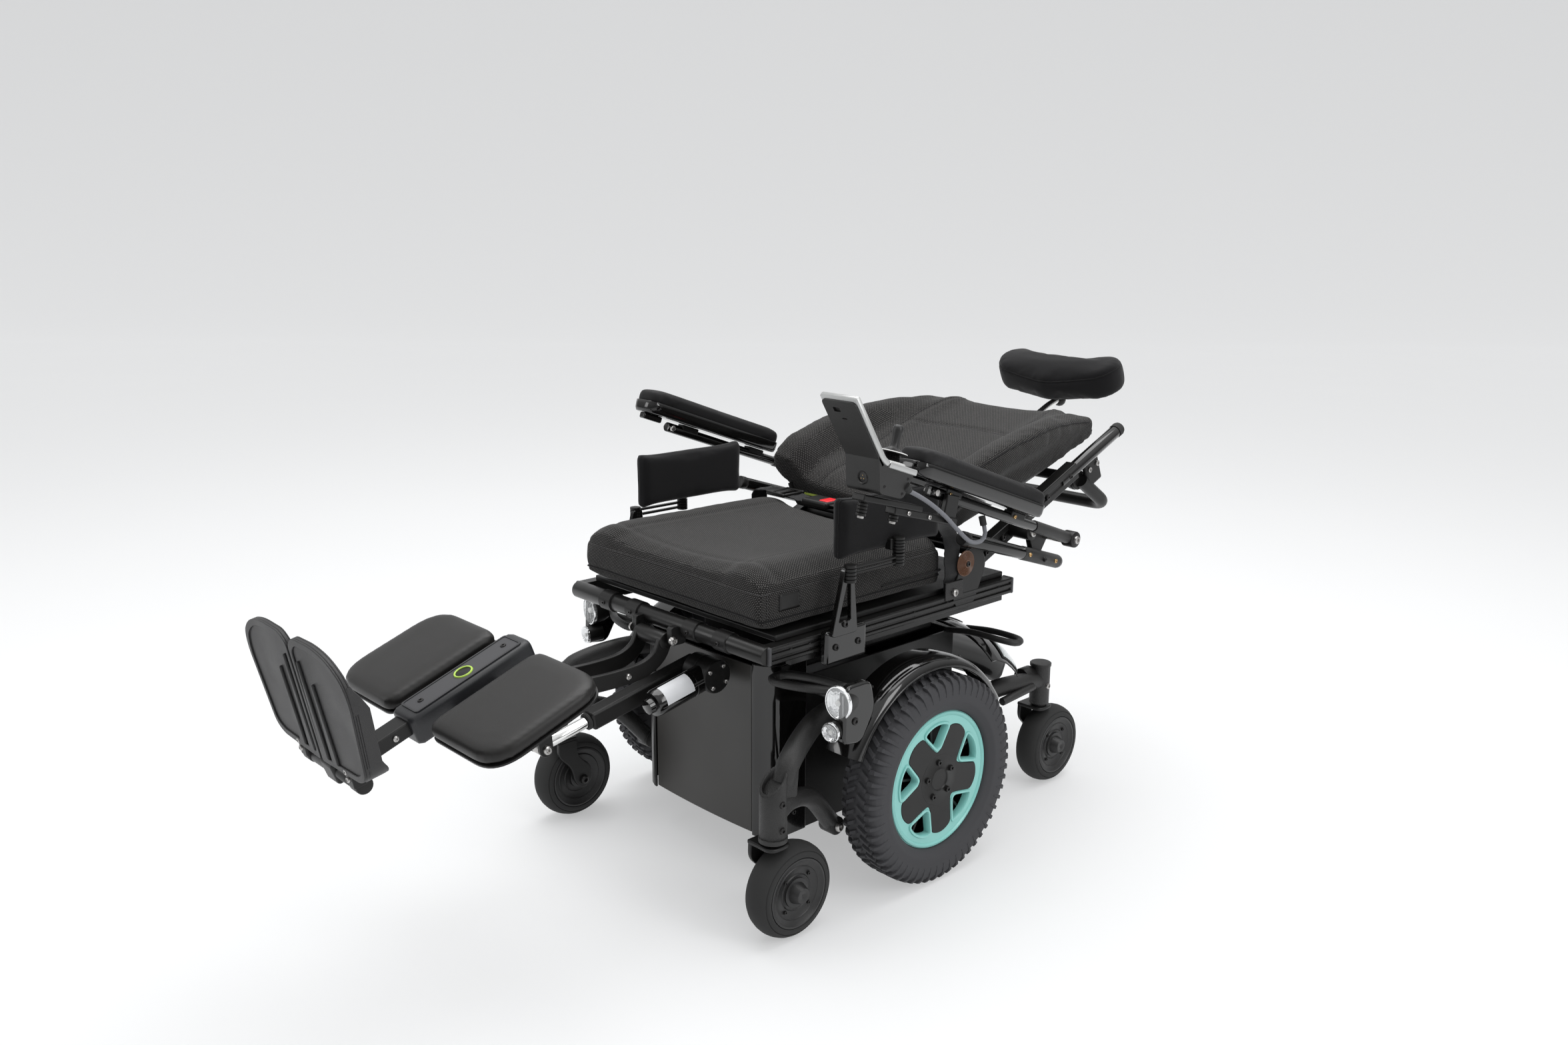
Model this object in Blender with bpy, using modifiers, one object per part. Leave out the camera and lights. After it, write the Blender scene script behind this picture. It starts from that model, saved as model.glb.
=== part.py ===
"""Power wheelchair: mid-wheel drive base with power tilt, recline and a centre-mount leg rest.

Metres, +Z up, the chair faces -Y and its left side is +X. The pieces are laid out from the drive
axle (y = 0) and the centre plane (x = 0), and hang on a tree of empties that sit on the joint axes.
The tree's root moves everything so that the world origin is the middle of the footprint.
"""
from math import atan2, cos, hypot, pi, radians, sin

import bmesh
import bpy
from mathutils import Matrix, Vector

# ---- driving dimensions -------------------------------------------------------------------------
ORIGIN_X, ORIGIN_Y = -0.0075, 0.0580    # puts the world origin under the middle of the bounding box
GAP = 0.0004                           # clearance between neighbouring solids

WHEEL_R, WHEEL_W, WHEEL_X = 0.178, 0.076, 0.309
RIM_R, RING_FACE_X = 0.118, 0.334
CASTER_R, CASTER_W = 0.0766, 0.050
CASTER_HUB = 0.035                     # hub cap's end, outboard of the wheel's middle
TRAIL = 0.032
FRONT_CASTER_X, FRONT_STEM_Y, FRONT_STEM_TOP = 0.2918, -0.3364, 0.276
REAR_CASTER_X, REAR_STEM_Y, REAR_STEM_TOP = 0.2127, 0.4376, 0.249
CROWN_Z = 0.157                        # underside of a caster fork's crown
STEM_Z = 0.1668                        # lower end of a stem tube

TRAY_X, TRAY_FRONT, TRAY_REAR = 0.155, -0.205, 0.240
TRAY_Z, TRAY_TOP, WALL = 0.075, 0.345, 0.004

RAIL_X, RAIL_W, RAIL_Z, RAIL_H = 0.253, 0.022, 0.441, 0.028
RAIL_FRONT, RAIL_REAR = -0.307, 0.283
CUSHION_X, CUSHION_FRONT, CUSHION_REAR = 0.233, -0.311, 0.115
CUSHION_Z, CUSHION_TOP = 0.4685, 0.560

TILT_Y, TILT_Z = 0.235, 0.408
HINGE_Y, HINGE_Z = 0.170, 0.485
CANE_TILT, CANE_X, CANE_LENGTH = radians(23.1), 0.225, 0.513
SHELL_TILT = radians(16.0)

KNEE_Y, KNEE_Z = -0.334, 0.420
LEG_SLOPE = radians(20.3)
LEG_TOP = (-0.7755, 0.4046)            # front end of the beam's top face
FOOT_Y, FOOT_Z, FOOT_LEAN = -0.876, 0.352, radians(11.6)
ACT_Y, ACT_Z, ACT_X = -0.275, 0.360, 0.020
ROD_Y, ROD_Z = -0.566, 0.300
ACT_SLOPE = atan2(ACT_Z - ROD_Z, ACT_Y - ROD_Y)

ARM_SLOPE = radians(20.0)
ARM_X, ARM_LINK_X = 0.328, 0.281
ARM_PIVOT_Y = 0.300
ARM_PIVOT_Z = HINGE_Z + (ARM_PIVOT_Y - HINGE_Y) * sin(CANE_TILT) / cos(CANE_TILT)
FLIP_Y, FLIP_Z = 0.345, 0.5305
ARM_LIFT = {"left": 0.0, "right": 0.022}

REMOTE_X, REMOTE_SLOPE, PANEL_SLOPE = 0.341, radians(15.5), radians(19.1)
SWING_X, SWING_Y, SWING_Z = 0.372, -0.147, 0.677
STICK_Y, STICK_Z = -0.148, 0.7305

# ---- materials: colour, roughness, metallic ------------------------------------------------------
MATERIALS = {
    "tyre_rubber": ((0.045, 0.045, 0.048), 0.85, 0.0),
    "caster_rubber": ((0.020, 0.020, 0.021), 0.55, 0.0),
    "teal_plastic": ((0.240, 0.560, 0.520), 0.30, 0.0),
    "satin_black_plastic": ((0.020, 0.020, 0.021), 0.45, 0.0),
    "gloss_black_plastic": ((0.010, 0.010, 0.011), 0.12, 0.0),
    "powder_coat": ((0.018, 0.018, 0.019), 0.42, 0.3),
    "grey_plastic": ((0.050, 0.050, 0.054), 0.50, 0.0),
    "dark_casing": ((0.060, 0.060, 0.062), 0.60, 0.0),
    "mesh_fabric": ((0.055, 0.055, 0.057), 0.90, 0.0),
    "knit_fabric": ((0.018, 0.018, 0.020), 0.95, 0.0),
    "vinyl": ((0.060, 0.055, 0.052), 0.48, 0.0),
    "webbing": ((0.025, 0.025, 0.026), 0.80, 0.0),
    "chrome_steel": ((0.800, 0.800, 0.800), 0.12, 1.0),
    "silver_paint": ((0.620, 0.620, 0.610), 0.32, 0.7),
    "cable_jacket": ((0.160, 0.165, 0.180), 0.50, 0.0),
}

SIDES = (("left", 1), ("right", -1))


# ---- scene bookkeeping ---------------------------------------------------------------------------
def clear_scene():
    for old in list(bpy.data.objects):
        bpy.data.objects.remove(old, do_unlink=True)


def make_collection(name):
    collection = bpy.data.collections.new(name)
    bpy.context.scene.collection.children.link(collection)
    return collection


clear_scene()
PARTS = make_collection("power_wheelchair")
CUTTERS = make_collection("cutters")
PIVOTS = {}


def material(name):
    found = bpy.data.materials.get(name)
    if found:
        return found
    colour, roughness, metallic = MATERIALS[name]
    made = bpy.data.materials.new(name)
    made.use_nodes = True
    shader = made.node_tree.nodes["Principled BSDF"]
    shader.inputs["Base Color"].default_value = (*colour, 1.0)
    shader.inputs["Roughness"].default_value = roughness
    shader.inputs["Metallic"].default_value = metallic
    return made


def pivot(name, parent, place):
    """An empty on a joint's axis; place is measured from the axle and the centre plane."""
    empty = bpy.data.objects.new(f"pivot_{name}", None)
    empty.empty_display_size = 0.02
    PARTS.objects.link(empty)
    base = Vector((0, 0, 0))
    if parent:
        empty.parent, base = PIVOTS[parent]
    empty.location = Vector(place) - base
    PIVOTS[name] = (empty, Vector(place))


def hang(piece, name):
    """Parent a finished piece to a pivot without moving it."""
    empty, place = PIVOTS[name]
    piece.parent = empty
    piece.location -= place
    return piece


def shade(piece, angle=35):
    piece.data.shade_smooth()
    piece.data.set_sharp_from_angle(angle=radians(angle))


def add_mesh(name, bm, finish):
    mesh = bpy.data.meshes.new(name)
    bm.to_mesh(mesh)
    bm.free()
    piece = bpy.data.objects.new(name, mesh)
    PARTS.objects.link(piece)
    mesh.materials.append(material(finish))
    return piece


# ---- shapes --------------------------------------------------------------------------------------
def box(name, size, centre, finish="powder_coat", tilt=0.0, bevel=0.0, segments=1):
    """A block turned by tilt about X, with optionally rounded edges."""
    bm = bmesh.new()
    bmesh.ops.create_cube(bm, size=1.0, matrix=Matrix.Diagonal((*size, 1.0)))
    piece = add_mesh(name, bm, finish)
    piece.location = centre
    piece.rotation_euler.x = tilt
    if bevel:
        edge = piece.modifiers.new("rounded", "BEVEL")
        edge.width, edge.segments = bevel, segments
        shade(piece)
    return piece


def cylinder(name, radius, ends, finish="powder_coat", sides=12, end_radius=None):
    """A round bar from one end point to the other, tapered when end_radius is given."""
    start, end = Vector(ends[0]), Vector(ends[1])
    along = end - start
    bm = bmesh.new()
    bmesh.ops.create_cone(bm, cap_ends=True, segments=sides, radius1=radius, depth=along.length,
                          radius2=radius if end_radius is None else end_radius)
    piece = add_mesh(name, bm, finish)
    piece.location = (start + end) / 2
    piece.rotation_euler = Vector((0, 0, 1)).rotation_difference(along).to_euler()
    shade(piece)
    return piece


def turned(name, profile, centre, finish, side=1, steps=32, ring=False):
    """Turn a (radius, height) profile about X; height runs outboard on either side of the chair.

    A ring's profile is a closed loop clear of the axis, any other starts and ends on the axis.
    """
    loop = profile + profile[:1]
    area = sum(a[0] * b[1] - b[0] * a[1] for a, b in zip(loop, loop[1:]))
    points = profile if area < 0 else profile[::-1]
    bm = bmesh.new()
    verts = [bm.verts.new((radius, 0, height)) for radius, height in points]
    pairs = list(zip(verts, verts[1:])) + ([(verts[-1], verts[0])] if ring else [])
    for pair in pairs:
        bm.edges.new(pair)
    piece = add_mesh(name, bm, finish)
    screw = piece.modifiers.new("turned", "SCREW")
    screw.steps = screw.render_steps = steps
    screw.use_merge_vertices = True
    screw.merge_threshold = 0.00002
    screw.use_smooth_shade = True
    piece.location = centre
    piece.rotation_euler.y = side * pi / 2
    return piece


def frame(tilt):
    """Local X, Y and Z of an outline in the side plane: +Y turned by tilt, its normal, and +X."""
    along = Vector((0, cos(tilt), sin(tilt)))
    normal = Vector((0, -sin(tilt), cos(tilt)))
    return Matrix((along, normal, Vector((1, 0, 0)))).transposed()


def as_mesh(curve):
    """Swap a curve object for its evaluated mesh, with the loose caps welded."""
    bpy.context.view_layer.update()
    solid = bpy.data.meshes.new_from_object(curve.evaluated_get(bpy.context.evaluated_depsgraph_get()))
    bm = bmesh.new()
    bm.from_mesh(solid)
    bmesh.ops.remove_doubles(bm, verts=bm.verts, dist=0.00001)
    bmesh.ops.recalc_face_normals(bm, faces=bm.faces)
    bm.to_mesh(solid)
    bm.free()
    piece = bpy.data.objects.new("solid", solid)
    PARTS.objects.link(piece)
    piece.matrix_world = curve.matrix_world
    name = curve.name
    bpy.data.objects.remove(curve, do_unlink=True)
    piece.name = name
    return piece


def outline_plate(name, loops, thickness, origin, finish="powder_coat", tilt=0.0, across=None,
                  edge=0.0):
    """Extrude closed outlines, the later ones being holes, symmetrically about their plane.

    The plane is the side plane turned by tilt, or the one whose axes are the columns of across.
    """
    curve = bpy.data.curves.new(name, "CURVE")
    curve.dimensions = "2D"
    curve.fill_mode = "BOTH"
    curve.extrude = thickness / 2 - edge
    curve.bevel_depth = edge
    curve.bevel_resolution = 0
    curve.offset = -edge
    curve.materials.append(material(finish))
    for loop in loops:
        spline = curve.splines.new("POLY")
        spline.points.add(len(loop) - 1)
        for point, (u, v) in zip(spline.points, loop):
            point.co = (u, v, 0, 1)
        spline.use_cyclic_u = True
    piece = bpy.data.objects.new(name, curve)
    PARTS.objects.link(piece)
    turn = across if across is not None else frame(tilt)
    piece.rotation_euler = turn.to_euler()
    piece.location = origin
    return as_mesh(piece)


def arc(centre, radius, start, end, count):
    """Points on an arc, angles in degrees."""
    angles = [radians(start + (end - start) * i / (count - 1)) for i in range(count)]
    return [(centre[0] + radius * cos(a), centre[1] + radius * sin(a)) for a in angles]


def rounded_rectangle(low, high, radius, count=4):
    (x0, y0), (x1, y1) = low, high
    return (arc((x1 - radius, y0 + radius), radius, -90, 0, count)
            + arc((x1 - radius, y1 - radius), radius, 0, 90, count)
            + arc((x0 + radius, y1 - radius), radius, 90, 180, count)
            + arc((x0 + radius, y0 + radius), radius, 180, 270, count))


def band(path, half_width, count=5):
    """The outline of a flat bar of constant width that follows a path, with round ends."""
    points = [Vector(p) for p in path]
    left, right = [], []
    for i, point in enumerate(points):
        ahead = points[min(i + 1, len(points) - 1)] - points[max(i - 1, 0)]
        side = Vector((-ahead.y, ahead.x)).normalized() * half_width
        left.append(tuple(point + side))
        right.append(tuple(point - side))
    first = (points[0] - points[1]).normalized()
    last = (points[-1] - points[-2]).normalized()
    ends = []
    for point, way in ((points[-1], last), (points[0], first)):
        facing = atan2(way.y, way.x) * 180 / pi
        ends.append(arc(tuple(point), half_width, facing + 90, facing - 90, count)[1:-1])
    return left + ends[0] + right[::-1] + ends[1]


def smooth_path(points, step):
    """A Catmull-Rom curve through the points, sampled about every step."""
    knots = [Vector(p) for p in points]
    knots = [2 * knots[0] - knots[1]] + knots + [2 * knots[-1] - knots[-2]]
    path = [knots[1]]
    for a, b, c, d in zip(knots, knots[1:], knots[2:], knots[3:]):
        count = max(1, round((c - b).length / step))
        for i in range(1, count + 1):
            t = i / count
            path.append(0.5 * (2 * b + (c - a) * t + (2 * a - 5 * b + 4 * c - d) * t ** 2
                               + (3 * b - a - 3 * c + d) * t ** 3))
    return path


def rounded_path(points, radius, count=4):
    """Straight runs joined by round corners."""
    knots = [Vector(p) for p in points]
    path = [knots[0]]
    for before, corner, after in zip(knots, knots[1:], knots[2:]):
        come, leave = (before - corner).normalized(), (after - corner).normalized()
        start, end = corner + come * radius, corner + leave * radius
        for i in range(count + 1):
            t = i / count
            path.append((1 - t) ** 2 * start + 2 * t * (1 - t) * corner + t ** 2 * end)
    return path + [knots[-1]]


def tube(name, path, radius, finish="powder_coat", fineness=2):
    curve = bpy.data.curves.new(name, "CURVE")
    curve.dimensions = "3D"
    curve.bevel_depth = radius
    curve.bevel_resolution = fineness
    curve.use_fill_caps = True
    curve.materials.append(material(finish))
    spline = curve.splines.new("POLY")
    spline.points.add(len(path) - 1)
    for point, place in zip(spline.points, path):
        point.co = (*place, 1)
    piece = bpy.data.objects.new(name, curve)
    PARTS.objects.link(piece)
    return as_mesh(piece)


def loft(name, rings, finish):
    """Skin a run of equal-length closed rings and cap both ends."""
    bm = bmesh.new()
    rows = [[bm.verts.new(point) for point in ring] for ring in rings]
    for row, following in zip(rows, rows[1:]):
        for i in range(len(row)):
            j = (i + 1) % len(row)
            bm.faces.new((row[i], row[j], following[j], following[i]))
    bm.faces.new(rows[0][::-1])
    bm.faces.new(rows[-1])
    bmesh.ops.recalc_face_normals(bm, faces=bm.faces)
    piece = add_mesh(name, bm, finish)
    shade(piece)
    return piece


def combine(target, others, operation="UNION"):
    for other in others:
        for collection in list(other.users_collection):
            collection.objects.unlink(other)
        CUTTERS.objects.link(other)
        other.name = f"{target.name}_tool"
        other.hide_render = True
        other.display_type = "WIRE"
        step = target.modifiers.new("combine", "BOOLEAN")
        step.operation = operation
        step.solver = "EXACT"
        step.object = other
    return target


def cut(target, *cutters):
    return combine(target, cutters, "DIFFERENCE")


def assembly(on, target, *others):
    """Join others into target, and hang the result and its tools on a pivot."""
    combine(target, others)
    tools = {step.object for step in target.modifiers if step.type == "BOOLEAN"}
    for piece in [target, *tools]:
        hang(piece, on)
    return target


def slide_along(origin, tilt, along, normal=0.0, x=0.0):
    """A point given along a tilted line in the side plane, and off it along its normal."""
    return Vector((x, origin[0] + along * cos(tilt) - normal * sin(tilt),
                   origin[1] + along * sin(tilt) + normal * cos(tilt)))


# ---- joint tree ----------------------------------------------------------------------------------
def make_pivots():
    pivot("chair", None, (0, 0, 0))
    pivot("seat", "chair", (0, TILT_Y, TILT_Z))
    pivot("back", "seat", (0, HINGE_Y, HINGE_Z))
    pivot("headrest", "back", slide_along((HINGE_Y, HINGE_Z), CANE_TILT, 0.585))
    pivot("headrest_pad", "headrest", (0, 0.757, 0.706))
    pivot("leg", "seat", (0, KNEE_Y, KNEE_Z))
    pivot("actuator", "seat", (ACT_X, ACT_Y, ACT_Z))
    for side, sign in SIDES:
        lift = ARM_LIFT[side]
        pivot(f"front_arm_{side}", "chair", (sign * 0.2, -0.070, 0.290))
        pivot(f"rear_arm_{side}", "chair", (sign * 0.2, 0.200, 0.200))
        pivot(f"wheel_{side}", "chair", (sign * WHEEL_X, 0, WHEEL_R))
        for end, x, y in (("front", FRONT_CASTER_X, FRONT_STEM_Y), ("rear", REAR_CASTER_X, REAR_STEM_Y)):
            pivot(f"fork_{end}_{side}", f"{end}_arm_{side}", (sign * x, y, CROWN_Z))
            pivot(f"caster_{end}_{side}", f"fork_{end}_{side}", (sign * x, y + TRAIL, CASTER_R))
        pivot(f"arm_link_{side}", "back", (sign * CANE_X, ARM_PIVOT_Y, ARM_PIVOT_Z))
        pivot(f"arm_{side}", f"arm_link_{side}", (sign * ARM_X, FLIP_Y, FLIP_Z + lift))
        pivot(f"side_pad_{side}", "seat", (sign * 0.2725, -0.050, 0.560))
        pivot(f"calf_{side}", "leg", slide_along(LEG_TOP, LEG_SLOPE, 0.1, -0.030, sign * 0.043))
        pivot(f"foot_{side}", "leg", (0, FOOT_Y, FOOT_Z))
    pivot("remote", "arm_left", (SWING_X, SWING_Y, SWING_Z))
    pivot("joystick", "remote", (REMOTE_X, STICK_Y, STICK_Z))


# ---- base ----------------------------------------------------------------------------------------
def make_base():
    depth, middle = TRAY_REAR - TRAY_FRONT, (TRAY_REAR + TRAY_FRONT) / 2
    height = TRAY_TOP - TRAY_Z
    tray = box("chassis_tray", (2 * TRAY_X, depth, height), (0, middle, TRAY_Z + height / 2))
    inside = box("inside", (2 * TRAY_X - 2 * WALL, depth - 2 * WALL, height),
                 (0, middle, TRAY_Z + height / 2 + WALL))
    bosses = []
    for _, sign in SIDES:
        for y, z in ((-0.070, 0.290), (0.200, 0.200)):
            bosses.append(cylinder("boss", 0.020, ((sign * (TRAY_X - WALL / 2), y, z),
                                                   (sign * 0.178, y, z))))
    combine(tray, [inside], "DIFFERENCE")
    assembly("chair", tray, *bosses)

    pack = box("battery_pack", (0.262, 0.364, 0.195), (0, -0.010, TRAY_Z + WALL + GAP + 0.0975),
               "dark_casing", bevel=0.004)
    parting = box("parting", (0.300, 0.012, 0.190), (0, -0.012, TRAY_Z + WALL + GAP + 0.1250))
    cut(pack, parting)
    assembly("chair", pack)

    shape = [(-0.170, -0.150), (-0.170, -0.212), (-0.128, -0.236), (0.128, -0.236),
             (0.170, -0.212), (0.170, -0.150), (0.166, -0.150), (0.166, -0.2095),
             (0.127, -0.232), (-0.127, -0.232), (-0.166, -0.2095), (-0.166, -0.150)]
    flat = Matrix.Identity(3)
    hang(outline_plate("front_cover", [shape], 0.300, (0, 0, 0.232), "satin_black_plastic",
                       across=flat), "chair")

    path = [(0.2540, 0.353), (0.290, 0.342), (0.345, 0.308), (0.385, 0.262), (0.398, 0.200)]
    hang(outline_plate("rear_cover", [band(path, 0.0022, 3)], 0.360, (0, 0, 0),
                       "gloss_black_plastic"), "chair")

    column = box("tilt_base", (0.260, 0.330, 0.050), (0, 0.045, 0.3705), bevel=0.004)
    lugs = [box("lug", (0.030, 0.040, 0.072), (sign * 0.095, 0.222, 0.3840), bevel=0.004)
            for _, sign in SIDES]
    pins = [cylinder("pin", 0.009, ((sign * 0.080, TILT_Y, TILT_Z), (sign * 0.1305, TILT_Y, TILT_Z)))
            for _, sign in SIDES]
    assembly("chair", column, *lugs, *pins)

    for side, sign in SIDES:
        make_fender(side, sign)
        make_headlight(side, sign)
        make_motor(side, sign)
        make_front_arm(side, sign)
        make_rear_arm(side, sign)
        make_drive_wheel(side, sign)
        make_caster("front", side, sign, FRONT_CASTER_X, FRONT_STEM_Y)
        make_caster("rear", side, sign, REAR_CASTER_X, REAR_STEM_Y)


def make_fender(side, sign):
    """A rolled arch over the inner half of the tyre, with a flat shoulder towards the seat."""
    rings = []
    for i in range(15):
        angle = radians(150 - 125 * i / 14)
        section = []
        for radius, x in ((0.204, 0.262), (0.204, 0.300), (0.199, 0.312), (0.188, 0.316),
                          (0.188, 0.313), (0.197, 0.309), (0.201, 0.298), (0.201, 0.262)):
            section.append((sign * x, -radius * cos(angle), WHEEL_R + radius * sin(angle)))
        rings.append(section)
    hang(loft(f"fender_{side}", rings, "gloss_black_plastic"), "chair")


def make_headlight(side, sign):
    """Two lamp barrels on one bracket, with the tie-down eye bent from round bar beside them."""
    high, low = (sign * 0.3205, -0.231, 0.369), (sign * 0.3205, -0.246, 0.3275)
    body = cylinder(f"headlight_{side}", 0.0265, (high, (high[0], -0.172, 0.372)),
                    "satin_black_plastic", 20, 0.018)
    small = cylinder("small_lamp", 0.0160, (low, (low[0], -0.190, 0.336)), "satin_black_plastic",
                     12, 0.012)
    plate = box("plate", (0.012, 0.046, 0.070), (sign * 0.3045, -0.196, 0.350), bevel=0.003)
    stay = cylinder("stay", 0.008, ((sign * 0.305, -0.190, 0.352), (sign * 0.172, -0.175, 0.352)))
    eye = [(sign * 0.290, -0.180, 0.372), (sign * 0.235, -0.190, 0.374), (sign * 0.185, -0.206, 0.372),
           (sign * 0.176, -0.225, 0.371), (sign * 0.190, -0.243, 0.371), (sign * 0.240, -0.235, 0.373),
           (sign * 0.300, -0.200, 0.372)]
    loop = tube("eye", smooth_path(eye, 0.018), 0.006, fineness=2)
    assembly("chair", body, small, plate, stay, loop)


def make_motor(side, sign):
    """Right-angle gearbox on the axle with the motor lying along the chassis, and the axle end."""
    gearbox = box(f"motor_{side}", (0.072, 0.120, 0.110), (sign * 0.2195, 0.010, WHEEL_R),
                  "dark_casing", bevel=0.012, segments=2)
    motor = cylinder("can", 0.040, ((sign * 0.2185, 0.060, WHEEL_R), (sign * 0.2185, 0.158, WHEEL_R)),
                     "dark_casing", 20)
    shaft = cylinder("shaft", 0.011, ((sign * 0.240, 0, WHEEL_R), (sign * 0.2845, 0, WHEEL_R)))
    assembly("chair", gearbox, motor, shaft)


def make_front_arm(side, sign):
    stem = cylinder(f"front_arm_{side}", 0.0210,
                    ((sign * FRONT_CASTER_X, FRONT_STEM_Y, STEM_Z),
                     (sign * FRONT_CASTER_X, FRONT_STEM_Y, FRONT_STEM_TOP)), sides=20)
    upper = tube("upper", smooth_path([(sign * 0.2918, -0.338, 0.246), (sign * 0.287, -0.300, 0.287),
                                       (sign * 0.262, -0.215, 0.314), (sign * 0.228, -0.130, 0.312),
                                       (sign * 0.206, -0.070, 0.290)], 0.028), 0.0175)
    lower = tube("lower", smooth_path([(sign * 0.2918, -0.336, 0.205), (sign * 0.279, -0.290, 0.214),
                                       (sign * 0.258, -0.225, 0.190), (sign * 0.246, -0.168, 0.128)],
                                      0.028), 0.0150)
    boss = cylinder("boss", 0.022, ((sign * 0.1785, -0.070, 0.290), (sign * 0.222, -0.070, 0.290)))
    bolt = cylinder("bolt", 0.011, ((sign * 0.228, -0.164, 0.122), (sign * 0.262, -0.164, 0.122)),
                    sides=12)
    assembly(f"front_arm_{side}", stem, upper, lower, boss, bolt)


def make_rear_arm(side, sign):
    stem = cylinder(f"rear_arm_{side}", 0.0190,
                    ((sign * REAR_CASTER_X, REAR_STEM_Y, STEM_Z),
                     (sign * REAR_CASTER_X, REAR_STEM_Y, REAR_STEM_TOP)), sides=20)
    beam = tube("beam", smooth_path([(sign * REAR_CASTER_X, REAR_STEM_Y, 0.212),
                                     (sign * 0.210, 0.370, 0.222), (sign * 0.203, 0.290, 0.222),
                                     (sign * 0.200, 0.200, 0.200)], 0.032), 0.0165)
    boss = cylinder("boss", 0.020, ((sign * 0.1785, 0.200, 0.200), (sign * 0.220, 0.200, 0.200)))
    eye = tube("eye", smooth_path([(sign * 0.205, 0.395, 0.228), (sign * 0.205, 0.385, 0.262),
                                   (sign * 0.205, 0.360, 0.288), (sign * 0.205, 0.330, 0.270),
                                   (sign * 0.203, 0.325, 0.228)], 0.016), 0.005, fineness=1)
    assembly(f"rear_arm_{side}", stem, beam, boss, eye)


def make_drive_wheel(side, sign):
    place = (sign * WHEEL_X, 0, WHEEL_R)
    half = WHEEL_W / 2
    tyre = [(RIM_R + 2 * GAP, -0.026), (0.140, -half), (0.164, -half), (WHEEL_R, -0.020),
            (WHEEL_R, 0.020), (0.164, half), (0.140, half), (RIM_R + 2 * GAP, 0.026)]
    hang(turned(f"drive_tyre_{side}", tyre, place, "tyre_rubber", sign, 36, ring=True), f"wheel_{side}")

    face = RING_FACE_X - WHEEL_X
    across = Matrix(((0, 1, 0), (0, 0, 1), (1, 0, 0))).transposed()
    windows = [[(radius * cos(turn + angle), radius * sin(turn + angle))
                for radius, angle in ((0.101, -0.25), (0.101, 0), (0.101, 0.25), (0.088, 0.26),
                                      (0.068, 0.10), (0.068, -0.10), (0.088, -0.26))]
               for turn in (radians(96 + 72 * i) for i in range(5))]
    star = []
    for i in range(5):
        turn = radians(60 + 72 * i)
        for radius, angle in ((0.096, -0.24), (0.098, 0), (0.096, 0.24), (0.055, 0.60)):
            star.append((radius * cos(turn + angle), radius * sin(turn + angle)))
    centre = Vector((0, 0))
    star_hole = [tuple(Vector(p) + (Vector(p) - centre).normalized() * GAP) for p in star]
    ring_loops = [arc((0, 0), RIM_R, 0, 360 - 10, 36), star_hole, *windows]
    ring = outline_plate(f"rim_ring_{side}", ring_loops, 0.008,
                         (sign * (RING_FACE_X - 0.004), 0, WHEEL_R), "teal_plastic", across=across)
    hang(ring, f"wheel_{side}")

    back = -0.024
    barrel = [(0, back), (RIM_R, back), (RIM_R, face - 0.0085), (0.112, face - 0.0085), (0.108, back + 0.010),
              (0.034, back + 0.010), (0.030, face - 0.006), (0, face - 0.006)]
    hub = turned(f"drive_rim_{side}", barrel, place, "satin_black_plastic", sign, 36)
    plate = outline_plate("star", [star], 0.0085, (sign * (RING_FACE_X - 0.00425), 0, WHEEL_R),
                          "satin_black_plastic", across=across)
    assembly(f"wheel_{side}", hub, plate)


def make_caster(end, side, sign, x, stem_y):
    """A single-sided fork inboard of the wheel, and the wheel with its moulded rim and hub cap."""
    axle_y = stem_y + TRAIL
    blade_x = x - CASTER_W / 2 - 0.0075
    crown = cylinder(f"caster_fork_{end}_{side}", 0.0195,
                     ((sign * x, stem_y, CROWN_Z), (sign * x, stem_y, STEM_Z - GAP)), sides=20)
    bridge = box("bridge", (x - blade_x + 0.004, 0.036, STEM_Z - GAP - CROWN_Z),
                 (sign * (x + blade_x - 0.004) / 2, stem_y, (STEM_Z - GAP + CROWN_Z) / 2), bevel=0.002)
    path = [(stem_y, 0.152), (stem_y - 0.004, 0.128), (axle_y - 0.014, 0.100), (axle_y, CASTER_R)]
    blade = outline_plate("blade", [band(path, 0.016)], 0.009, (sign * blade_x, 0, 0))
    axle = cylinder("axle", 0.009, ((sign * (blade_x - 0.008), axle_y, CASTER_R),
                                    (sign * (x - CASTER_W / 2 - 0.0015), axle_y, CASTER_R)))
    assembly(f"fork_{end}_{side}", crown, bridge, blade, axle)

    edge = CASTER_W / 2
    wheel = [(0, CASTER_HUB), (0.011, CASTER_HUB), (0.014, 0.016), (0.047, 0.019), (0.058, edge),
             (0.070, 0.021), (CASTER_R, 0.009), (CASTER_R, -0.009), (0.070, -0.021), (0.058, -edge),
             (0, -0.0240)]
    hang(turned(f"caster_wheel_{end}_{side}", wheel, (sign * x, axle_y, CASTER_R), "caster_rubber",
                sign, 24), f"caster_{end}_{side}")


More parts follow.
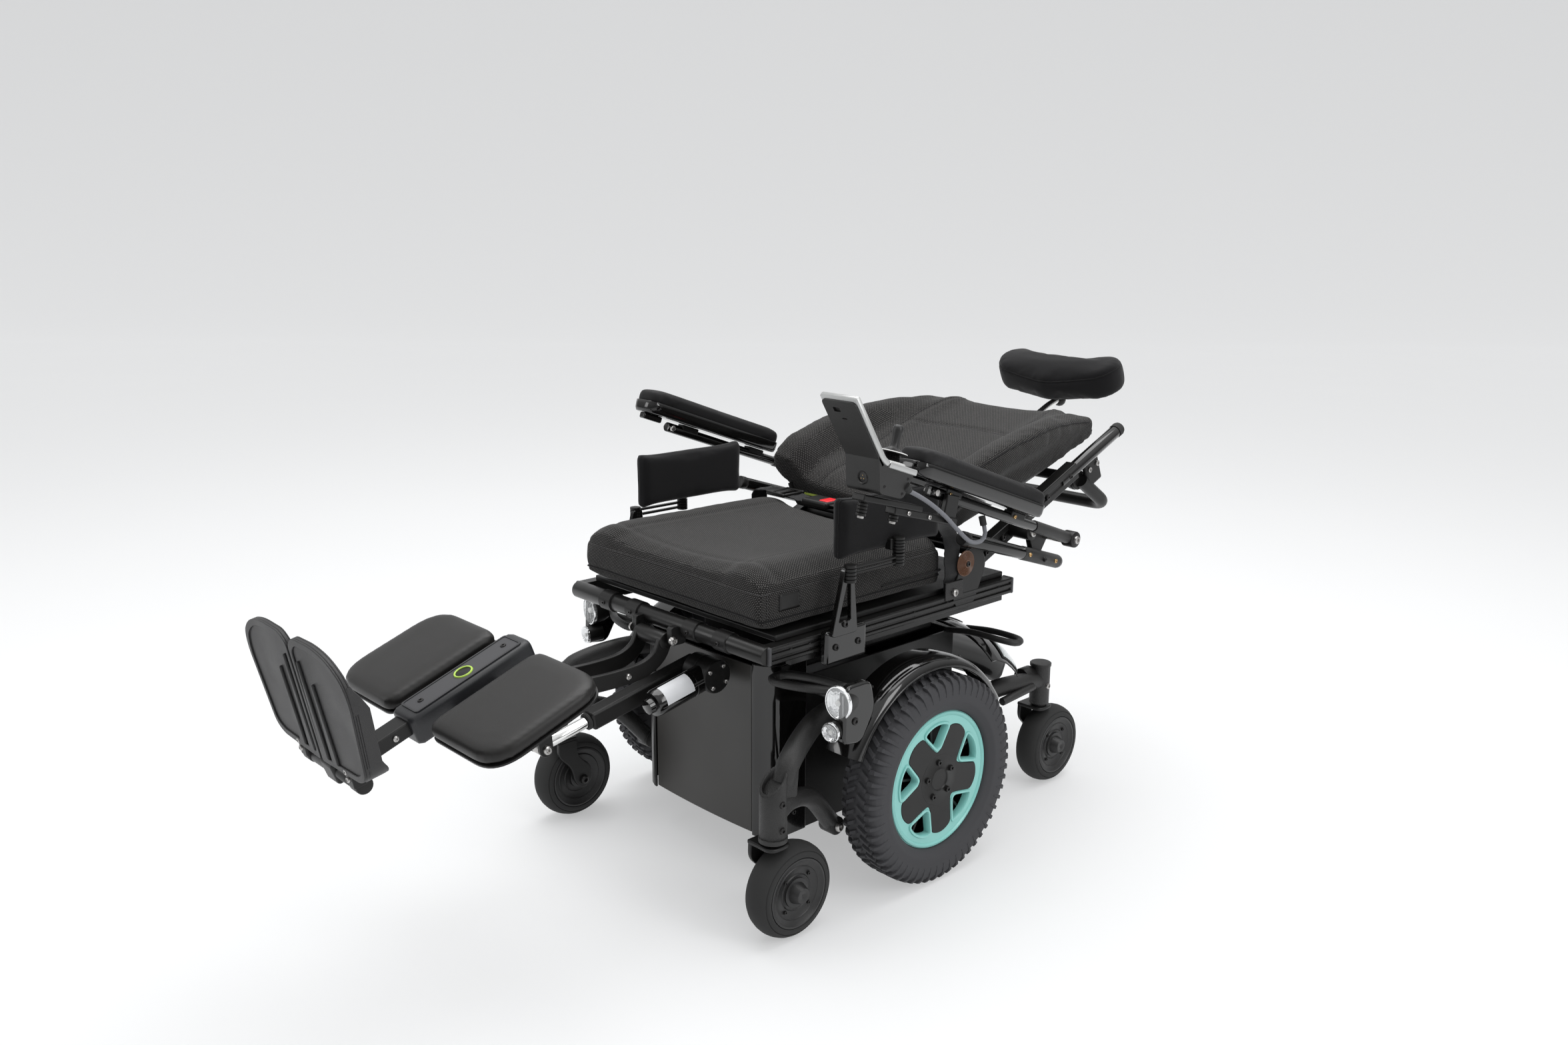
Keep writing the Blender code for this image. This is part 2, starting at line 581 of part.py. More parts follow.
# ---- seat ----------------------------------------------------------------------------------------
def make_seat():
    length, middle = RAIL_REAR - RAIL_FRONT, (RAIL_REAR + RAIL_FRONT) / 2
    rail_centre = RAIL_X - RAIL_W / 2
    pan = box("seat_frame", (2 * rail_centre, length - 0.030, 0.012), (0, middle + 0.010, 0.4595))
    pieces = []
    for _, sign in SIDES:
        pieces.append(box("rail", (RAIL_W, length, RAIL_H), (sign * rail_centre, middle, RAIL_Z),
                          bevel=0.003))
        plate = outline_plate("hinge_plate", [band([(0.150, 0.455), (HINGE_Y, HINGE_Z + 0.012)], 0.032)],
                              0.008, (sign * 0.2485, 0, 0))
        pieces.append(plate)
        pieces.append(box("lug", (0.012, 0.034, 0.064), (sign * 0.1375, TILT_Y, 0.4265), bevel=0.002))
    pieces.append(cylinder("front_tube", 0.0145, ((-0.248, RAIL_FRONT, 0.4415), (0.248, RAIL_FRONT, 0.4415))))
    pieces.append(box("knee_lug_left", (0.012, 0.030, 0.030), (0.046, -0.322, 0.4300), bevel=0.002))
    pieces.append(box("knee_lug_right", (0.012, 0.030, 0.030), (-0.046, -0.322, 0.4300), bevel=0.002))
    assembly("seat", pan, *pieces)

    width, depth = 2 * CUSHION_X, CUSHION_REAR - CUSHION_FRONT
    cushion = box("seat_cushion", (width, depth, CUSHION_TOP - CUSHION_Z),
                  (0, (CUSHION_REAR + CUSHION_FRONT) / 2, (CUSHION_TOP + CUSHION_Z) / 2),
                  "mesh_fabric", bevel=0.014, segments=2)
    belt_dip = box("belt_dip", (width, 0.120, 0.020), (0, 0.090, CUSHION_TOP + 0.009))
    cut(cushion, belt_dip)
    hang(belt_dip, "seat")
    hang(cushion, "seat")
    make_belt()
    for side, sign in SIDES:
        make_side_pad(side, sign)


def make_belt():
    """A lap strap: up the cushion's side from each rail, and across its top."""
    half = 0.019
    top, side_x = CUSHION_TOP + 0.0025, CUSHION_X + 0.0032
    route = [(side_x, 0.102, 0.470, (0, 1, 0)), (side_x, 0.096, 0.535, (0, 1, 0)),
             (side_x - 0.003, 0.092, 0.556, (0, 1, 0)), (side_x - 0.013, 0.088, top, (0, 1, 0)),
             (0.110, 0.074, top, (0, 1, 0))]
    mirrored = [(-x, y, z, way) for x, y, z, way in route[::-1]]
    rings = []
    path = route + [(0, 0.068, top, (0, 1, 0))] + mirrored
    for i, (x, y, z, way) in enumerate(path):
        before, after = path[max(i - 1, 0)], path[min(i + 1, len(path) - 1)]
        ahead = Vector(after[:3]) - Vector(before[:3])
        across = Vector(way) * half
        out = ahead.cross(across).normalized() * 0.0013
        place = Vector((x, y, z))
        rings.append([place + across + out, place - across + out, place - across - out,
                      place + across - out])
    hang(loft("lap_belt", rings, "webbing"), "seat")


def make_side_pad(side, sign):
    """A thigh guide: clamp and upright on the rail, two-knuckle link, and the pad."""
    clamp = box(f"side_bracket_{side}", (0.011, 0.076, 0.050), (sign * 0.2592, -0.170, 0.4385), bevel=0.004)
    outline = [(-0.205, 0.455), (-0.150, 0.455), (-0.158, 0.560), (-0.176, 0.560)]
    upright = outline_plate("upright", [outline], 0.009, (sign * 0.2690, 0, 0))
    joint = cylinder("knuckle", 0.0075, ((sign * 0.2725, -0.166, 0.545), (sign * 0.2725, -0.166, 0.5635)))
    link = box("link", (0.006, 0.100, 0.008), (sign * 0.2725, -0.115, 0.5560))
    assembly("seat", clamp, upright, joint, link)

    pad = box(f"side_pad_{side}", (0.024, 0.224, 0.100), (sign * 0.2500, -0.046, 0.6150),
              "knit_fabric", bevel=0.008, segments=2)
    knuckle = cylinder("knuckle", 0.0075, ((sign * 0.2725, -0.050, 0.5665), (sign * 0.2725, -0.050, 0.5900)))
    tab = box("tab", (0.014, 0.012, 0.014), (sign * 0.2655, -0.050, 0.5780))
    assembly(f"side_pad_{side}", pad, knuckle, tab)


# ---- back ----------------------------------------------------------------------------------------
def on_cane(along, normal=0.0, x=0.0):
    return slide_along((HINGE_Y, HINGE_Z), CANE_TILT, along, normal, x)


def make_back():
    first = cylinder("back_frame", 0.011, (on_cane(0.060, -0.002, -0.220), on_cane(0.060, -0.002, 0.220)))
    pieces = []
    for _, sign in SIDES:
        x = sign * CANE_X
        pieces.append(box("cane", (0.022, 0.355, 0.034), on_cane(0.1725, x=x), tilt=CANE_TILT, bevel=0.003))
        pieces.append(cylinder("handle", 0.0125, (on_cane(0.30, 0, x), on_cane(CANE_LENGTH, 0, x))))
        pieces.append(cylinder("disc", 0.018, (on_cane(0, 0, sign * 0.209), on_cane(0, 0, sign * 0.2441)),
                               sides=20))
        pieces.append(box("ear", (0.012, 0.044, 0.075), on_cane(0.420, -0.036, sign * 0.2105),
                          tilt=CANE_TILT, bevel=0.003))
    bar_ends = (on_cane(0.345, -0.016, -0.216), on_cane(0.345, -0.016, 0.216))
    pieces.append(cylinder("upper_bar", 0.010, bar_ends))
    pieces.append(box("headrest_socket", (0.046, 0.110, 0.018), on_cane(0.395, -0.019, 0), tilt=CANE_TILT,
                      bevel=0.002))
    bore = cylinder("bore", 0.0076, (on_cane(0.360, -0.019), on_cane(0.460, -0.019)))
    combine(first, pieces)
    assembly("back", cut(first, bore))

    corner = Vector((0.2050, 0.640, 0.530))
    start = Vector((0.2050, 0.549, 0.590))
    ends = [start, corner, Vector((-corner.x, corner.y, corner.z)), Vector((-start.x, start.y, start.z))]
    bar = tube("push_bar", rounded_path(ends, 0.030), 0.0130, "satin_black_plastic", 3)
    discs = [cylinder("disc", 0.0190, ((sign * 0.1880, start.y, start.z), (sign * 0.2035, start.y, start.z)))
             for _, sign in SIDES]
    combine(bar, discs)
    cut_back = [box("relief", (0.0200, 0.090, 0.140), on_cane(0.420, -0.036, sign * 0.2140), tilt=CANE_TILT)
                for _, sign in SIDES]
    combine(bar, cut_back, "DIFFERENCE")
    assembly("back", bar)

    make_shell()
    make_headrest()
    for side, sign in SIDES:
        make_arm(side, sign)


def shell_point(along, normal, x):
    return slide_along((0.163, 0.534), SHELL_TILT, along, normal, x)


def make_shell():
    """The back shell and its cushion: a flat floor whose sides rise towards the sitter."""
    stations = ((0.0, 0.196, 0.045, 0.228, 0.112), (0.150, 0.202, 0.058, 0.226, 0.104),
                (0.330, 0.200, 0.046, 0.214, 0.088), (0.464, 0.188, 0.020, 0.198, 0.060))
    rings, pads = [], []
    for along, half, rise, wing_x, wing in stations:
        section = [(-half, rise), (-half + 0.006, rise), (-half + 0.022, 0.005), (half - 0.022, 0.005),
                   (half - 0.006, rise), (half, rise), (half - 0.012, 0), (-half + 0.012, 0)]
        rings.append([shell_point(along, normal, x) for x, normal in section])
        crown, inner = 0.050, half - 0.026
        top = [(-inner, 0.0065), (inner, 0.0065), (half - 0.009, rise), (wing_x, wing - 0.012),
               (wing_x - 0.010, wing), (wing_x - 0.055, wing - 0.008), (0.090, crown + 0.004),
               (0, crown), (-0.090, crown + 0.004), (-wing_x + 0.055, wing - 0.008),
               (-wing_x + 0.010, wing), (-wing_x, wing - 0.012), (-half + 0.009, rise)]
        pads.append([shell_point(along + (0.002 if along == 0 else 0), normal, x) for x, normal in top])
    hang(loft("back_shell", rings, "satin_black_plastic"), "back")
    hang(loft("back_cushion", pads, "mesh_fabric"), "back")


def make_headrest():
    foot = on_cane(0.362, -0.019, 0)
    path = rounded_path([foot, on_cane(0.592, -0.019, 0), Vector((0, 0.757, 0.708))], 0.012)
    stem = tube("headrest_stem", path, 0.0070, "chrome_steel", 3)
    ball = cylinder("ball", 0.0125, ((-0.012, 0.757, 0.706), (0.012, 0.757, 0.706)))
    assembly("headrest", stem, ball)

    outline = (arc((0.100, 0.010), 0.052, -75, 70, 7) + [(0.050, 0.050), (0, 0.040), (-0.050, 0.050)]
               + arc((-0.100, 0.010), 0.052, 110, 255, 7) + [(-0.050, -0.052), (0, -0.060), (0.050, -0.052)])
    along = Vector((0, cos(CANE_TILT), sin(CANE_TILT)))
    normal = Vector((0, -sin(CANE_TILT), cos(CANE_TILT)))
    across = Matrix((Vector((1, 0, 0)), along, normal)).transposed()
    pad = outline_plate("headrest_pad", [outline], 0.068, (0, 0.7545, 0.7570), "knit_fabric",
                        across=across, edge=0.012)
    shade(pad)
    hang(pad, "headrest_pad")


# ---- arms and remote -----------------------------------------------------------------------------
def make_arm(side, sign):
    """The reclining link with its lower tube, then the flip-up arm tube and the pad on it."""
    lift = ARM_LIFT[side]
    flip = Vector((0, FLIP_Y, FLIP_Z + lift))
    lower_rear = Vector((sign * ARM_LINK_X, 0.376, 0.474 + lift / 2))
    lower_front = Vector((sign * ARM_LINK_X, 0.0985, 0.564 + lift / 2))
    lower = cylinder(f"arm_link_{side}", 0.0125, (lower_front, lower_rear))
    web = [(ARM_PIVOT_Y, ARM_PIVOT_Z), (flip.y, flip.z), (0.318, 0.492 + lift / 2)]
    middle = Vector((sum(p[0] for p in web) / 3, sum(p[1] for p in web) / 3))
    corners = [Vector(p) + (Vector(p) - middle).normalized() * 0.014 for p in web]
    plate = outline_plate("web", [[tuple(p) for p in corners]], 0.012, (sign * 0.2700, 0, 0))
    boss = cylinder("boss", 0.015, ((sign * 0.2365, ARM_PIVOT_Y, ARM_PIVOT_Z),
                                    (sign * 0.2720, ARM_PIVOT_Y, ARM_PIVOT_Z)))
    pin = cylinder("pin", 0.010, ((sign * 0.2700, flip.y, flip.z), (sign * (ARM_X - 0.0125), flip.y, flip.z)))
    assembly(f"arm_link_{side}", lower, plate, boss, pin)

    def on_arm(along, normal, x=ARM_X):
        return slide_along((flip.y, flip.z), -ARM_SLOPE, along, normal, sign * x)

    upper = cylinder(f"arm_tube_{side}", 0.0090, (on_arm(-0.415, 0), on_arm(0, 0)), sides=16)
    collar = cylinder("collar", 0.0145, (on_arm(0, 0, ARM_X - 0.012), on_arm(0, 0, ARM_X + 0.012)))
    saddles = [box("saddle", (0.018, 0.040, 0.012), on_arm(along, 0.0070), tilt=-ARM_SLOPE)
               for along in (-0.360, -0.180)]
    gland = cylinder("gland", 0.0055, (on_arm(-0.262, 0), on_arm(-0.262, -0.016)))
    assembly(f"arm_{side}", upper, collar, *saddles, gland)

    pad = box(f"arm_pad_{side}", (0.066, 0.340, 0.044), on_arm(-0.313, 0.0355, 0.330), "knit_fabric",
              tilt=-ARM_SLOPE, bevel=0.008, segments=2)
    hang(pad, f"arm_{side}")


def make_remote():
    outline = [(-0.208, 0.694), (-0.153, 0.679), (-0.1375, 0.7060), (-0.128, 0.716), (-0.1266, 0.7227),
               (-0.194, 0.746), (-0.253, 0.843), (-0.262, 0.842), (-0.265, 0.836), (-0.205, 0.7376)]
    body = outline_plate("remote_body", [outline], 0.074, (REMOTE_X, 0, 0), "grey_plastic")
    hang(body, "remote")

    stick = [(0, 0.0585), (0.005, 0.0575), (0.0085, 0.0525), (0.0085, 0.022), (0.0225, 0.0175),
             (0.0225, 0.0155), (0.011, 0.0145), (0.0125, 0.0080), (0.0045, 0.0025), (0, 0.0025)]
    knob = turned("joystick_knob", stick, (REMOTE_X, STICK_Y, STICK_Z), "satin_black_plastic", 1, 20)
    knob.rotation_euler = (-PANEL_SLOPE, 0, 0)
    hang(knob, "joystick")

    def under(along, normal, x=REMOTE_X):
        return slide_along((-0.208, 0.694), -REMOTE_SLOPE, along, normal, x)

    top_bar = box("remote_bracket", (0.026, 0.135, 0.010), under(0.062, -0.0070), tilt=-REMOTE_SLOPE)
    low_bar = box("low_bar", (0.022, 0.150, 0.012), under(0.145, -0.0170), tilt=-REMOTE_SLOPE)
    knobs = [cylinder("knob", 0.0075, (under(along, -0.0070), under(along, -0.034)))
             for along in (0.008, 0.080)]
    riser = box("riser", (0.010, 0.030, 0.0440), under(0.2050, 0.0020, REMOTE_X + 0.0016), tilt=-REMOTE_SLOPE)
    assembly("arm_left", top_bar, low_bar, *knobs, riser)

    flip = (FLIP_Y, FLIP_Z)
    end = slide_along(flip, -ARM_SLOPE, -0.262, -0.0190, ARM_X)
    route = [(0.372, -0.1363, 0.6895), (0.371, -0.122, 0.6835), (0.367, -0.085, 0.664),
             (0.361, -0.042, 0.637), (0.354, 0.000, 0.606), (0.347, 0.040, 0.580),
             (0.341, 0.075, 0.574), (0.334, 0.094, 0.583), end]
    cable = tube("remote_cable", smooth_path(route, 0.012), 0.0035, "cable_jacket", 2)
    hang(cable, "arm_left")


# ---- leg rest ------------------------------------------------------------------------------------
def on_beam(along, normal=0.0, x=0.0):
    """A point on the leg beam: along its top face towards the sitter, and off it upwards."""
    return slide_along(LEG_TOP, LEG_SLOPE, along, normal, x)


def make_leg_rest():
    barrel = cylinder("leg_arm", 0.0135, ((-0.036, KNEE_Y, KNEE_Z), (0.036, KNEE_Y, KNEE_Z)), sides=20)
    path = [(KNEE_Y, KNEE_Z), (-0.346, 0.398), (-0.372, 0.383), (-0.410, 0.378), (-0.480, 0.379),
            (-0.630, 0.390)]
    plates = [outline_plate("side_plate", [band(path, 0.0130)], 0.009, (x, 0, 0)) for x in (-0.030, 0.030)]
    spacer = box("spacer", (0.056, 0.080, 0.020), (0, -0.590, 0.3830), tilt=radians(-5), bevel=0.002)
    wedge = box("wedge", (0.040, 0.060, 0.022), on_beam(0.140, -0.0615), tilt=LEG_SLOPE)
    lugs = [outline_plate("rod_lug", [band([(-0.575, 0.380), (ROD_Y, ROD_Z)], 0.0120)], 0.007, (x, 0, 0))
            for x in (ACT_X - 0.0142, ACT_X + 0.0142)]
    assembly("leg", barrel, *plates, spacer, wedge, *lugs)

    cover = box("leg_beam", (0.058, 0.215, 0.048), on_beam(0.1005, -0.0244), "grey_plastic",
                tilt=LEG_SLOPE, bevel=0.007, segments=2)
    tail = box("tail", (0.034, 0.126, 0.022), on_beam(-0.048, -0.0190), tilt=LEG_SLOPE, bevel=0.002)
    hinge_bar = cylinder("hinge_bar", 0.0110, ((-0.060, FOOT_Y, FOOT_Z), (0.060, FOOT_Y, FOOT_Z)))
    assembly("leg", cover, tail, hinge_bar)

    for side, sign in SIDES:
        make_calf_pad(side, sign)
        make_footplate(side, sign)
    make_leg_actuator()


def make_calf_pad(side, sign):
    along = Vector((0, cos(LEG_SLOPE), sin(LEG_SLOPE)))
    normal = Vector((0, -sin(LEG_SLOPE), cos(LEG_SLOPE)))
    across = Matrix((Vector((1, 0, 0)), along, normal)).transposed()
    low, high = ((0.054, 0.0), (0.228, 0.200)) if sign > 0 else ((-0.228, 0.0), (-0.054, 0.200))
    pad = outline_plate(f"calf_pad_{side}", [rounded_rectangle(low, high, 0.036)], 0.032,
                        on_beam(0.0, -0.014), "vinyl", across=across, edge=0.006)
    shade(pad)
    barrel = cylinder("barrel", 0.0065, (on_beam(0.060, -0.030, sign * 0.043),
                                         on_beam(0.140, -0.030, sign * 0.043)))
    tab = box("tab", (0.030, 0.060, 0.006), on_beam(0.100, -0.0310, sign * 0.060), tilt=LEG_SLOPE)
    assembly(f"calf_{side}", pad, barrel, tab)


def make_footplate(side, sign):
    """A nearly upright plate whose outer edge is turned towards the sitter, on a hinge collar."""
    lean = pi / 2 + FOOT_LEAN
    up = Vector((0, cos(lean), sin(lean)))
    back = Vector((0, sin(lean), -cos(lean)))
    across = Matrix((Vector((1, 0, 0)), up, Vector((1, 0, 0)).cross(up))).transposed()
    origin = Vector((0, FOOT_Y, FOOT_Z)) - back * 0.0115
    outline = [(0.003, 0.020), (0.118, 0.024), (0.138, 0.036), (0.157, 0.150), (0.150, 0.180),
               (0.120, 0.203), (0.080, 0.212), (0.020, 0.210), (0.003, 0.196)]
    plate = outline_plate(f"footplate_{side}", [[(sign * x, h) for x, h in outline]], 0.007, origin,
                          "grey_plastic", across=across)
    wall = outline_plate("wall", [[(sign * 0.118, 0.024), (sign * 0.138, 0.036), (sign * 0.157, 0.150),
                                   (sign * 0.153, 0.150), (sign * 0.133, 0.040), (sign * 0.118, 0.031)]],
                         0.040, origin + back * 0.020, "grey_plastic", across=across)
    taper_start = origin + back * 0.046 + up * 0.020
    taper = box("taper", (0.400, 0.200, 0.060), taper_start + up * 0.085 + back * 0.0120,
                "grey_plastic", tilt=lean + radians(14))
    cut(wall, taper)
    collar = cylinder("collar", 0.0120, ((sign * 0.0605, FOOT_Y, FOOT_Z), (sign * 0.084, FOOT_Y, FOOT_Z)))
    root = Vector((sign * 0.073, FOOT_Y, FOOT_Z)) + up * 0.016 - back * 0.004
    arm = box("arm", (0.020, 0.022, 0.032), root, "grey_plastic", tilt=FOOT_LEAN)
    assembly(f"foot_{side}", plate, wall, collar, arm)
    hang(taper, f"foot_{side}")


def make_leg_actuator():
    def on_rod(along, x=ACT_X):
        return slide_along((ACT_Y, ACT_Z), pi + ACT_SLOPE, along, 0.0, x)

    length = hypot(ACT_Y - ROD_Y, ACT_Z - ROD_Z)
    body = box("leg_actuator", (0.030, 0.225, 0.030), on_rod(0.0950), "satin_black_plastic",
               tilt=ACT_SLOPE, bevel=0.002)
    bore = cylinder("bore", 0.0101, (on_rod(0.035), on_rod(0.220)), sides=16)
    housing = cylinder("housing", 0.0280, (on_rod(0, 0.0340), on_rod(0, 0.0930)), "satin_black_plastic", 20)
    motor = cylinder("motor", 0.0190, (on_rod(0.010, 0.0700), on_rod(0.135, 0.0700)), "dark_casing", 20)
    combine(body, [bore], "DIFFERENCE")
    assembly("actuator", body, housing, motor)

    rod = cylinder("leg_rod", 0.0095, (on_rod(0.125), on_rod(length)), "chrome_steel", 16)
    eye = cylinder("eye", 0.0115, (on_rod(length, ACT_X - 0.0100), on_rod(length, ACT_X + 0.0100)))
    assembly("actuator", rod, eye)


def main():
    make_pivots()
    make_base()
    make_seat()
    make_back()
    make_remote()
    make_leg_rest()
    root, _ = PIVOTS["chair"]
    root.location = (ORIGIN_X, ORIGIN_Y, 0)


main()
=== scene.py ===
"""Looks for the power wheelchair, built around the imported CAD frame.

Points are given in the chair's own frame: x = 0 on the centre plane, y = 0 at the drive axle, the
chair facing -Y, z = 0 on the ground. OFFSET, read from the frame, takes them to the row frame.
"""
from functools import partial
from math import atan2, cos, hypot, pi, radians, sin, tan

import bmesh
import bpy
import numpy as np
from mathutils import Matrix, Vector
from mathutils.kdtree import KDTree


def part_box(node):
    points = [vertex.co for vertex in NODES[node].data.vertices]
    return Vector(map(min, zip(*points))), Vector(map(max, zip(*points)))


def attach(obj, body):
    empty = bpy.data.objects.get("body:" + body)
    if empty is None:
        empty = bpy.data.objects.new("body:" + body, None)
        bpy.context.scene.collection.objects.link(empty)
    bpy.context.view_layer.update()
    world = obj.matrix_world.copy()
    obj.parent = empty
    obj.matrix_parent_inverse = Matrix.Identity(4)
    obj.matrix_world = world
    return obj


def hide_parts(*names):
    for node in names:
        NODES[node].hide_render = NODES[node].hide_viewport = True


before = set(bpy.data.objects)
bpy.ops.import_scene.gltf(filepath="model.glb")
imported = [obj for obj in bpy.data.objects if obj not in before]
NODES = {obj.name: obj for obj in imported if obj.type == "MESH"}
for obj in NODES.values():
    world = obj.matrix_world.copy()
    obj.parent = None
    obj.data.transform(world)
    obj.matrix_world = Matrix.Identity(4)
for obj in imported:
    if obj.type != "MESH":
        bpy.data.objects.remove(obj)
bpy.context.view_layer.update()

_low, _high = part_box("drive_tyre_left")
_far_low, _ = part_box("drive_tyre_right")
OFFSET = Vector(((_far_low.x + _high.x) / 2, (_low.y + _high.y) / 2, 0))
SIDES = (("left", 1), ("right", -1))
# stands a flat outline up in the side plane: its u along +Y, its v along +Z
SIDE_TURN = Matrix((Vector((0, 1, 0)), Vector((0, 0, 1)), Vector((1, 0, 0)))).transposed()

# driving dimensions, as the CAD has them
WHEEL_R, WHEEL_X, RING_FACE_X = 0.178, 0.309, 0.334
CASTER_R, TRAIL = 0.0766, 0.032
FRONT_CASTER = (0.2918, -0.3364, 0.276)
REAR_CASTER = (0.2127, 0.4376, 0.249)
TILT_Y, TILT_Z = 0.235, 0.408
HINGE = (0.17, 0.485)
KNEE_Y, KNEE_Z = -0.334, 0.42
CANE_TILT, SHELL_TILT = radians(23.1), radians(16.0)
LEG_SLOPE, LEG_TOP = radians(20.3), (-0.7755, 0.4046)
FOOT_Y, FOOT_Z, FOOT_LEAN = -0.876, 0.352, radians(11.6)
ACT_Y, ACT_Z, ACT_X, ROD_Y, ROD_Z = -0.275, 0.36, 0.02, -0.566, 0.3
ACT_SLOPE = atan2(ACT_Z - ROD_Z, ACT_Y - ROD_Y)
ARM_SLOPE, ARM_X = radians(20.0), 0.328
FLIP_Y, FLIP_Z = 0.345, 0.5305
ARM_LIFT = {"left": 0.0, "right": 0.022}
REMOTE_X, REMOTE_SLOPE = 0.341, radians(15.5)
STICK_Y, STICK_Z = -0.148, 0.7305

# how far the camera stands round from straight in front, towards the chair's left
VIEW_TURN = radians(46.87)


# ---- camera, lights and floor --------------------------------------------------------------------
def make_camera():
    data = bpy.data.cameras.new("camera")
    data.sensor_width, data.lens = 36.0, 30.35
    camera = bpy.data.objects.new("camera", data)
    bpy.context.scene.collection.objects.link(camera)
    pitch, roll = radians(13.21), 0.0045
    back = Vector((sin(VIEW_TURN) * cos(pitch), -cos(VIEW_TURN) * cos(pitch), sin(pitch)))
    right = Vector((0, 0, 1)).cross(back).normalized()
    up = back.cross(right)
    level = Matrix((right, up, back)).transposed().to_4x4()
    place = Vector((1.6401, -1.5796, 1.0913)) + OFFSET
    camera.matrix_world = Matrix.Translation(place) @ level @ Matrix.Rotation(roll, 4, "Z")
    bpy.context.scene.camera = camera


def make_light(name, place, target, size, power, colour=(1, 1, 1)):
    data = bpy.data.lights.new(name, "AREA")
    data.shape = "RECTANGLE"
    data.size, data.size_y = size
    data.energy = power
    data.color = colour
    light = bpy.data.objects.new(name, data)
    light.location = Vector(place)
    light.rotation_euler = (Vector(place) - Vector(target)).to_track_quat("Z", "Y").to_euler()
    bpy.context.scene.collection.objects.link(light)


def make_studio():
    bpy.context.scene.view_settings.view_transform = "Standard"
    world = bpy.data.worlds.new("studio")
    bpy.context.scene.world = world
    world.use_nodes = True
    sky = world.node_tree
    place = node(sky, "ShaderNodeTexCoord")
    parts = node(sky, "ShaderNodeSeparateXYZ")
    climb = node(sky, "ShaderNodeMapRange")
    for key, value in (("From Min", 0.02), ("From Max", 0.75), ("To Min", 0.22), ("To Max", 0.92)):
        climb.inputs[key].default_value = value
    link(sky, place.outputs["Generated"], parts.inputs["Vector"])
    link(sky, parts.outputs["Z"], climb.inputs["Value"])
    link(sky, climb.outputs["Result"], sky.nodes["Background"].inputs["Strength"])
    sky.nodes["Background"].inputs["Color"].default_value = (0.97, 0.975, 0.98, 1)
    make_light("overhead", (-0.3, 0.5, 3.4), (0, 0, 0.3), (3.6, 3.0), 95)
    make_light("left_bank", (3.0, 0.4, 2.0), (0, 0, 0.4), (1.0, 2.0), 30)
    make_light("front_bank", (-1.9, -3.0, 1.8), (0, -0.3, 0.4), (1.4, 1.4), 20)

    floor = bmesh.new()
    rows = []
    reach, rise = 9.0, 4.0
    for angle in [0] + [radians(a) for a in range(0, 91, 6)]:
        rows.append((reach + rise * sin(angle), rise - rise * cos(angle)))
    rows[0] = (-12.0, 0.0)
    rows.append((reach + rise, 9.0))
    way = Vector((-sin(VIEW_TURN), cos(VIEW_TURN), 0))
    side = Vector((way.y, -way.x, 0))
    strips = []
    for far, height in rows:
        strips.append([floor.verts.new(way * far + side * s + Vector((0, 0, height))) for s in (-16, 16)])
    add_grid(floor, strips)
    mesh = bpy.data.meshes.new("floor")
    floor.to_mesh(mesh)
    mesh.shade_smooth()
    made = bpy.data.objects.new("floor", mesh)
    bpy.context.scene.collection.objects.link(made)
    paint = surface("floor_paint", (0.44, 0.443, 0.446), 0.75, mottle=(1.2, 0.02), grain=(60, 0.02,
        0.001), Emission_Color=(0.99, 0.995, 1.0, 1.0), Emission_Strength=0.4)
    mesh.materials.append(paint)


# ---- materials -----------------------------------------------------------------------------------
def link(tree, source, target):
    tree.links.new(source, target)


def node(tree, kind, **settings):
    made = tree.nodes.new(kind)
    for key, value in settings.items():
        if hasattr(made, key):
            setattr(made, key, value)
        else:
            made.inputs[key.replace("_", " ")].default_value = value
    return made


def surface(name, colour, rough, metallic=0.0, mottle=(30, 0.12), grain=(900, 0.15, 0.0004), wear=0.06,
        **shader_values):
    """Paint, plastic or metal: colour mottle, roughness variation and a fine surface grain."""
    found = bpy.data.materials.get(name)
    if found:
        return found
    made = bpy.data.materials.new(name)
    made.use_nodes = True
    tree = made.node_tree
    shader = tree.nodes["Principled BSDF"]
    shader.inputs["Metallic"].default_value = metallic
    for key, value in shader_values.items():
        shader.inputs[key.replace("_", " ")].default_value = value
    place = node(tree, "ShaderNodeTexCoord")
    cloud = node(tree, "ShaderNodeTexNoise", Scale=mottle[0], Detail=3.0)
    link(tree, place.outputs["Object"], cloud.inputs["Vector"])
    tint = node(tree, "ShaderNodeMix", data_type="RGBA")
    tint.inputs["A"].default_value = (*[c * (1 - mottle[1]) for c in colour], 1)
    tint.inputs["B"].default_value = (*[min(c * (1 + mottle[1]), 1) for c in colour], 1)
    link(tree, cloud.outputs["Fac"], tint.inputs["Factor"])
    link(tree, tint.outputs["Result"], shader.inputs["Base Color"])
    spread = node(tree, "ShaderNodeMapRange")
    spread.inputs["From Min"].default_value, spread.inputs["From Max"].default_value = 0.3, 0.7
    spread.inputs["To Min"].default_value = max(rough - wear, 0.02)
    spread.inputs["To Max"].default_value = min(rough + wear, 1)
    link(tree, cloud.outputs["Fac"], spread.inputs["Value"])
    link(tree, spread.outputs["Result"], shader.inputs["Roughness"])
    fine = node(tree, "ShaderNodeTexNoise", Scale=grain[0], Detail=2.0)
    link(tree, place.outputs["Object"], fine.inputs["Vector"])
    bump = node(tree, "ShaderNodeBump", Strength=grain[1], Distance=grain[2])
    link(tree, fine.outputs["Fac"], bump.inputs["Height"])
    link(tree, bump.outputs["Normal"], shader.inputs["Normal"])
    return made


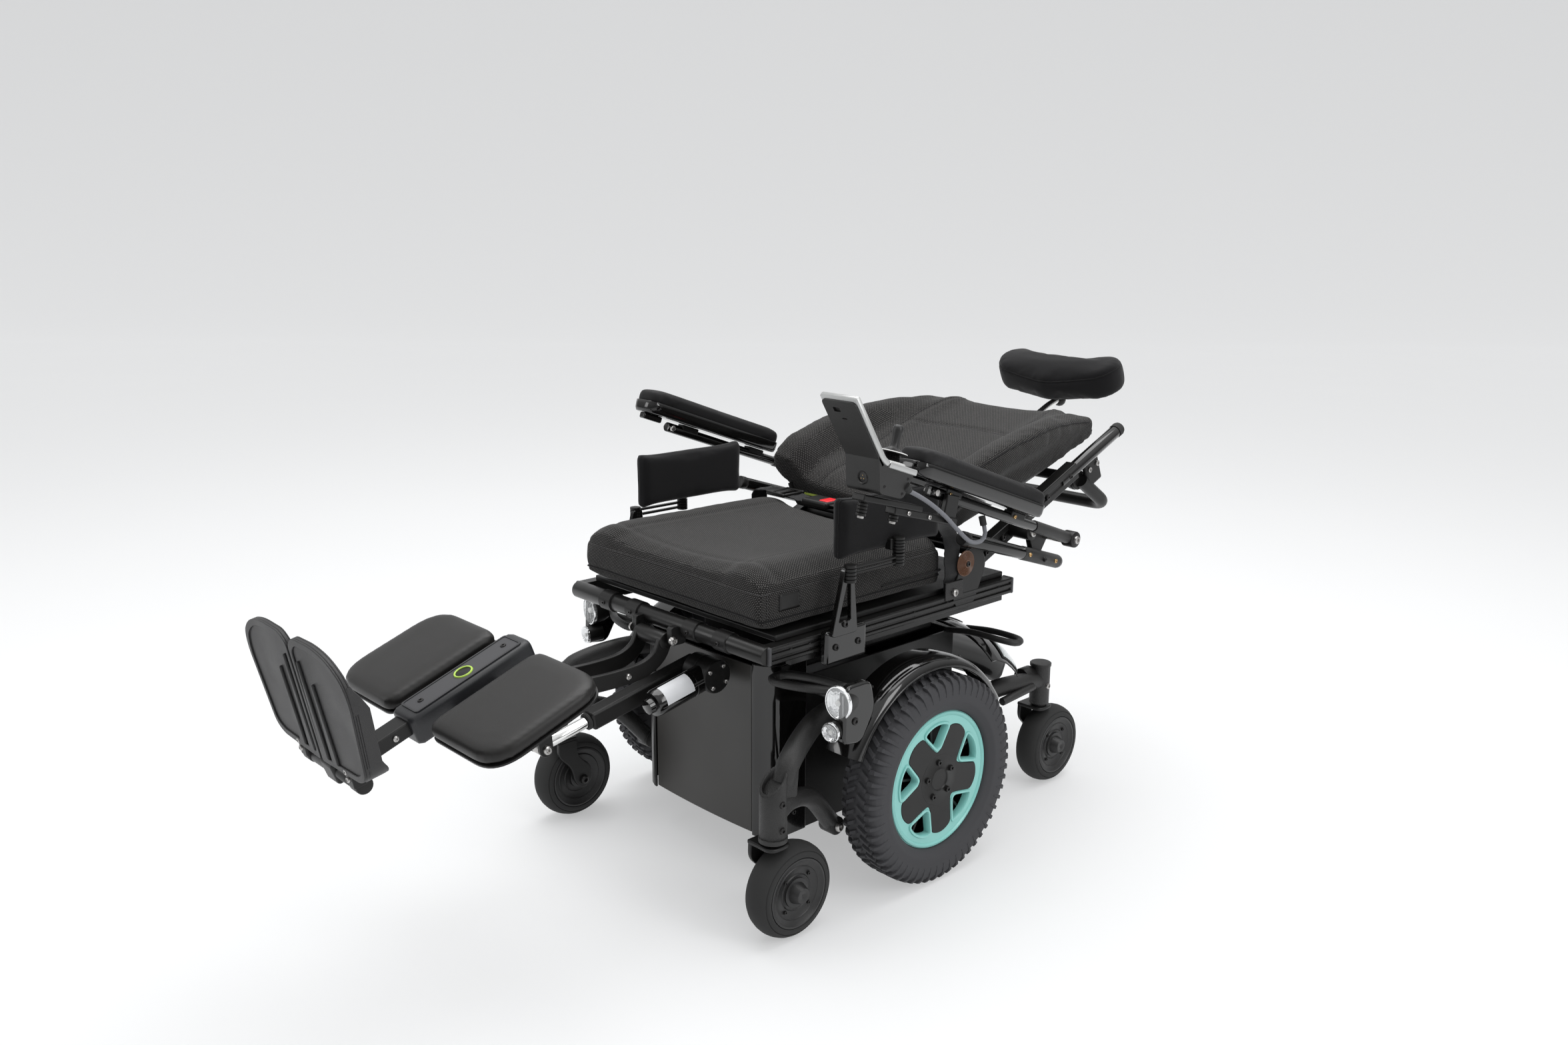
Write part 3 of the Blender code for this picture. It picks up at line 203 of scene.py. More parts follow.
def woven(name, dark, light, pitch, rough=0.88, gap=0.1, depth=0.0006, strength=0.5, mottle=0.18,
        sheen=0.1):
    """Knit or mesh cloth on the piece's own cloth map (in metres): staggered stitches over a dark ground."""
    found = bpy.data.materials.get(name)
    if found:
        return found
    made = bpy.data.materials.new(name)
    made.use_nodes = True
    tree = made.node_tree
    shader = tree.nodes["Principled BSDF"]
    shader.inputs["Roughness"].default_value = rough
    shader.inputs["Sheen Weight"].default_value = sheen
    shader.inputs["Sheen Roughness"].default_value = 0.5
    shader.inputs["Specular IOR Level"].default_value = 0.18
    chart = node(tree, "ShaderNodeUVMap", uv_map="cloth")
    stitch = node(tree, "ShaderNodeTexBrick", offset=0.5, Scale=100.0)
    stitch.inputs["Color1"].default_value = (*light, 1)
    stitch.inputs["Color2"].default_value = (*[c * 0.72 for c in light], 1)
    stitch.inputs["Mortar"].default_value = (*dark, 1)
    stitch.inputs["Mortar Size"].default_value = gap
    stitch.inputs["Mortar Smooth"].default_value = 0.35
    stitch.inputs["Brick Width"].default_value = pitch[0] * 100
    stitch.inputs["Row Height"].default_value = pitch[1] * 100
    link(tree, chart.outputs["UV"], stitch.inputs["Vector"])
    place = node(tree, "ShaderNodeTexCoord")
    cloud = node(tree, "ShaderNodeTexNoise", Scale=9.0, Detail=4.0)
    link(tree, place.outputs["Object"], cloud.inputs["Vector"])
    shade = node(tree, "ShaderNodeMapRange")
    shade.inputs["To Min"].default_value, shade.inputs["To Max"].default_value = 1 - mottle, 1 + mottle
    link(tree, cloud.outputs["Fac"], shade.inputs["Value"])
    tone = node(tree, "ShaderNodeMix", data_type="RGBA", blend_type="MULTIPLY")
    tone.inputs["Factor"].default_value = 1.0
    link(tree, stitch.outputs["Color"], tone.inputs["A"])
    link(tree, shade.outputs["Result"], tone.inputs["B"])
    link(tree, tone.outputs["Result"], shader.inputs["Base Color"])
    flip = node(tree, "ShaderNodeMath", operation="SUBTRACT")
    flip.inputs[0].default_value = 1.0
    link(tree, stitch.outputs["Fac"], flip.inputs[1])
    bump = node(tree, "ShaderNodeBump", Strength=strength, Distance=depth)
    link(tree, flip.outputs["Value"], bump.inputs["Height"])
    link(tree, bump.outputs["Normal"], shader.inputs["Normal"])
    return made


def lens_glass():
    found = bpy.data.materials.get("lens_glass")
    if found:
        return found
    made = surface("lens_glass", (0.93, 0.95, 0.96), 0.04, mottle=(40, 0.03), grain=(300, 0.05, 0.0003),
        wear=0.02, IOR=1.45, Alpha=0.2, Coat_Weight=0.5)
    return made


SPACER = partial(woven, "spacer_mesh", (0.0045, 0.0042, 0.0043), (0.105, 0.101, 0.097), (0.004, 0.0026),
    gap=0.095)
KNIT = partial(woven, "knit_cover", (0.0045, 0.0043, 0.0048), (0.0085, 0.0081, 0.0092), (0.0016,
    0.0012), gap=0.03, depth=0.0002, strength=0.35, mottle=0.15, sheen=0.12)
WEBBING = partial(woven, "belt_webbing", (0.005, 0.005, 0.0053), (0.016, 0.016, 0.017), (0.005, 0.0016),
    rough=0.6, gap=0.03, depth=0.0004, mottle=0.2, sheen=0.1)
SATIN = partial(surface, "satin_black", (0.0075, 0.0072, 0.007), 0.38, mottle=(14, 0.14), grain=(1400,
    0.12, 0.0003), Specular_IOR_Level=0.32)
GLOSS = partial(surface, "gloss_black", (0.0035, 0.0033, 0.0032), 0.11, mottle=(12, 0.15), grain=(160,
    0.02, 0.0003), wear=0.04, Coat_Weight=0.35)
PAINT = partial(surface, "powder_black", (0.008, 0.0079, 0.0078), 0.38, metallic=0.0, mottle=(22, 0.16),
    grain=(1100, 0.35, 0.0006), Specular_IOR_Level=0.35)
WRINKLE = partial(surface, "wrinkle_black", (0.0125, 0.0122, 0.012), 0.44, mottle=(30, 0.15),
    grain=(650, 0.8, 0.0009))
EXTRUSION = partial(surface, "anodised_black", (0.0095, 0.0093, 0.009), 0.32, metallic=0.3, mottle=(18,
    0.12), grain=(900, 0.12, 0.0003))
CASING = partial(surface, "dark_casing", (0.026, 0.0255, 0.026), 0.46, metallic=0.35, mottle=(25, 0.16),
    grain=(600, 0.35, 0.0005))
GREY = partial(surface, "grey_plastic", (0.034, 0.0335, 0.035), 0.48, mottle=(18, 0.1), grain=(1300,
    0.5, 0.0005))
FOOT_GREY = partial(surface, "grained_grey", (0.019, 0.0184, 0.019), 0.48, mottle=(14, 0.09),
    grain=(1000, 0.7, 0.0007))
BEAM_GREY = partial(surface, "slate_plastic", (0.017, 0.0177, 0.02), 0.4, mottle=(16, 0.1), grain=(1200,
    0.5, 0.0005))
RUBBER = partial(surface, "tyre_rubber", (0.0125, 0.0125, 0.0133), 0.62, mottle=(38, 0.26), grain=(420,
    0.4, 0.0008), wear=0.1)
CASTER_RUBBER = partial(surface, "caster_rubber", (0.0075, 0.0073, 0.0075), 0.3, mottle=(30, 0.2),
    grain=(500, 0.1, 0.0004))
CASTER_HUB = partial(surface, "caster_hub", (0.013, 0.0128, 0.013), 0.42, mottle=(30, 0.15),
    grain=(1000, 0.35, 0.0004))
TEAL = partial(surface, "teal_plastic", (0.27, 0.64, 0.61), 0.26, mottle=(10, 0.05), grain=(120, 0.03,
    0.0004), wear=0.05, Coat_Weight=0.25)
VINYL = partial(surface, "calf_vinyl", (0.0085, 0.0078, 0.0072), 0.4, mottle=(10, 0.1), grain=(1500,
    0.45, 0.0004), Sheen_Weight=0.03, Specular_IOR_Level=0.35)
CHROME = partial(surface, "chrome", (0.82, 0.82, 0.81), 0.1, metallic=1.0, mottle=(40, 0.03),
    grain=(300, 0.02, 0.0002), wear=0.05)
ZINC = partial(surface, "zinc_steel", (0.45, 0.44, 0.43), 0.3, metallic=1.0, mottle=(120, 0.15),
    grain=(900, 0.2, 0.0003))
BLACK_BOLT = partial(surface, "black_bolt", (0.03, 0.029, 0.029), 0.3, metallic=0.7, mottle=(200, 0.2),
    grain=(1500, 0.3, 0.0003))
SILVER = partial(surface, "silver_paint", (0.5, 0.505, 0.5), 0.36, metallic=0.55, mottle=(60, 0.04),
    grain=(900, 0.03, 0.0001), wear=0.03)
REMOTE_GREY = partial(surface, "remote_grey", (0.013, 0.0127, 0.0124), 0.42, mottle=(20, 0.08),
    grain=(1500, 0.4, 0.0003))
CABLE = partial(surface, "cable_jacket", (0.05, 0.0515, 0.057), 0.42, mottle=(50, 0.12), grain=(700,
    0.25, 0.0004))
LIME = partial(surface, "lime_cloth", (0.33, 0.42, 0.06), 0.7, mottle=(60, 0.18), grain=(1500, 0.6,
    0.0005))
LIME_RING = partial(surface, "lime_ring", (0.42, 0.62, 0.09), 0.4, mottle=(60, 0.08), grain=(800, 0.2,
    0.0003))
WHITE = partial(surface, "white_strip", (0.7, 0.7, 0.69), 0.5, mottle=(50, 0.05), grain=(900, 0.2,
    0.0003))
RED = partial(surface, "release_red", (0.75, 0.012, 0.02), 0.3, mottle=(40, 0.08), grain=(500, 0.1,
    0.0003))
RED_LENS = partial(surface, "red_lens", (0.62, 0.014, 0.014), 0.1, mottle=(60, 0.1), grain=(200, 0.05,
    0.0003), Coat_Weight=0.6)
BROWN = partial(surface, "brown_disc", (0.105, 0.044, 0.02), 0.45, mottle=(26, 0.22), grain=(500, 0.25,
    0.0005))
BRASS = partial(surface, "pin_brass", (0.62, 0.42, 0.2), 0.28, metallic=1.0, mottle=(300, 0.1),
    grain=(900, 0.1, 0.0002))
REFLECTOR = partial(surface, "reflector", (0.86, 0.87, 0.88), 0.1, metallic=0.9, mottle=(90, 0.06),
    grain=(260, 0.5, 0.0012), wear=0.05)
BADGE = partial(surface, "badge_window", (0.62, 0.66, 0.66), 0.25, mottle=(26, 0.1), grain=(300, 0.1,
    0.0004), Coat_Weight=0.5)
LABEL = partial(surface, "label_paper", (0.66, 0.67, 0.69), 0.4, mottle=(90, 0.05), grain=(900, 0.1,
    0.0002))

FRONT = partial(surface, "front_satin", (0.026, 0.0245, 0.0225), 0.36, mottle=(8, 0.1), grain=(900, 0.1,
    0.0003), wear=0.05)
THREAD = partial(surface, "thread", (0.04, 0.039, 0.04), 0.8, mottle=(300, 0.15), grain=(1500, 0.3,
    0.0003))
ARM_SKIN = partial(surface, "arm_skin", (0.006, 0.0057, 0.0062), 0.58, mottle=(12, 0.12), grain=(1500,
    0.5, 0.0004), Sheen_Weight=0.04, Specular_IOR_Level=0.22)
KNOB = partial(surface, "knob_rubber", (0.007, 0.0068, 0.007), 0.45, mottle=(40, 0.12), grain=(900,
    0.15, 0.0003))


# ---- geometry helpers ----------------------------------------------------------------------------
def emit(name, bm, finish, body, bevel=0.0, segments=2, sharp=38, subdivide=0):
    """Link a finished bmesh (in the chair's frame) as a piece riding on a CAD body."""
    bmesh.ops.recalc_face_normals(bm, faces=bm.faces)
    bmesh.ops.translate(bm, verts=bm.verts, vec=OFFSET)
    mesh = bpy.data.meshes.new(name)
    bm.to_mesh(mesh)
    bm.free()
    mesh.materials.append(finish)
    piece = bpy.data.objects.new(name, mesh)
    bpy.context.scene.collection.objects.link(piece)
    if bevel:
        edge = piece.modifiers.new("edges", "BEVEL")
        edge.width, edge.segments = bevel, segments
        edge.limit_method, edge.angle_limit = "ANGLE", radians(30)
        edge.harden_normals = False
    if subdivide:
        smooth = piece.modifiers.new("smooth", "SUBSURF")
        smooth.levels = smooth.render_levels = subdivide
    mesh.shade_smooth()
    mesh.set_sharp_from_angle(angle=radians(sharp))
    if bevel:
        mesh.shade_smooth()
        flat = piece.modifiers.new("normals", "WEIGHTED_NORMAL")
        flat.keep_sharp = True
    if body:
        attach(piece, body)
    return piece


def along_frame(tilt):
    """Columns: the side plane's tilted +Y, its upward normal, and +X."""
    return Matrix((Vector((0, cos(tilt), sin(tilt))), Vector((0, -sin(tilt), cos(tilt))), Vector((1, 0,
        0)))).transposed()


def off(origin, tilt, along, normal=0.0, x=0.0):
    return Vector((x, origin[0] + along * cos(tilt) - normal * sin(tilt),
        origin[1] + along * sin(tilt) + normal * cos(tilt)))


def block(name, size, centre, finish, body, tilt=0.0, bevel=0.002, turn=None, segments=2):
    bm = bmesh.new()
    bmesh.ops.create_cube(bm, size=1.0, matrix=Matrix.Diagonal((*size, 1.0)))
    rotation = turn if turn is not None else Matrix.Rotation(tilt, 4, "X")
    bmesh.ops.transform(bm, verts=bm.verts, matrix=Matrix.Translation(Vector(centre)) @ rotation.to_4x4())
    return emit(name, bm, finish, body, bevel, segments)


def add_lathe(bm, profile, origin, axis, steps=48, ring=False):
    """Turn a (radius, height) profile about an axis through origin."""
    axis = Vector(axis).normalized()
    turn = Vector((0, 0, 1)).rotation_difference(axis).to_matrix()
    rings = []
    for radius, height in profile:
        if radius < 1e-6:
            rings.append([bm.verts.new(Vector(origin) + turn @ Vector((0, 0, height)))])
        else:
            rings.append([bm.verts.new(Vector(origin) + turn @ Vector((radius * cos(a), radius * sin(a),
                height))) for a in (2 * pi * i / steps for i in range(steps))])
    pairs = list(zip(rings, rings[1:])) + ([(rings[-1], rings[0])] if ring else [])
    for lower, upper in pairs:
        for i in range(steps):
            j = (i + 1) % steps
            corners = [lower[i % len(lower)], lower[j % len(lower)], upper[j % len(upper)],
                upper[i % len(upper)]]
            unique = list(dict.fromkeys(corners))
            if len(unique) > 2:
                bm.faces.new(unique)


def lathe(name, profile, origin, axis, finish, body, steps=48, ring=False, sharp=38):
    bm = bmesh.new()
    add_lathe(bm, profile, origin, axis, steps, ring)
    return emit(name, bm, finish, body, sharp=sharp)


def puck(radius, half, edge=0.0015):
    """The lathe profile of a disc with rounded rims."""
    return [(0, -half), (radius - edge, -half), (radius - edge * 0.3, -half + edge * 0.3), (radius,
        -half + edge), (radius, half - edge), (radius - edge * 0.3, half - edge * 0.3), (radius - edge,
        half), (0, half)]


def disc(name, radius, thickness, centre, axis, finish, body, edge=0.0015, steps=40):
    return lathe(name, puck(radius, thickness / 2, edge), centre, axis, finish, body, steps)


def bolt_profile(radius, height):
    recess = radius * 0.45
    return [(0, height * 0.35), (recess, height * 0.35), (recess, height * 0.95), (radius * 0.6,
        height), (radius * 0.92, height * 0.75), (radius, height * 0.25), (radius, -0.001), (0, -0.001)]


def bolts(name, places, axis, radius, finish, body, height=None):
    """Socket heads that share a size, as one piece."""
    bm = bmesh.new()
    for place in places:
        add_lathe(bm, bolt_profile(radius, height or radius * 0.7), place, axis, 18)
    return emit(name, bm, finish, body, sharp=30)


def smooth_path(points, step=0.008, closed=False):
    """A Catmull-Rom curve through the points, sampled about every step."""
    knots = [Vector(p) for p in points]
    if closed:
        knots = [knots[-1]] + knots + knots[:2]
    else:
        knots = [2 * knots[0] - knots[1]] + knots + [2 * knots[-1] - knots[-2]]
    path = [knots[1]]
    for a, b, c, d in zip(knots, knots[1:], knots[2:], knots[3:]):
        count = max(1, round((c - b).length / step))
        for i in range(1, count + 1):
            t = i / count
            path.append(0.5 * (2 * b + (c - a) * t + (2 * a - 5 * b + 4 * c - d) * t ** 2
                + (3 * b - a - 3 * c + d) * t ** 3))
    return path[:-1] if closed else path


def rounded_path(points, radius, count=8):
    knots = [Vector(p) for p in points]
    path = [knots[0]]
    for before, corner, after in zip(knots, knots[1:], knots[2:]):
        start = corner + (before - corner).normalized() * radius
        end = corner + (after - corner).normalized() * radius
        for i in range(count + 1):
            t = i / count
            path.append((1 - t) ** 2 * start + 2 * t * (1 - t) * corner + t ** 2 * end)
    return path + [knots[-1]]


def add_sweep(bm, path, section, closed=False, up=None, cap=True):
    """Sweep a closed 2D section (side, normal) along a path, keeping it untwisted."""
    points = [Vector(p) for p in path]
    count = len(points)
    rings, normal = [], None
    for i, point in enumerate(points):
        ahead = points[(i + 1) % count] if closed or i + 1 < count else points[i]
        behind = points[i - 1] if closed or i else points[i]
        way = (ahead - behind).normalized()
        if up is not None:
            normal = (Vector(up) - way * way.dot(Vector(up))).normalized()
        elif normal is None:
            other = Vector((0, 0, 1)) if abs(way.z) < 0.9 else Vector((1, 0, 0))
            normal = (other - way * way.dot(other)).normalized()
        else:
            normal = (normal - way * way.dot(normal)).normalized()
        side = way.cross(normal)
        shape = section(i / max(count - 1, 1)) if callable(section) else section
        rings.append([bm.verts.new(point + side * u + normal * v) for u, v in shape])
    pairs = list(zip(rings, rings[1:])) + ([(rings[-1], rings[0])] if closed else [])
    for a, b in pairs:
        for i in range(len(a)):
            j = (i + 1) % len(a)
            bm.faces.new((a[i], a[j], b[j], b[i]))
    if cap and not closed:
        bm.faces.new(rings[0][::-1])
        bm.faces.new(rings[-1])


def circle(radius, sides=20):
    return [(radius * cos(2 * pi * i / sides), radius * sin(2 * pi * i / sides)) for i in range(sides)]


def flat_section(half_width, half_thick):
    """A strap's section with rounded selvedges."""
    edge = min(half_thick, half_width * 0.3)
    return [(-half_width, 0), (-half_width + edge, -half_thick), (half_width - edge, -half_thick),
        (half_width, 0), (half_width - edge, half_thick), (-half_width + edge, half_thick)]


def pipe(name, path, radius, finish, body, sides=20, closed=False):
    bm = bmesh.new()
    add_sweep(bm, path, circle(radius, sides), closed)
    return emit(name, bm, finish, body, sharp=60)


def bar(name, start, end, radius, finish, body, edge=0.0012, steps=32, end_radius=None):
    """A straight round bar with softened ends."""
    start, end = Vector(start), Vector(end)
    length = (end - start).length
    last = radius if end_radius is None else end_radius
    profile = [(0, 0), (radius - edge, 0), (radius - edge * 0.3, edge * 0.3), (radius, edge), (last,
        length - edge), (last - edge * 0.3, length - edge * 0.3), (last - edge, length), (0, length)]
    return lathe(name, profile, start, end - start, finish, body, steps)


def arc(centre, radius, start, end, count=6):
    angles = [radians(start + (end - start) * i / (count - 1)) for i in range(count)]
    return [(centre[0] + radius * cos(a), centre[1] + radius * sin(a)) for a in angles]


def band(path, half_width, count=9):
    points = [Vector(p) for p in path]
    left, right = [], []
    for i, point in enumerate(points):
        ahead = points[min(i + 1, len(points) - 1)] - points[max(i - 1, 0)]
        side = Vector((-ahead.y, ahead.x)).normalized() * half_width
        left.append(tuple(point + side))
        right.append(tuple(point - side))
    ends = []
    for point, way in ((points[-1], points[-1] - points[-2]), (points[0], points[0] - points[1])):
        facing = atan2(way.y, way.x) * 180 / pi
        ends.append(arc(tuple(point), half_width, facing + 90, facing - 90, count)[1:-1])
    return left + ends[0] + right[::-1] + ends[1]


def rounded_outline(points, radius, count=5):
    """Round every corner of a closed outline; radius may be one number or one for each corner."""
    radii = radius if isinstance(radius, (list, tuple)) else [radius] * len(points)
    made = []
    for i, (point, cut) in enumerate(zip(points, radii)):
        corner = Vector(point)
        before, after = Vector(points[i - 1]), Vector(points[(i + 1) % len(points)])
        reach = min(cut, (before - corner).length * 0.49, (after - corner).length * 0.49)
        start = corner + (before - corner).normalized() * reach
        end = corner + (after - corner).normalized() * reach
        for k in range(count + 1):
            t = k / count
            made.append(tuple((1 - t) ** 2 * start + 2 * t * (1 - t) * corner + t ** 2 * end))
    return made


def plate(name, loops, thickness, origin, turn, finish, body, bevel=0.001, segments=2, sharp=38):
    """A flat part from closed outlines, the later ones being holes; turn's columns are its axes."""
    curve = bpy.data.curves.new(name, "CURVE")
    curve.dimensions, curve.fill_mode, curve.extrude = "2D", "BOTH", thickness / 2
    for loop in loops:
        spline = curve.splines.new("POLY")
        spline.points.add(len(loop) - 1)
        for point, (u, v) in zip(spline.points, loop):
            point.co = (u, v, 0, 1)
        spline.use_cyclic_u = True
    holder = bpy.data.objects.new(name, curve)
    bpy.context.scene.collection.objects.link(holder)
    bpy.context.view_layer.update()
    mesh = bpy.data.meshes.new_from_object(holder.evaluated_get(bpy.context.evaluated_depsgraph_get()))
    bpy.data.objects.remove(holder)
    bm = bmesh.new()
    bm.from_mesh(mesh)
    bpy.data.meshes.remove(mesh)
    bmesh.ops.remove_doubles(bm, verts=bm.verts, dist=0.00001)
    bmesh.ops.dissolve_limit(bm, angle_limit=0.001, verts=bm.verts, edges=bm.edges)
    bmesh.ops.transform(bm, verts=bm.verts, matrix=Matrix.Translation(Vector(origin)) @ turn.to_4x4())
    return emit(name, bm, finish, body, bevel, segments, sharp)


def loft_rings(bm, rings, cap=True, closed=True):
    rows = [[bm.verts.new(p) for p in ring] for ring in rings]
    for a, b in zip(rows, rows[1:]):
        for i in range(len(a) if closed else len(a) - 1):
            j = (i + 1) % len(a)
            bm.faces.new((a[i], a[j], b[j], b[i]))
    if cap:
        bm.faces.new(rows[0][::-1])
        bm.faces.new(rows[-1])


def add_grid(bm, grid):
    """Faces between the rows of an open grid of vertices."""
    for a, b in zip(grid, grid[1:]):
        for i in range(len(a) - 1):
            bm.faces.new((a[i], a[i + 1], b[i + 1], b[i]))


def thicken(piece, thickness, offset=0):
    sheet = piece.modifiers.new("thick", "SOLIDIFY")
    sheet.thickness, sheet.offset = thickness, offset
    return piece


def loft(name, rings, finish, body, bevel=0.0, sharp=38, subdivide=0, cap=True):
    bm = bmesh.new()
    loft_rings(bm, rings, cap)
    return emit(name, bm, finish, body, bevel, 2, sharp, subdivide)


def stand_for(piece, *nodes):
    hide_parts(*nodes)
    return piece


def coat(finish, *nodes):
    """Give carried-over CAD nodes a worked material."""
    for name in nodes:
        NODES[name].data.materials.clear()
        NODES[name].data.materials.append(finish)


# ---- cloth ---------------------------------------------------------------------------------------
def cloth_map(piece, turn=0.0):
    """Lay a cloth map in metres over a piece: each face is charted along the axis it faces most."""
    mesh = piece.data
    chart = mesh.uv_layers.get("cloth") or mesh.uv_layers.new(name="cloth")
    tilt = Matrix.Rotation(-turn, 3, "X")
    for face in mesh.polygons:
        normal = tilt @ face.normal
        axis = max(range(3), key=lambda k: abs(normal[k]))
        u, v = ((1, 2), (0, 2), (0, 1))[axis]
        for corner in face.loop_indices:
            point = tilt @ mesh.vertices[mesh.loops[corner].vertex_index].co
            chart.data[corner].uv = (point[u], point[v])


def remesh(piece, voxel):
    step = piece.modifiers.new("even", "REMESH")
    step.mode, step.voxel_size = "VOXEL", voxel
    apply_modifiers(piece)


def apply_modifiers(piece):
    bpy.context.view_layer.update()
    depsgraph = bpy.context.evaluated_depsgraph_get()
    mesh = bpy.data.meshes.new_from_object(piece.evaluated_get(depsgraph))
    old = piece.data
    piece.modifiers.clear()
    piece.data = mesh
    bpy.data.meshes.remove(old)


def vertex_array(mesh):
    values = np.zeros(len(mesh.vertices) * 3)
    mesh.vertices.foreach_get("co", values)
    return values.reshape(-1, 3)


def normal_array(mesh):
    values = np.zeros(len(mesh.vertices) * 3)
    mesh.vertex_normals.foreach_get("vector", values)
    return values.reshape(-1, 3)


def puff(piece, cap, pressure=4.0, frames=20, shrink=0.0):
    """Fill a pad like a stitched cover: cloth under pressure, no point moving further than cap."""
    rest = vertex_array(piece.data)
    cloth = piece.modifiers.new("cloth", "CLOTH")
    cloth.settings.quality = 5
    cloth.settings.mass = 0.25
    cloth.settings.tension_stiffness = cloth.settings.compression_stiffness = 12
    cloth.settings.shear_stiffness, cloth.settings.bending_stiffness = 8, 0.6
    cloth.settings.use_pressure = True
    cloth.settings.uniform_pressure_force = pressure
    cloth.settings.shrink_min = shrink
    cloth.settings.effector_weights.gravity = 0
    cloth.collision_settings.use_self_collision = False
    cloth.collision_settings.use_collision = False
    scene = bpy.context.scene
    cloth.point_cache.frame_start, cloth.point_cache.frame_end = 1, frames
    for number in range(1, frames + 1):
        scene.frame_set(number)
    depsgraph = bpy.context.evaluated_depsgraph_get()
    filled = piece.evaluated_get(depsgraph).to_mesh()
    moved = vertex_array(filled)
    piece.evaluated_get(depsgraph).to_mesh_clear()
    piece.modifiers.clear()
    scene.frame_set(1)
    shift = moved - rest
    length = np.linalg.norm(shift, axis=1, keepdims=True)
    shift *= np.minimum(1, cap / np.maximum(length, 1e-9))
    piece.data.vertices.foreach_set("co", (rest + shift).ravel())
    piece.data.update()


def relax(piece, rounds=6, factor=0.5):
    step = piece.modifiers.new("relax", "SMOOTH")
    step.factor, step.iterations = factor, rounds
    apply_modifiers(piece)


def groove(piece, line, depth, width):
    """Press a sewn channel into a pad along a line of points in the chair's frame."""
    tree = KDTree(len(line))
    for i, point in enumerate(line):
        tree.insert(Vector(point) + OFFSET, i)
    tree.balance()
    places, normals = vertex_array(piece.data), normal_array(piece.data)
    for i, place in enumerate(places):
        _, _, away = tree.find(place)
        if away < 3 * width:
            places[i] -= normals[i] * depth * np.exp(-(away / width) ** 2)
    piece.data.vertices.foreach_set("co", places.ravel())
    piece.data.update()


def on_surface(piece, points, lift=0.0004):
    """Drop points (chair's frame) onto a piece's surface, a little proud of it."""
    found = []
    for point in points:
        _, place, normal, _ = piece.closest_point_on_mesh(Vector(point) + OFFSET)
        found.append(place + normal * lift - OFFSET)
    return found


def stitch_row(name, piece, points, finish, body, pitch=0.0045, radius=0.00055, length=0.003):
    """Short raised stitches along a line on a pad."""
    path = on_surface(piece, smooth_path(points, 0.0015), 0.0003)
    bm = bmesh.new()
    travelled, start = 0.0, None
    for a, b in zip(path, path[1:]):
        if start is None:
            start = a
        travelled += (b - a).length
        if travelled >= length:
            add_sweep(bm, [start, (start + b) / 2, b], circle(radius, 6))
            start, travelled = None, -(pitch - length)
        if travelled < 0:
            start = None
    return emit(name, bm, finish, body)


def finish_cloth(piece, finish, body, turn=0.0, subdivide=1, nodes=()):
    piece.data.materials.clear()
    piece.data.materials.append(finish)
    piece.data.shade_smooth()
    cloth_map(piece, turn)
    if subdivide:
        step = piece.modifiers.new("smooth", "SUBSURF")
        step.levels = step.render_levels = subdivide
    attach(piece, body)
    if nodes:
        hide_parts(*nodes)
    return piece


# ---- wheels --------------------------------------------------------------------------------------
def on_wheel(sign, radius, angle, x):
    return Vector((sign * x, radius * cos(angle), WHEEL_R + radius * sin(angle)))


def make_tyre(side, sign):
    """The tyre's body, then its chevron tread and the shoulder lugs that run onto the sidewall."""
    half = 0.037
    profile = [(0.119, -0.026), (0.124, -0.031), (0.138, -0.0345), (0.152, -half), (0.163, -0.0355),
        (0.1695, -0.031), (0.1725, -0.022), (0.1735, 0.0), (0.1725, 0.022), (0.1695, 0.031), (0.163,
        0.0355), (0.152, half), (0.138, 0.0345), (0.134, 0.035), (0.1325, 0.034), (0.124, 0.031),
        (0.119, 0.026)]
    body = lathe(f"tyre_{side}", profile, (sign * WHEEL_X, 0, WHEEL_R), (sign, 0, 0), RUBBER(),
        f"wheel_{side}", steps=120, ring=True, sharp=50)
    bm = bmesh.new()
    count = 58
    for i in range(count):
        turn = 2 * pi * i / count
        for hand in (1, -1):
            shift = 0.0 if hand > 0 else pi / count
            # a centre block slanted across its half of the crown
            lug(bm, sign, [(0.0025, turn + shift), (0.019, turn + shift + 0.05)], hand, 0.004, 0.1725,
                0.1778)
            # a shoulder block, carried round the corner onto the sidewall
            shoulder(bm, sign, turn + shift + 0.078, hand)
    return stand_for(body, f"drive_tyre_{side}"), emit(f"tread_{side}", bm, RUBBER(), f"wheel_{side}",
        sharp=30)


def lug(bm, sign, path, hand, half, low, high):
    (u0, t0), (u1, t1) = path
    spread = half / WHEEL_R
    corners = [(u0, t0 - spread), (u1, t1 - spread), (u1, t1 + spread), (u0, t0 + spread)]
    under = [bm.verts.new(on_wheel(sign, low, t, WHEEL_X + hand * u)) for u, t in corners]
    inset = [(u0 + 0.0008, t0 - spread * 0.8), (u1 - 0.0008, t1 - spread * 0.8), (u1 - 0.0008,
        t1 + spread * 0.8), (u0 + 0.0008, t0 + spread * 0.8)]
    over = [bm.verts.new(on_wheel(sign, high, t, WHEEL_X + hand * u)) for u, t in inset]
    prism(bm, under, over)


def prism(bm, under, over):
    count = len(under)
    bm.faces.new(under[::-1])
    bm.faces.new(over)
    for i in range(count):
        j = (i + 1) % count
        bm.faces.new((under[i], under[j], over[j], over[i]))


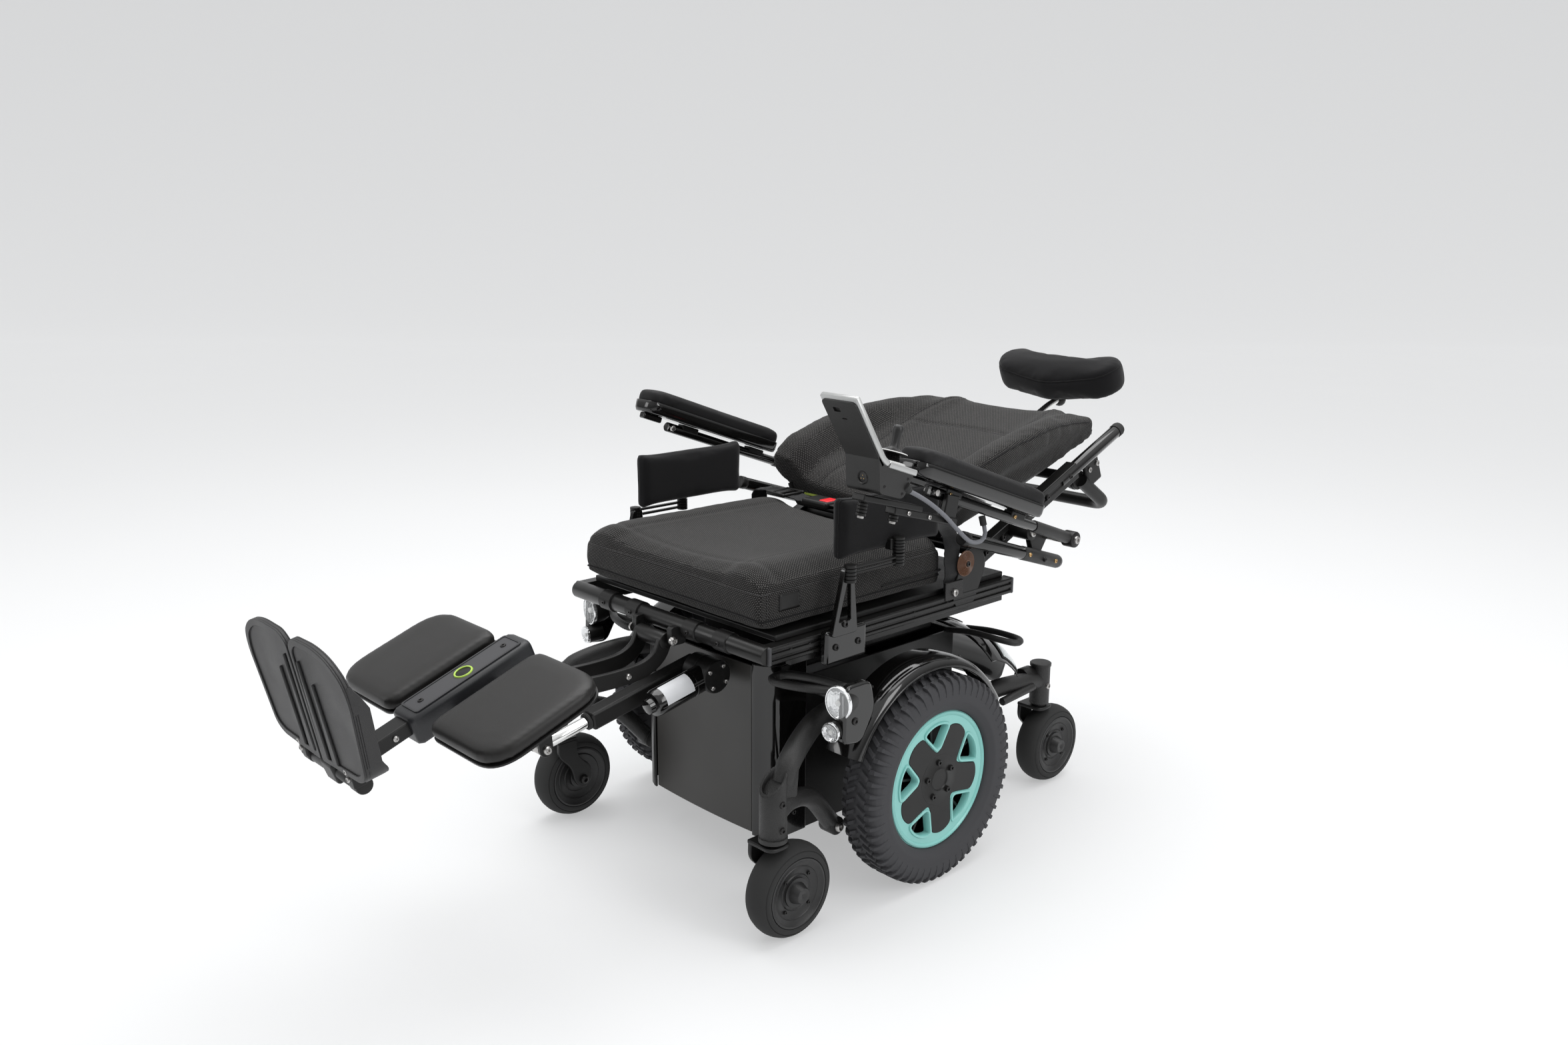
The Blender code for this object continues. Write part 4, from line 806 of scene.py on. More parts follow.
def shoulder(bm, sign, turn, hand):
    """A tapered lug from the crown's edge down over the shoulder."""
    stations = [(0.0205, 0.1722, 0.023), (0.029, 0.17, 0.022), (0.034, 0.164, 0.0195), (0.0362, 0.156,
        0.015), (0.0366, 0.149, 0.008)]
    outs = [(0.0205, 0.1774), (0.0297, 0.1762), (0.0358, 0.169), (0.0378, 0.159), (0.0374, 0.149)]
    rings = []
    for (x, radius, spread), (out_x, out_r) in zip(stations, outs):
        ring = []
        for place_x, place_r, side_spread in ((x, radius - 0.001, spread), (out_x, out_r, spread * 0.82)):
            for way in (-1, 1) if place_x == x and place_r == radius - 0.001 else (1, -1):
                ring.append(on_wheel(sign, place_r, turn + way * side_spread, WHEEL_X + hand * place_x))
        rings.append(ring)
    loft_rings(bm, rings)


def make_rim(side, sign):
    """A teal ring whose five windows sit in raised lips, round a black star hub."""
    body = f"wheel_{side}"
    axis = (sign, 0, 0)
    face = RING_FACE_X - WHEEL_X
    centre = (sign * WHEEL_X, 0, WHEEL_R)

    band_edge = [(0.118, 2 * pi * i / 120) for i in range(120)]

    def flat(points, turn=0.0):
        return [(r * cos(a + turn), r * sin(a + turn)) for r, a in points]

    corners = [(0.0955, -0.345), (0.099, -0.17), (0.1, 0.0), (0.099, 0.17), (0.0955, 0.345), (0.057,
        0.11), (0.054, 0.0), (0.057, -0.11)]
    radii = [0.009, 0.02, 0.02, 0.02, 0.009, 0.006, 0.006, 0.006]
    turns = [radians(96 + 72 * i) for i in range(5)]
    windows = [rounded_outline(flat(corners, turn), radii) for turn in turns]
    star = []
    for i in range(5):
        turn = radians(60 + 72 * i)
        star += flat([(0.0925, -0.262), (0.0965, -0.13), (0.098, 0.0), (0.0965, 0.13), (0.0925, 0.262),
            (0.056, 0.47), (0.0475, pi / 5), (0.056, 2 * pi / 5 - 0.47)], turn)
    star_radii = [0.006, 0.02, 0.02, 0.02, 0.006, 0.01, 0.012, 0.01] * 5
    star = rounded_outline(star, star_radii)
    ring = plate(f"rim_face_{side}", [flat(band_edge), star, *windows], 0.0055,
        (sign * (RING_FACE_X - 0.005), 0, WHEEL_R), SIDE_TURN, TEAL(), body, bevel=0.0007)
    stand_for(ring, f"rim_ring_{side}")

    # the rolled outer lip of the teal ring
    lathe(f"rim_lip_{side}", [(0.1085, face - 0.0045), (0.11, face - 0.0012), (0.113, face + 0.0005),
        (0.116, face - 0.0003), (0.118, face - 0.003), (0.1182, face - 0.01), (0.1165, face - 0.01)],
        centre, axis, TEAL(), body, steps=120, ring=True)
    frames = bmesh.new()
    hand = 1 if sign > 0 else -1
    for outline in windows:
        path = [Vector((sign * (RING_FACE_X - 0.003), u, WHEEL_R + v)) for u, v in outline]
        add_sweep(frames, path, [(-0.003, -0.011), (0.0026, -0.011), (0.0026, 0.0012), (0.0014, 0.0032),
            (-0.0016, 0.0032), (-0.003, 0.0012)], closed=True, up=(hand, 0, 0))
    emit(f"window_lips_{side}", frames, TEAL(), body, sharp=45)

    hub = plate(f"hub_star_{side}", [star], 0.0062, (sign * (RING_FACE_X - 0.0045), 0, WHEEL_R),
        SIDE_TURN, SATIN(), body, bevel=0.0012)
    stand_for(hub, f"drive_rim_{side}")
    lathe(f"rim_barrel_{side}", [(0.0, -0.02), (0.1, -0.02), (0.105, -0.012), (0.108, face - 0.009),
        (0.1168, face - 0.0085), (0.1172, -0.026), (0.06, -0.027), (0.0, -0.027)], centre, axis,
        SATIN(), body, steps=96)
    lathe(f"hub_boss_{side}", [(0.0, face - 0.0025), (0.016, face - 0.0025), (0.0185, face - 0.0005),
        (0.0195, face + 0.0002), (0.0215, face - 0.001), (0.0435, face - 0.0012), (0.0445,
        face - 0.0022), (0.045, -0.019), (0.0, -0.019)], centre, axis, SATIN(), body, steps=64)
    for i, turn in enumerate(turns):
        spoke = Matrix.Rotation(turn, 4, "X")
        middle = on_wheel(sign, 0.075, turn, WHEEL_X - 0.004)
        block(f"rim_rib_{side}_{i}", (0.03, 0.058, 0.005), middle, SATIN(), body, turn=spoke, bevel=0.001)
    bolts(f"hub_bolts_{side}", [on_wheel(sign, 0.031, turn, RING_FACE_X - 0.0005) for turn in turns],
        axis, 0.0052, BLACK_BOLT(), body, 0.0036)


def make_caster(end, side, sign, x, stem_y):
    body, fork = f"caster_{end}_{side}", f"fork_{end}_{side}"
    axle_y = stem_y + TRAIL
    centre = (sign * x, axle_y, CASTER_R)
    profile = [(0, -0.015), (0.055, -0.015), (0.0565, -0.0225), (0.0575, -0.0248), (0.06, -0.025),
        (0.065, -0.0235), (0.0662, -0.0216), (0.0672, -0.0226), (0.07, -0.0205), (0.0735, -0.015),
        (0.0758, -0.0075), (0.0766, 0), (0.0758, 0.0075), (0.0735, 0.015), (0.07, 0.0205), (0.0672,
        0.0226), (0.0662, 0.0216), (0.065, 0.0235), (0.06, 0.025), (0.0575, 0.0248), (0.0565, 0.0225)]
    tyre = lathe(f"caster_tyre_{end}_{side}", profile + [(0.055, 0.015), (0, 0.015)], centre, (sign, 0,
        0), CASTER_RUBBER(), body, steps=80, sharp=55)
    stand_for(tyre, f"caster_wheel_{end}_{side}")
    lathe(f"caster_disc_{end}_{side}", [(0.0555, 0.0228), (0.056, 0.0243), (0.053, 0.0248), (0.051,
        0.0232), (0.044, 0.0205), (0.0425, 0.0215), (0.041, 0.0203), (0.03, 0.0175), (0.0285, 0.019),
        (0.027, 0.018), (0.024, 0.0178), (0.0235, 0.02), (0.0175, 0.0205), (0.013, 0.0335), (0.012,
        0.035), (0.005, 0.035), (0.003, 0.0335), (0, 0.0333)], centre, (sign, 0, 0), CASTER_HUB(), body,
        steps=64)
    lathe(f"caster_inner_{end}_{side}", [(0.0555, 0.0228), (0.056, 0.0243), (0.053, 0.0248), (0.051,
        0.0232), (0.044, 0.02), (0.0425, 0.0214), (0.041, 0.0198), (0.03, 0.0172), (0.0285, 0.019),
        (0.027, 0.018), (0.02, 0.0178), (0.019, 0.023), (0.017, 0.024), (0, 0.024)], centre, (-sign, 0,
        0), CASTER_HUB(), body, steps=64)
    places = [Vector((sign * (x + 0.02), axle_y + 0.0345 * cos(a),
        CASTER_R + 0.0345 * sin(a))) for a in (radians(45 + 90 * i) for i in range(4))]
    bolts(f"caster_screws_{end}_{side}", places, (sign, 0, 0), 0.003, BLACK_BOLT(), body, 0.002)

    # the fork: a bent plate crown, the blade down the inner side, and the axle nut
    blade_x = x - 0.0325
    inner = sign * blade_x
    outline = rounded_outline([(stem_y - 0.019, 0.158), (stem_y + 0.021, 0.158), (stem_y + 0.019,
        0.128), (axle_y + 0.016, 0.098), (axle_y + 0.019, CASTER_R - 0.004), (axle_y, CASTER_R - 0.021),
        (axle_y - 0.019, CASTER_R - 0.002), (axle_y - 0.024, 0.104), (stem_y - 0.02, 0.132)], [0.004,
        0.004, 0.03, 0.04, 0.016, 0.016, 0.016, 0.05, 0.04], 6)
    blade = plate(f"fork_blade_{end}_{side}", [outline], 0.0075, (inner, 0, 0), SIDE_TURN, PAINT(),
        fork, 0.0016)
    stand_for(blade, f"caster_fork_{end}_{side}")
    span = x + 0.0215 - (blade_x - 0.0037)
    crown = rounded_outline([(-span / 2, -0.0215), (span / 2 - 0.004, -0.0215), (span / 2, 0.0),
        (span / 2 - 0.004, 0.0215), (-span / 2, 0.0215)], [0.004, 0.016, 0.02, 0.016, 0.004])
    flat = Matrix.Identity(3)
    plate(f"fork_crown_{end}_{side}", [[(sign * u, v) for u, v in crown]], 0.0065,
        (sign * (x + 0.0215 - span / 2), stem_y, 0.16), flat, PAINT(), fork, 0.0018)
    disc(f"fork_boss_{end}_{side}", 0.015, 0.006, (sign * x, stem_y, 0.1645), (0, 0, 1), BLACK_BOLT(),
        fork)
    bolts(f"fork_nut_{end}_{side}", [(sign * (blade_x - 0.0045), axle_y, CASTER_R)], (-sign, 0, 0),
        0.0085, BLACK_BOLT(), fork, 0.006)
    disc(f"fork_washer_{end}_{side}", 0.012, 0.004, (sign * (blade_x + 0.0052), axle_y, CASTER_R), (1,
        0, 0), ZINC(), fork, 0.0008)


# ---- chassis -------------------------------------------------------------------------------------
def speckled_tube(name, points, radius, body, sides=24):
    return pipe(name, smooth_path(points, 0.01), radius, WRINKLE(), body, sides)


def make_front_arm(side, sign):
    body = f"front_arm_{side}"
    x, stem_y, _ = FRONT_CASTER
    bm = bmesh.new()
    rings = []
    for radius, low, lift in ((0.0195, 0.1669, 0), (0.0212, 0.1685, 0), (0.0212, None, 0), (0.0204,
            None, 0.0012), (0.0172, None, 0.0012), (0.0165, None, 0), (0.0165, None, -0.01)):
        rings.append([(sign * x + radius * cos(a), stem_y + radius * sin(a),
            low or 0.263 + lift + 0.95 * radius * sin(a)) for a in (2 * pi * i / 48 for i in range(48))])
    loft_rings(bm, rings)
    stem = emit(f"front_stem_{side}", bm, WRINKLE(), body, sharp=50)
    stand_for(stem, f"front_arm_{side}")
    lathe(f"front_stem_foot_{side}", [(0.0208, -0.004), (0.0226, -0.0032), (0.0226, 0.0032), (0.0208,
        0.004)], (sign * x, stem_y, 0.1712), (0, 0, 1), WRINKLE(), body, 48, ring=True)
    speckled_tube(f"front_upper_{side}", [(sign * 0.2915, -0.316, 0.256), (sign * 0.288, -0.296, 0.288),
        (sign * 0.253, -0.215, 0.311), (sign * 0.224, -0.13, 0.308), (sign * 0.206, -0.07, 0.29)],
        0.018, body)
    speckled_tube(f"front_lower_{side}", [(sign * 0.2918, -0.336, 0.205), (sign * 0.279, -0.29, 0.214),
        (sign * 0.258, -0.225, 0.19), (sign * 0.246, -0.168, 0.128)], 0.0152, body)
    disc(f"front_boss_{side}", 0.023, 0.045, (sign * 0.2005, -0.07, 0.29), (1, 0, 0), PAINT(), body,
        0.002)
    # side bolts in the collar, and the lower link's bolt
    bolts(f"front_collar_bolts_{side}", [(sign * (x + 0.0205), stem_y, z) for z in (0.19, 0.232)],
        (sign, 0, 0), 0.0056, BLACK_BOLT(), body, 0.0032)
    bolts(f"front_cheek_bolt_{side}", [(sign * 0.2985, -0.318, 0.266)], (sign * 0.8, -0.6, 0.1), 0.006,
        BLACK_BOLT(), body, 0.0035)
    disc(f"front_link_eye_{side}", 0.0155, 0.03, (sign * 0.245, -0.164, 0.122), (1, 0, 0), WRINKLE(),
        body, 0.002)
    bolts(f"front_link_bolt_{side}", [(sign * 0.262, -0.164, 0.122)], (sign, 0, 0), 0.0085, ZINC(),
        body, 0.006)
    # a gusset between the two tubes at the stem
    plate(f"front_gusset_{side}", [rounded_outline([(-0.322, 0.215), (-0.286, 0.224), (-0.282, 0.268),
        (-0.322, 0.258)], 0.004)], 0.007, (sign * 0.288, 0, 0), SIDE_TURN, WRINKLE(), body)


def make_rear_arm(side, sign):
    body = f"rear_arm_{side}"
    x, stem_y, _ = REAR_CASTER
    stem = lathe(f"rear_stem_{side}", [(0, 0.0), (0.0175, 0.0), (0.019, 0.0015), (0.019, 0.076),
        (0.0205, 0.0765), (0.0205, 0.0812), (0.019, 0.0825), (0.0, 0.0827)], (sign * x, stem_y, 0.1669),
        (0, 0, 1), WRINKLE(), body, 48)
    stand_for(stem, f"rear_arm_{side}")
    speckled_tube(f"rear_beam_{side}", [(sign * x, stem_y, 0.212), (sign * 0.21, 0.37, 0.222),
        (sign * 0.203, 0.29, 0.222), (sign * 0.2, 0.2, 0.2)], 0.017, body)
    disc(f"rear_boss_{side}", 0.021, 0.042, (sign * 0.1995, 0.2, 0.2), (1, 0, 0), PAINT(), body, 0.002)
    bolts(f"rear_arm_bolts_{side}", [(sign * (x + 0.0185), stem_y, 0.205), (sign * 0.2205, 0.2, 0.2)],
        (sign, 0, 0), 0.006, ZINC(), body, 0.004)
    # the low link rod that runs forward beside the drive wheel
    bar(f"rear_link_{side}", (sign * 0.228, 0.3, 0.207), (sign * 0.228, 0.395, 0.214), 0.0075,
        WRINKLE(), body)


def make_motor(side, sign):
    housing = block(f"gearbox_{side}", (0.072, 0.12, 0.11), (sign * 0.2195, 0.01, WHEEL_R), CASING(),
        "base", bevel=0.012, segments=4)
    stand_for(housing, f"motor_{side}")
    lathe(f"motor_can_{side}", [(0, 0), (0.036, 0), (0.04, 0.004), (0.04, 0.02), (0.0385, 0.0205),
        (0.0385, 0.024), (0.04, 0.0245), (0.04, 0.082), (0.0385, 0.0825), (0.0385, 0.086), (0.04,
        0.0865), (0.04, 0.094), (0.036, 0.098), (0, 0.098)], (sign * 0.2185, 0.06, WHEEL_R), (0, 1, 0),
        CASING(), "base", 48)
    bar(f"axle_{side}", (sign * 0.25, 0, WHEEL_R), (sign * 0.2845, 0, WHEEL_R), 0.011, ZINC(), "base")
    bolts(f"gearbox_bolts_{side}", [(sign * 0.2552, 0.01 + u, WHEEL_R + v) for u in (-0.048,
        0.048) for v in (-0.043, 0.043)], (sign, 0, 0), 0.005, ZINC(), "base", 0.0035)


def make_headlight(side, sign):
    """A big clear lamp over a small one on one gloss bracket, with the tie-down eye beside them."""
    tilt = Vector((sign * 0.16, -1, -0.04)).normalized()
    across = Vector((0, 0, 1)).cross(tilt).normalized()
    over = tilt.cross(across)
    front = Vector((sign * 0.324, -0.233, 0.3695))

    def oval(along, wide, high, count=40):
        turns = (2 * pi * i / count for i in range(count))
        return [front + tilt * along + across * 0.88 * wide * cos(a) + over * high * sin(a) for a in turns]

    shell = loft(f"lamp_housing_{side}", [oval(-0.05, 0.01, 0.011), oval(-0.042, 0.0165, 0.0175),
        oval(-0.024, 0.0235, 0.0245), oval(-0.006, 0.0262, 0.0272), oval(-0.004, 0.0262, 0.0272)],
        SATIN(), "base", bevel=0.001)
    stand_for(shell, f"headlight_{side}")
    bm = bmesh.new()
    loft_rings(bm, [oval(-0.004, 0.0264, 0.0274), oval(0.001, 0.0266, 0.0276), oval(0.0022, 0.0258,
        0.0268), oval(0.0022, 0.024, 0.025), oval(-0.004, 0.0238, 0.0248)], cap=False)
    emit(f"lamp_bezel_{side}", bm, REFLECTOR(), "base", sharp=50)
    bm = bmesh.new()
    loft_rings(bm, [oval(-0.0034, 0.004, 0.004, 14), oval(-0.003, 0.011, 0.0115, 14), oval(-0.0012,
        0.018, 0.019, 14), oval(0.0016, 0.0236, 0.0247, 14)], cap=False)
    emit(f"lamp_reflector_{side}", bm, REFLECTOR(), "base", sharp=8)
    disc(f"lamp_bulb_{side}", 0.0052, 0.006, front - tilt * 0.001, tuple(tilt), WHITE(), "base", 0.0015)
    bm = bmesh.new()
    loft_rings(bm, [oval(0.002, 0.024, 0.025), oval(0.0046, 0.0215, 0.0226), oval(0.006, 0.015, 0.016),
        oval(0.0067, 0.006, 0.0064), oval(0.0068, 0.0006, 0.0006)], cap=False)
    emit(f"lamp_glass_{side}", bm, lens_glass(), "base")
    for k, reach in enumerate((-0.0125, 0.0, 0.0125)):
        middle = front + tilt * 0.0052 + across * reach
        bar(f"lamp_flute_{side}_{k}", middle - over * 0.016, middle + over * 0.016, 0.0007,
            lens_glass(), "base", 0.0003, 8)

    low = Vector((sign * 0.321, -0.2445, 0.325))
    bar(f"lamp_small_{side}", low - tilt * 0.03, low, 0.016, SATIN(), "base", 0.0015)
    lathe(f"lamp_small_bowl_{side}", [(0.003, 0.0004), (0.009, 0.0009), (0.0128, 0.003), (0.015,
        0.0034), (0.016, 0.002), (0.016, -0.002)], low, tuple(tilt), REFLECTOR(), "base", 16, sharp=8)
    lathe(f"lamp_small_lens_{side}", [(0, 0.0066), (0.005, 0.0062), (0.01, 0.0048), (0.0132, 0.0026)],
        low, tuple(tilt), lens_glass(), "base", 40)
    disc(f"lamp_small_bulb_{side}", 0.0034, 0.0024, low + tilt * 0.0016, tuple(tilt), WHITE(), "base",
        0.0008)

    web = rounded_outline([(-0.232, 0.398), (-0.176, 0.398), (-0.166, 0.35), (-0.196, 0.3), (-0.236,
        0.306)], [0.014, 0.016, 0.016, 0.014, 0.012], 6)
    plate(f"lamp_bracket_{side}", [web], 0.016, (sign * 0.332, 0, 0), SIDE_TURN, GLOSS(), "base",
        bevel=0.004, segments=3)
    bolts(f"lamp_screw_{side}", [(sign * 0.3402, -0.212, 0.3395)], (sign, 0, 0), 0.0062, BLACK_BOLT(),
        "base", 0.0026)
    bar(f"lamp_stay_{side}", (sign * 0.33, -0.19, 0.352), (sign * 0.165, -0.175, 0.352), 0.008, PAINT(),
        "base")
    eye = [(sign * 0.29, -0.18, 0.372), (sign * 0.235, -0.19, 0.374), (sign * 0.185, -0.206, 0.372),
        (sign * 0.176, -0.225, 0.371), (sign * 0.19, -0.243, 0.371), (sign * 0.24, -0.235, 0.373),
        (sign * 0.3, -0.2, 0.372)]
    speckled_tube(f"front_tie_down_{side}", eye, 0.0068, "base", 20)


def make_fender(side, sign):
    """A rolled arch over the inner half of the tyre, its outer edge turned down to a raised lip."""
    section = [(0.204, 0.255), (0.2052, 0.275), (0.2048, 0.292), (0.2025, 0.3045), (0.1995, 0.3105),
        (0.1955, 0.3148), (0.19, 0.3172), (0.1868, 0.3175), (0.186, 0.315), (0.188, 0.3135), (0.193,
        0.3105), (0.1965, 0.306), (0.199, 0.299), (0.2008, 0.29), (0.2014, 0.275), (0.2008, 0.255)]
    rings = []
    for i in range(41):
        t = i / 40
        angle = radians(152 - 128 * t)
        flare = 0.003 * (2 * t - 1) ** 6
        rings.append([(sign * x, -(r + flare) * cos(angle), WHEEL_R + (r + flare) * sin(angle)) for r,
            x in section])
    arch = loft(f"fender_arch_{side}", rings, GLOSS(), "base", sharp=50)
    stand_for(arch, f"fender_{side}")
    bm = bmesh.new()
    edge = []
    for i in range(41):
        angle = radians(152 - 128 * i / 40)
        edge.append(Vector((sign * 0.3165, -0.188 * cos(angle), WHEEL_R + 0.188 * sin(angle))))
    add_sweep(bm, edge, circle(0.0022, 10))
    emit(f"fender_lip_{side}", bm, GLOSS(), "base", sharp=60)
    bolts(f"fender_screws_{side}", [on_wheel(sign, 0.205, radians(a), 0.276) for a in (58, 122)], (0, 0,
        1), 0.0042, BLACK_BOLT(), "base", 0.0024)


def make_chassis():
    coat(CASING(), "battery_pack")
    coat(PAINT(), "chassis_tray")

    # front cover: a gently bowed face between two corner trims, gloss on the left and satin on the right
    face, columns = [], 28
    for i in range(columns + 1):
        x = -0.1265 + 0.253 * i / columns
        face.append((x, -0.2325 - 0.0045 * (1 - (x / 0.1265) ** 2)))
    inner = [(x, y + 0.004) for x, y in face[::-1]]
    panel = plate("front_panel", [face + inner], 0.292, (0, 0, 0.232), Matrix.Identity(3), FRONT(),
        "base", bevel=0.0012, sharp=30)
    stand_for(panel, "front_cover")
    for side, sign in SIDES:
        trim = [(0.129, -0.2345), (0.136, -0.2335), (0.15, -0.227), (0.164, -0.2165), (0.17, -0.206),
            (0.17, -0.15), (0.166, -0.15), (0.1655, -0.2045), (0.161, -0.2125), (0.148, -0.2225),
            (0.135, -0.2295), (0.129, -0.2305)]
        plate(f"front_trim_{side}", [[(sign * x, y) for x, y in trim]], 0.3, (0, 0, 0.232),
            Matrix.Identity(3), GLOSS() if sign > 0 else SATIN(), "base", bevel=0.0012, sharp=30)
        bolts(f"front_trim_screws_{side}", [(sign * 0.1705, -0.178, z) for z in (0.12, 0.345)], (sign,
            0, 0), 0.0042, BLACK_BOLT(), "base", 0.0024)

    # tilt base with its lugs, pins and bolts
    base = block("tilt_column", (0.26, 0.33, 0.046), (0, 0.045, 0.3705), PAINT(), "base", bevel=0.006,
        segments=3)
    stand_for(base, "tilt_base")
    for _, sign in SIDES:
        label = "left" if sign > 0 else "right"
        block(f"tilt_lug_{label}", (0.03, 0.04, 0.072), (sign * 0.095, 0.222, 0.384), PAINT(), "base",
            bevel=0.006)
        bar(f"tilt_pin_{label}", (sign * 0.08, TILT_Y - 0.001, TILT_Z), (sign * 0.1305, TILT_Y - 0.001,
            TILT_Z), 0.009, ZINC(), "base")
        bolts(f"tilt_bolts_{label}", [(sign * 0.1302, y, 0.37) for y in (-0.08, -0.02, 0.06, 0.14)],
            (sign, 0, 0), 0.006, ZINC(), "base", 0.004)

    make_rear_cover()
    # wiring behind the wheels' arches
    for side, sign in SIDES:
        loom = [(sign * 0.17, 0.06, 0.33), (sign * 0.182, 0.095, 0.3), (sign * 0.186, 0.14, 0.262),
            (sign * 0.18, 0.18, 0.245)]
        pipe(f"loom_{side}", smooth_path(loom, 0.008), 0.0045, CASTER_RUBBER(), "base", 12)


SHROUD = [Vector(p) for p in ((0.24, 0.354), (0.266, 0.3525), (0.29, 0.3435), (0.318, 0.329), (0.345,
    0.308), (0.368, 0.286), (0.385, 0.26), (0.3935, 0.231), (0.397, 0.2))]
SHROUD_HALF = 0.245


def shroud_point(x, t, lift=0.0):
    """A point on the rear shroud, t running from its top edge to its foot; its ends curl forwards."""
    t = min(max(t, 0.0), 1.0)
    place = t * (len(SHROUD) - 1)
    i = min(int(place), len(SHROUD) - 2)
    spot = SHROUD[i].lerp(SHROUD[i + 1], place - i)
    way = (SHROUD[i + 1] - SHROUD[i]).normalized()
    out = Vector((-way.y, way.x))
    end = abs(x / SHROUD_HALF) ** 5
    core = Vector((0.25, 0.235))
    spot = spot + out * lift
    spot = core + (spot - core) * (1 - 0.42 * end)
    return Vector((x, spot.x, spot.y))


def shroud_reach(x):
    """How far down the shroud reaches: to its foot in the middle, short of the rear arm at its ends."""
    return 1.0 - 0.3 * min(max((abs(x) - 0.15) / 0.035, 0), 1)


def shroud_patch(name, xs, ts, lift, finish):
    bm = bmesh.new()
    grid = [[bm.verts.new(shroud_point(x, t, lift)) for t in ts] for x in xs]
    add_grid(bm, grid)
    return thicken(emit(name, bm, finish, "base", sharp=60), 0.0022)


def shroud_sheet(xs):
    """The main skin, its rows squeezed to end at the reach."""
    bm = bmesh.new()
    grid = [[bm.verts.new(shroud_point(x, t * shroud_reach(x))) for t in np.linspace(0, 1, 25)] for x in xs]
    add_grid(bm, grid)
    return thicken(emit("rear_shroud", bm, GLOSS(), "base", sharp=60), 0.0024, -1)


def make_rear_cover():
    """The gloss shroud, a smoky window over a blank badge near each end, loops and round rear lamps."""
    spread = [SHROUD_HALF * sin(pi / 2 * (-1 + 2 * i / 40)) for i in range(41)]
    shroud = shroud_sheet(spread)
    stand_for(shroud, "rear_cover")
    shroud_patch("rear_ridge", list(np.linspace(-0.12, 0.12, 17)), list(np.linspace(0.06, 0.34, 8)),
        0.003, SATIN())
    for side, sign in SIDES:
        shroud_patch(f"rear_badge_{side}", [sign * x for x in np.linspace(0.204, 0.236, 10)],
            list(np.linspace(0.33, 0.62, 8)), 0.0026, BADGE())
        shroud_patch(f"rear_badge_edge_{side}", [sign * x for x in np.linspace(0.2, 0.239, 10)],
            list(np.linspace(0.29, 0.66, 8)), 0.0012, SATIN())
        loop = [(0.15, 0.225, 0.346), (0.205, 0.232, 0.352), (0.262, 0.24, 0.35), (0.286, 0.252, 0.347),
            (0.284, 0.272, 0.345), (0.262, 0.286, 0.344), (0.205, 0.29, 0.342), (0.15, 0.286, 0.336)]
        speckled_tube(f"rear_loop_{side}", [(sign * x, y, z) for x, y, z in loop], 0.0058, "base", 16)
        disc(f"rear_lamp_housing_{side}", 0.018, 0.03, (sign * 0.202, 0.406, 0.2255), (0, 1, 0),
            SATIN(), f"rear_arm_{side}", 0.003)
        lathe(f"rear_lamp_{side}", [(0, 0.0075), (0.009, 0.0066), (0.0145, 0.004), (0.0168, -0.0005),
            (0, -0.0005)], (sign * 0.202, 0.4212, 0.2255), (0, 1, 0), RED_LENS(), f"rear_arm_{side}",
            40)


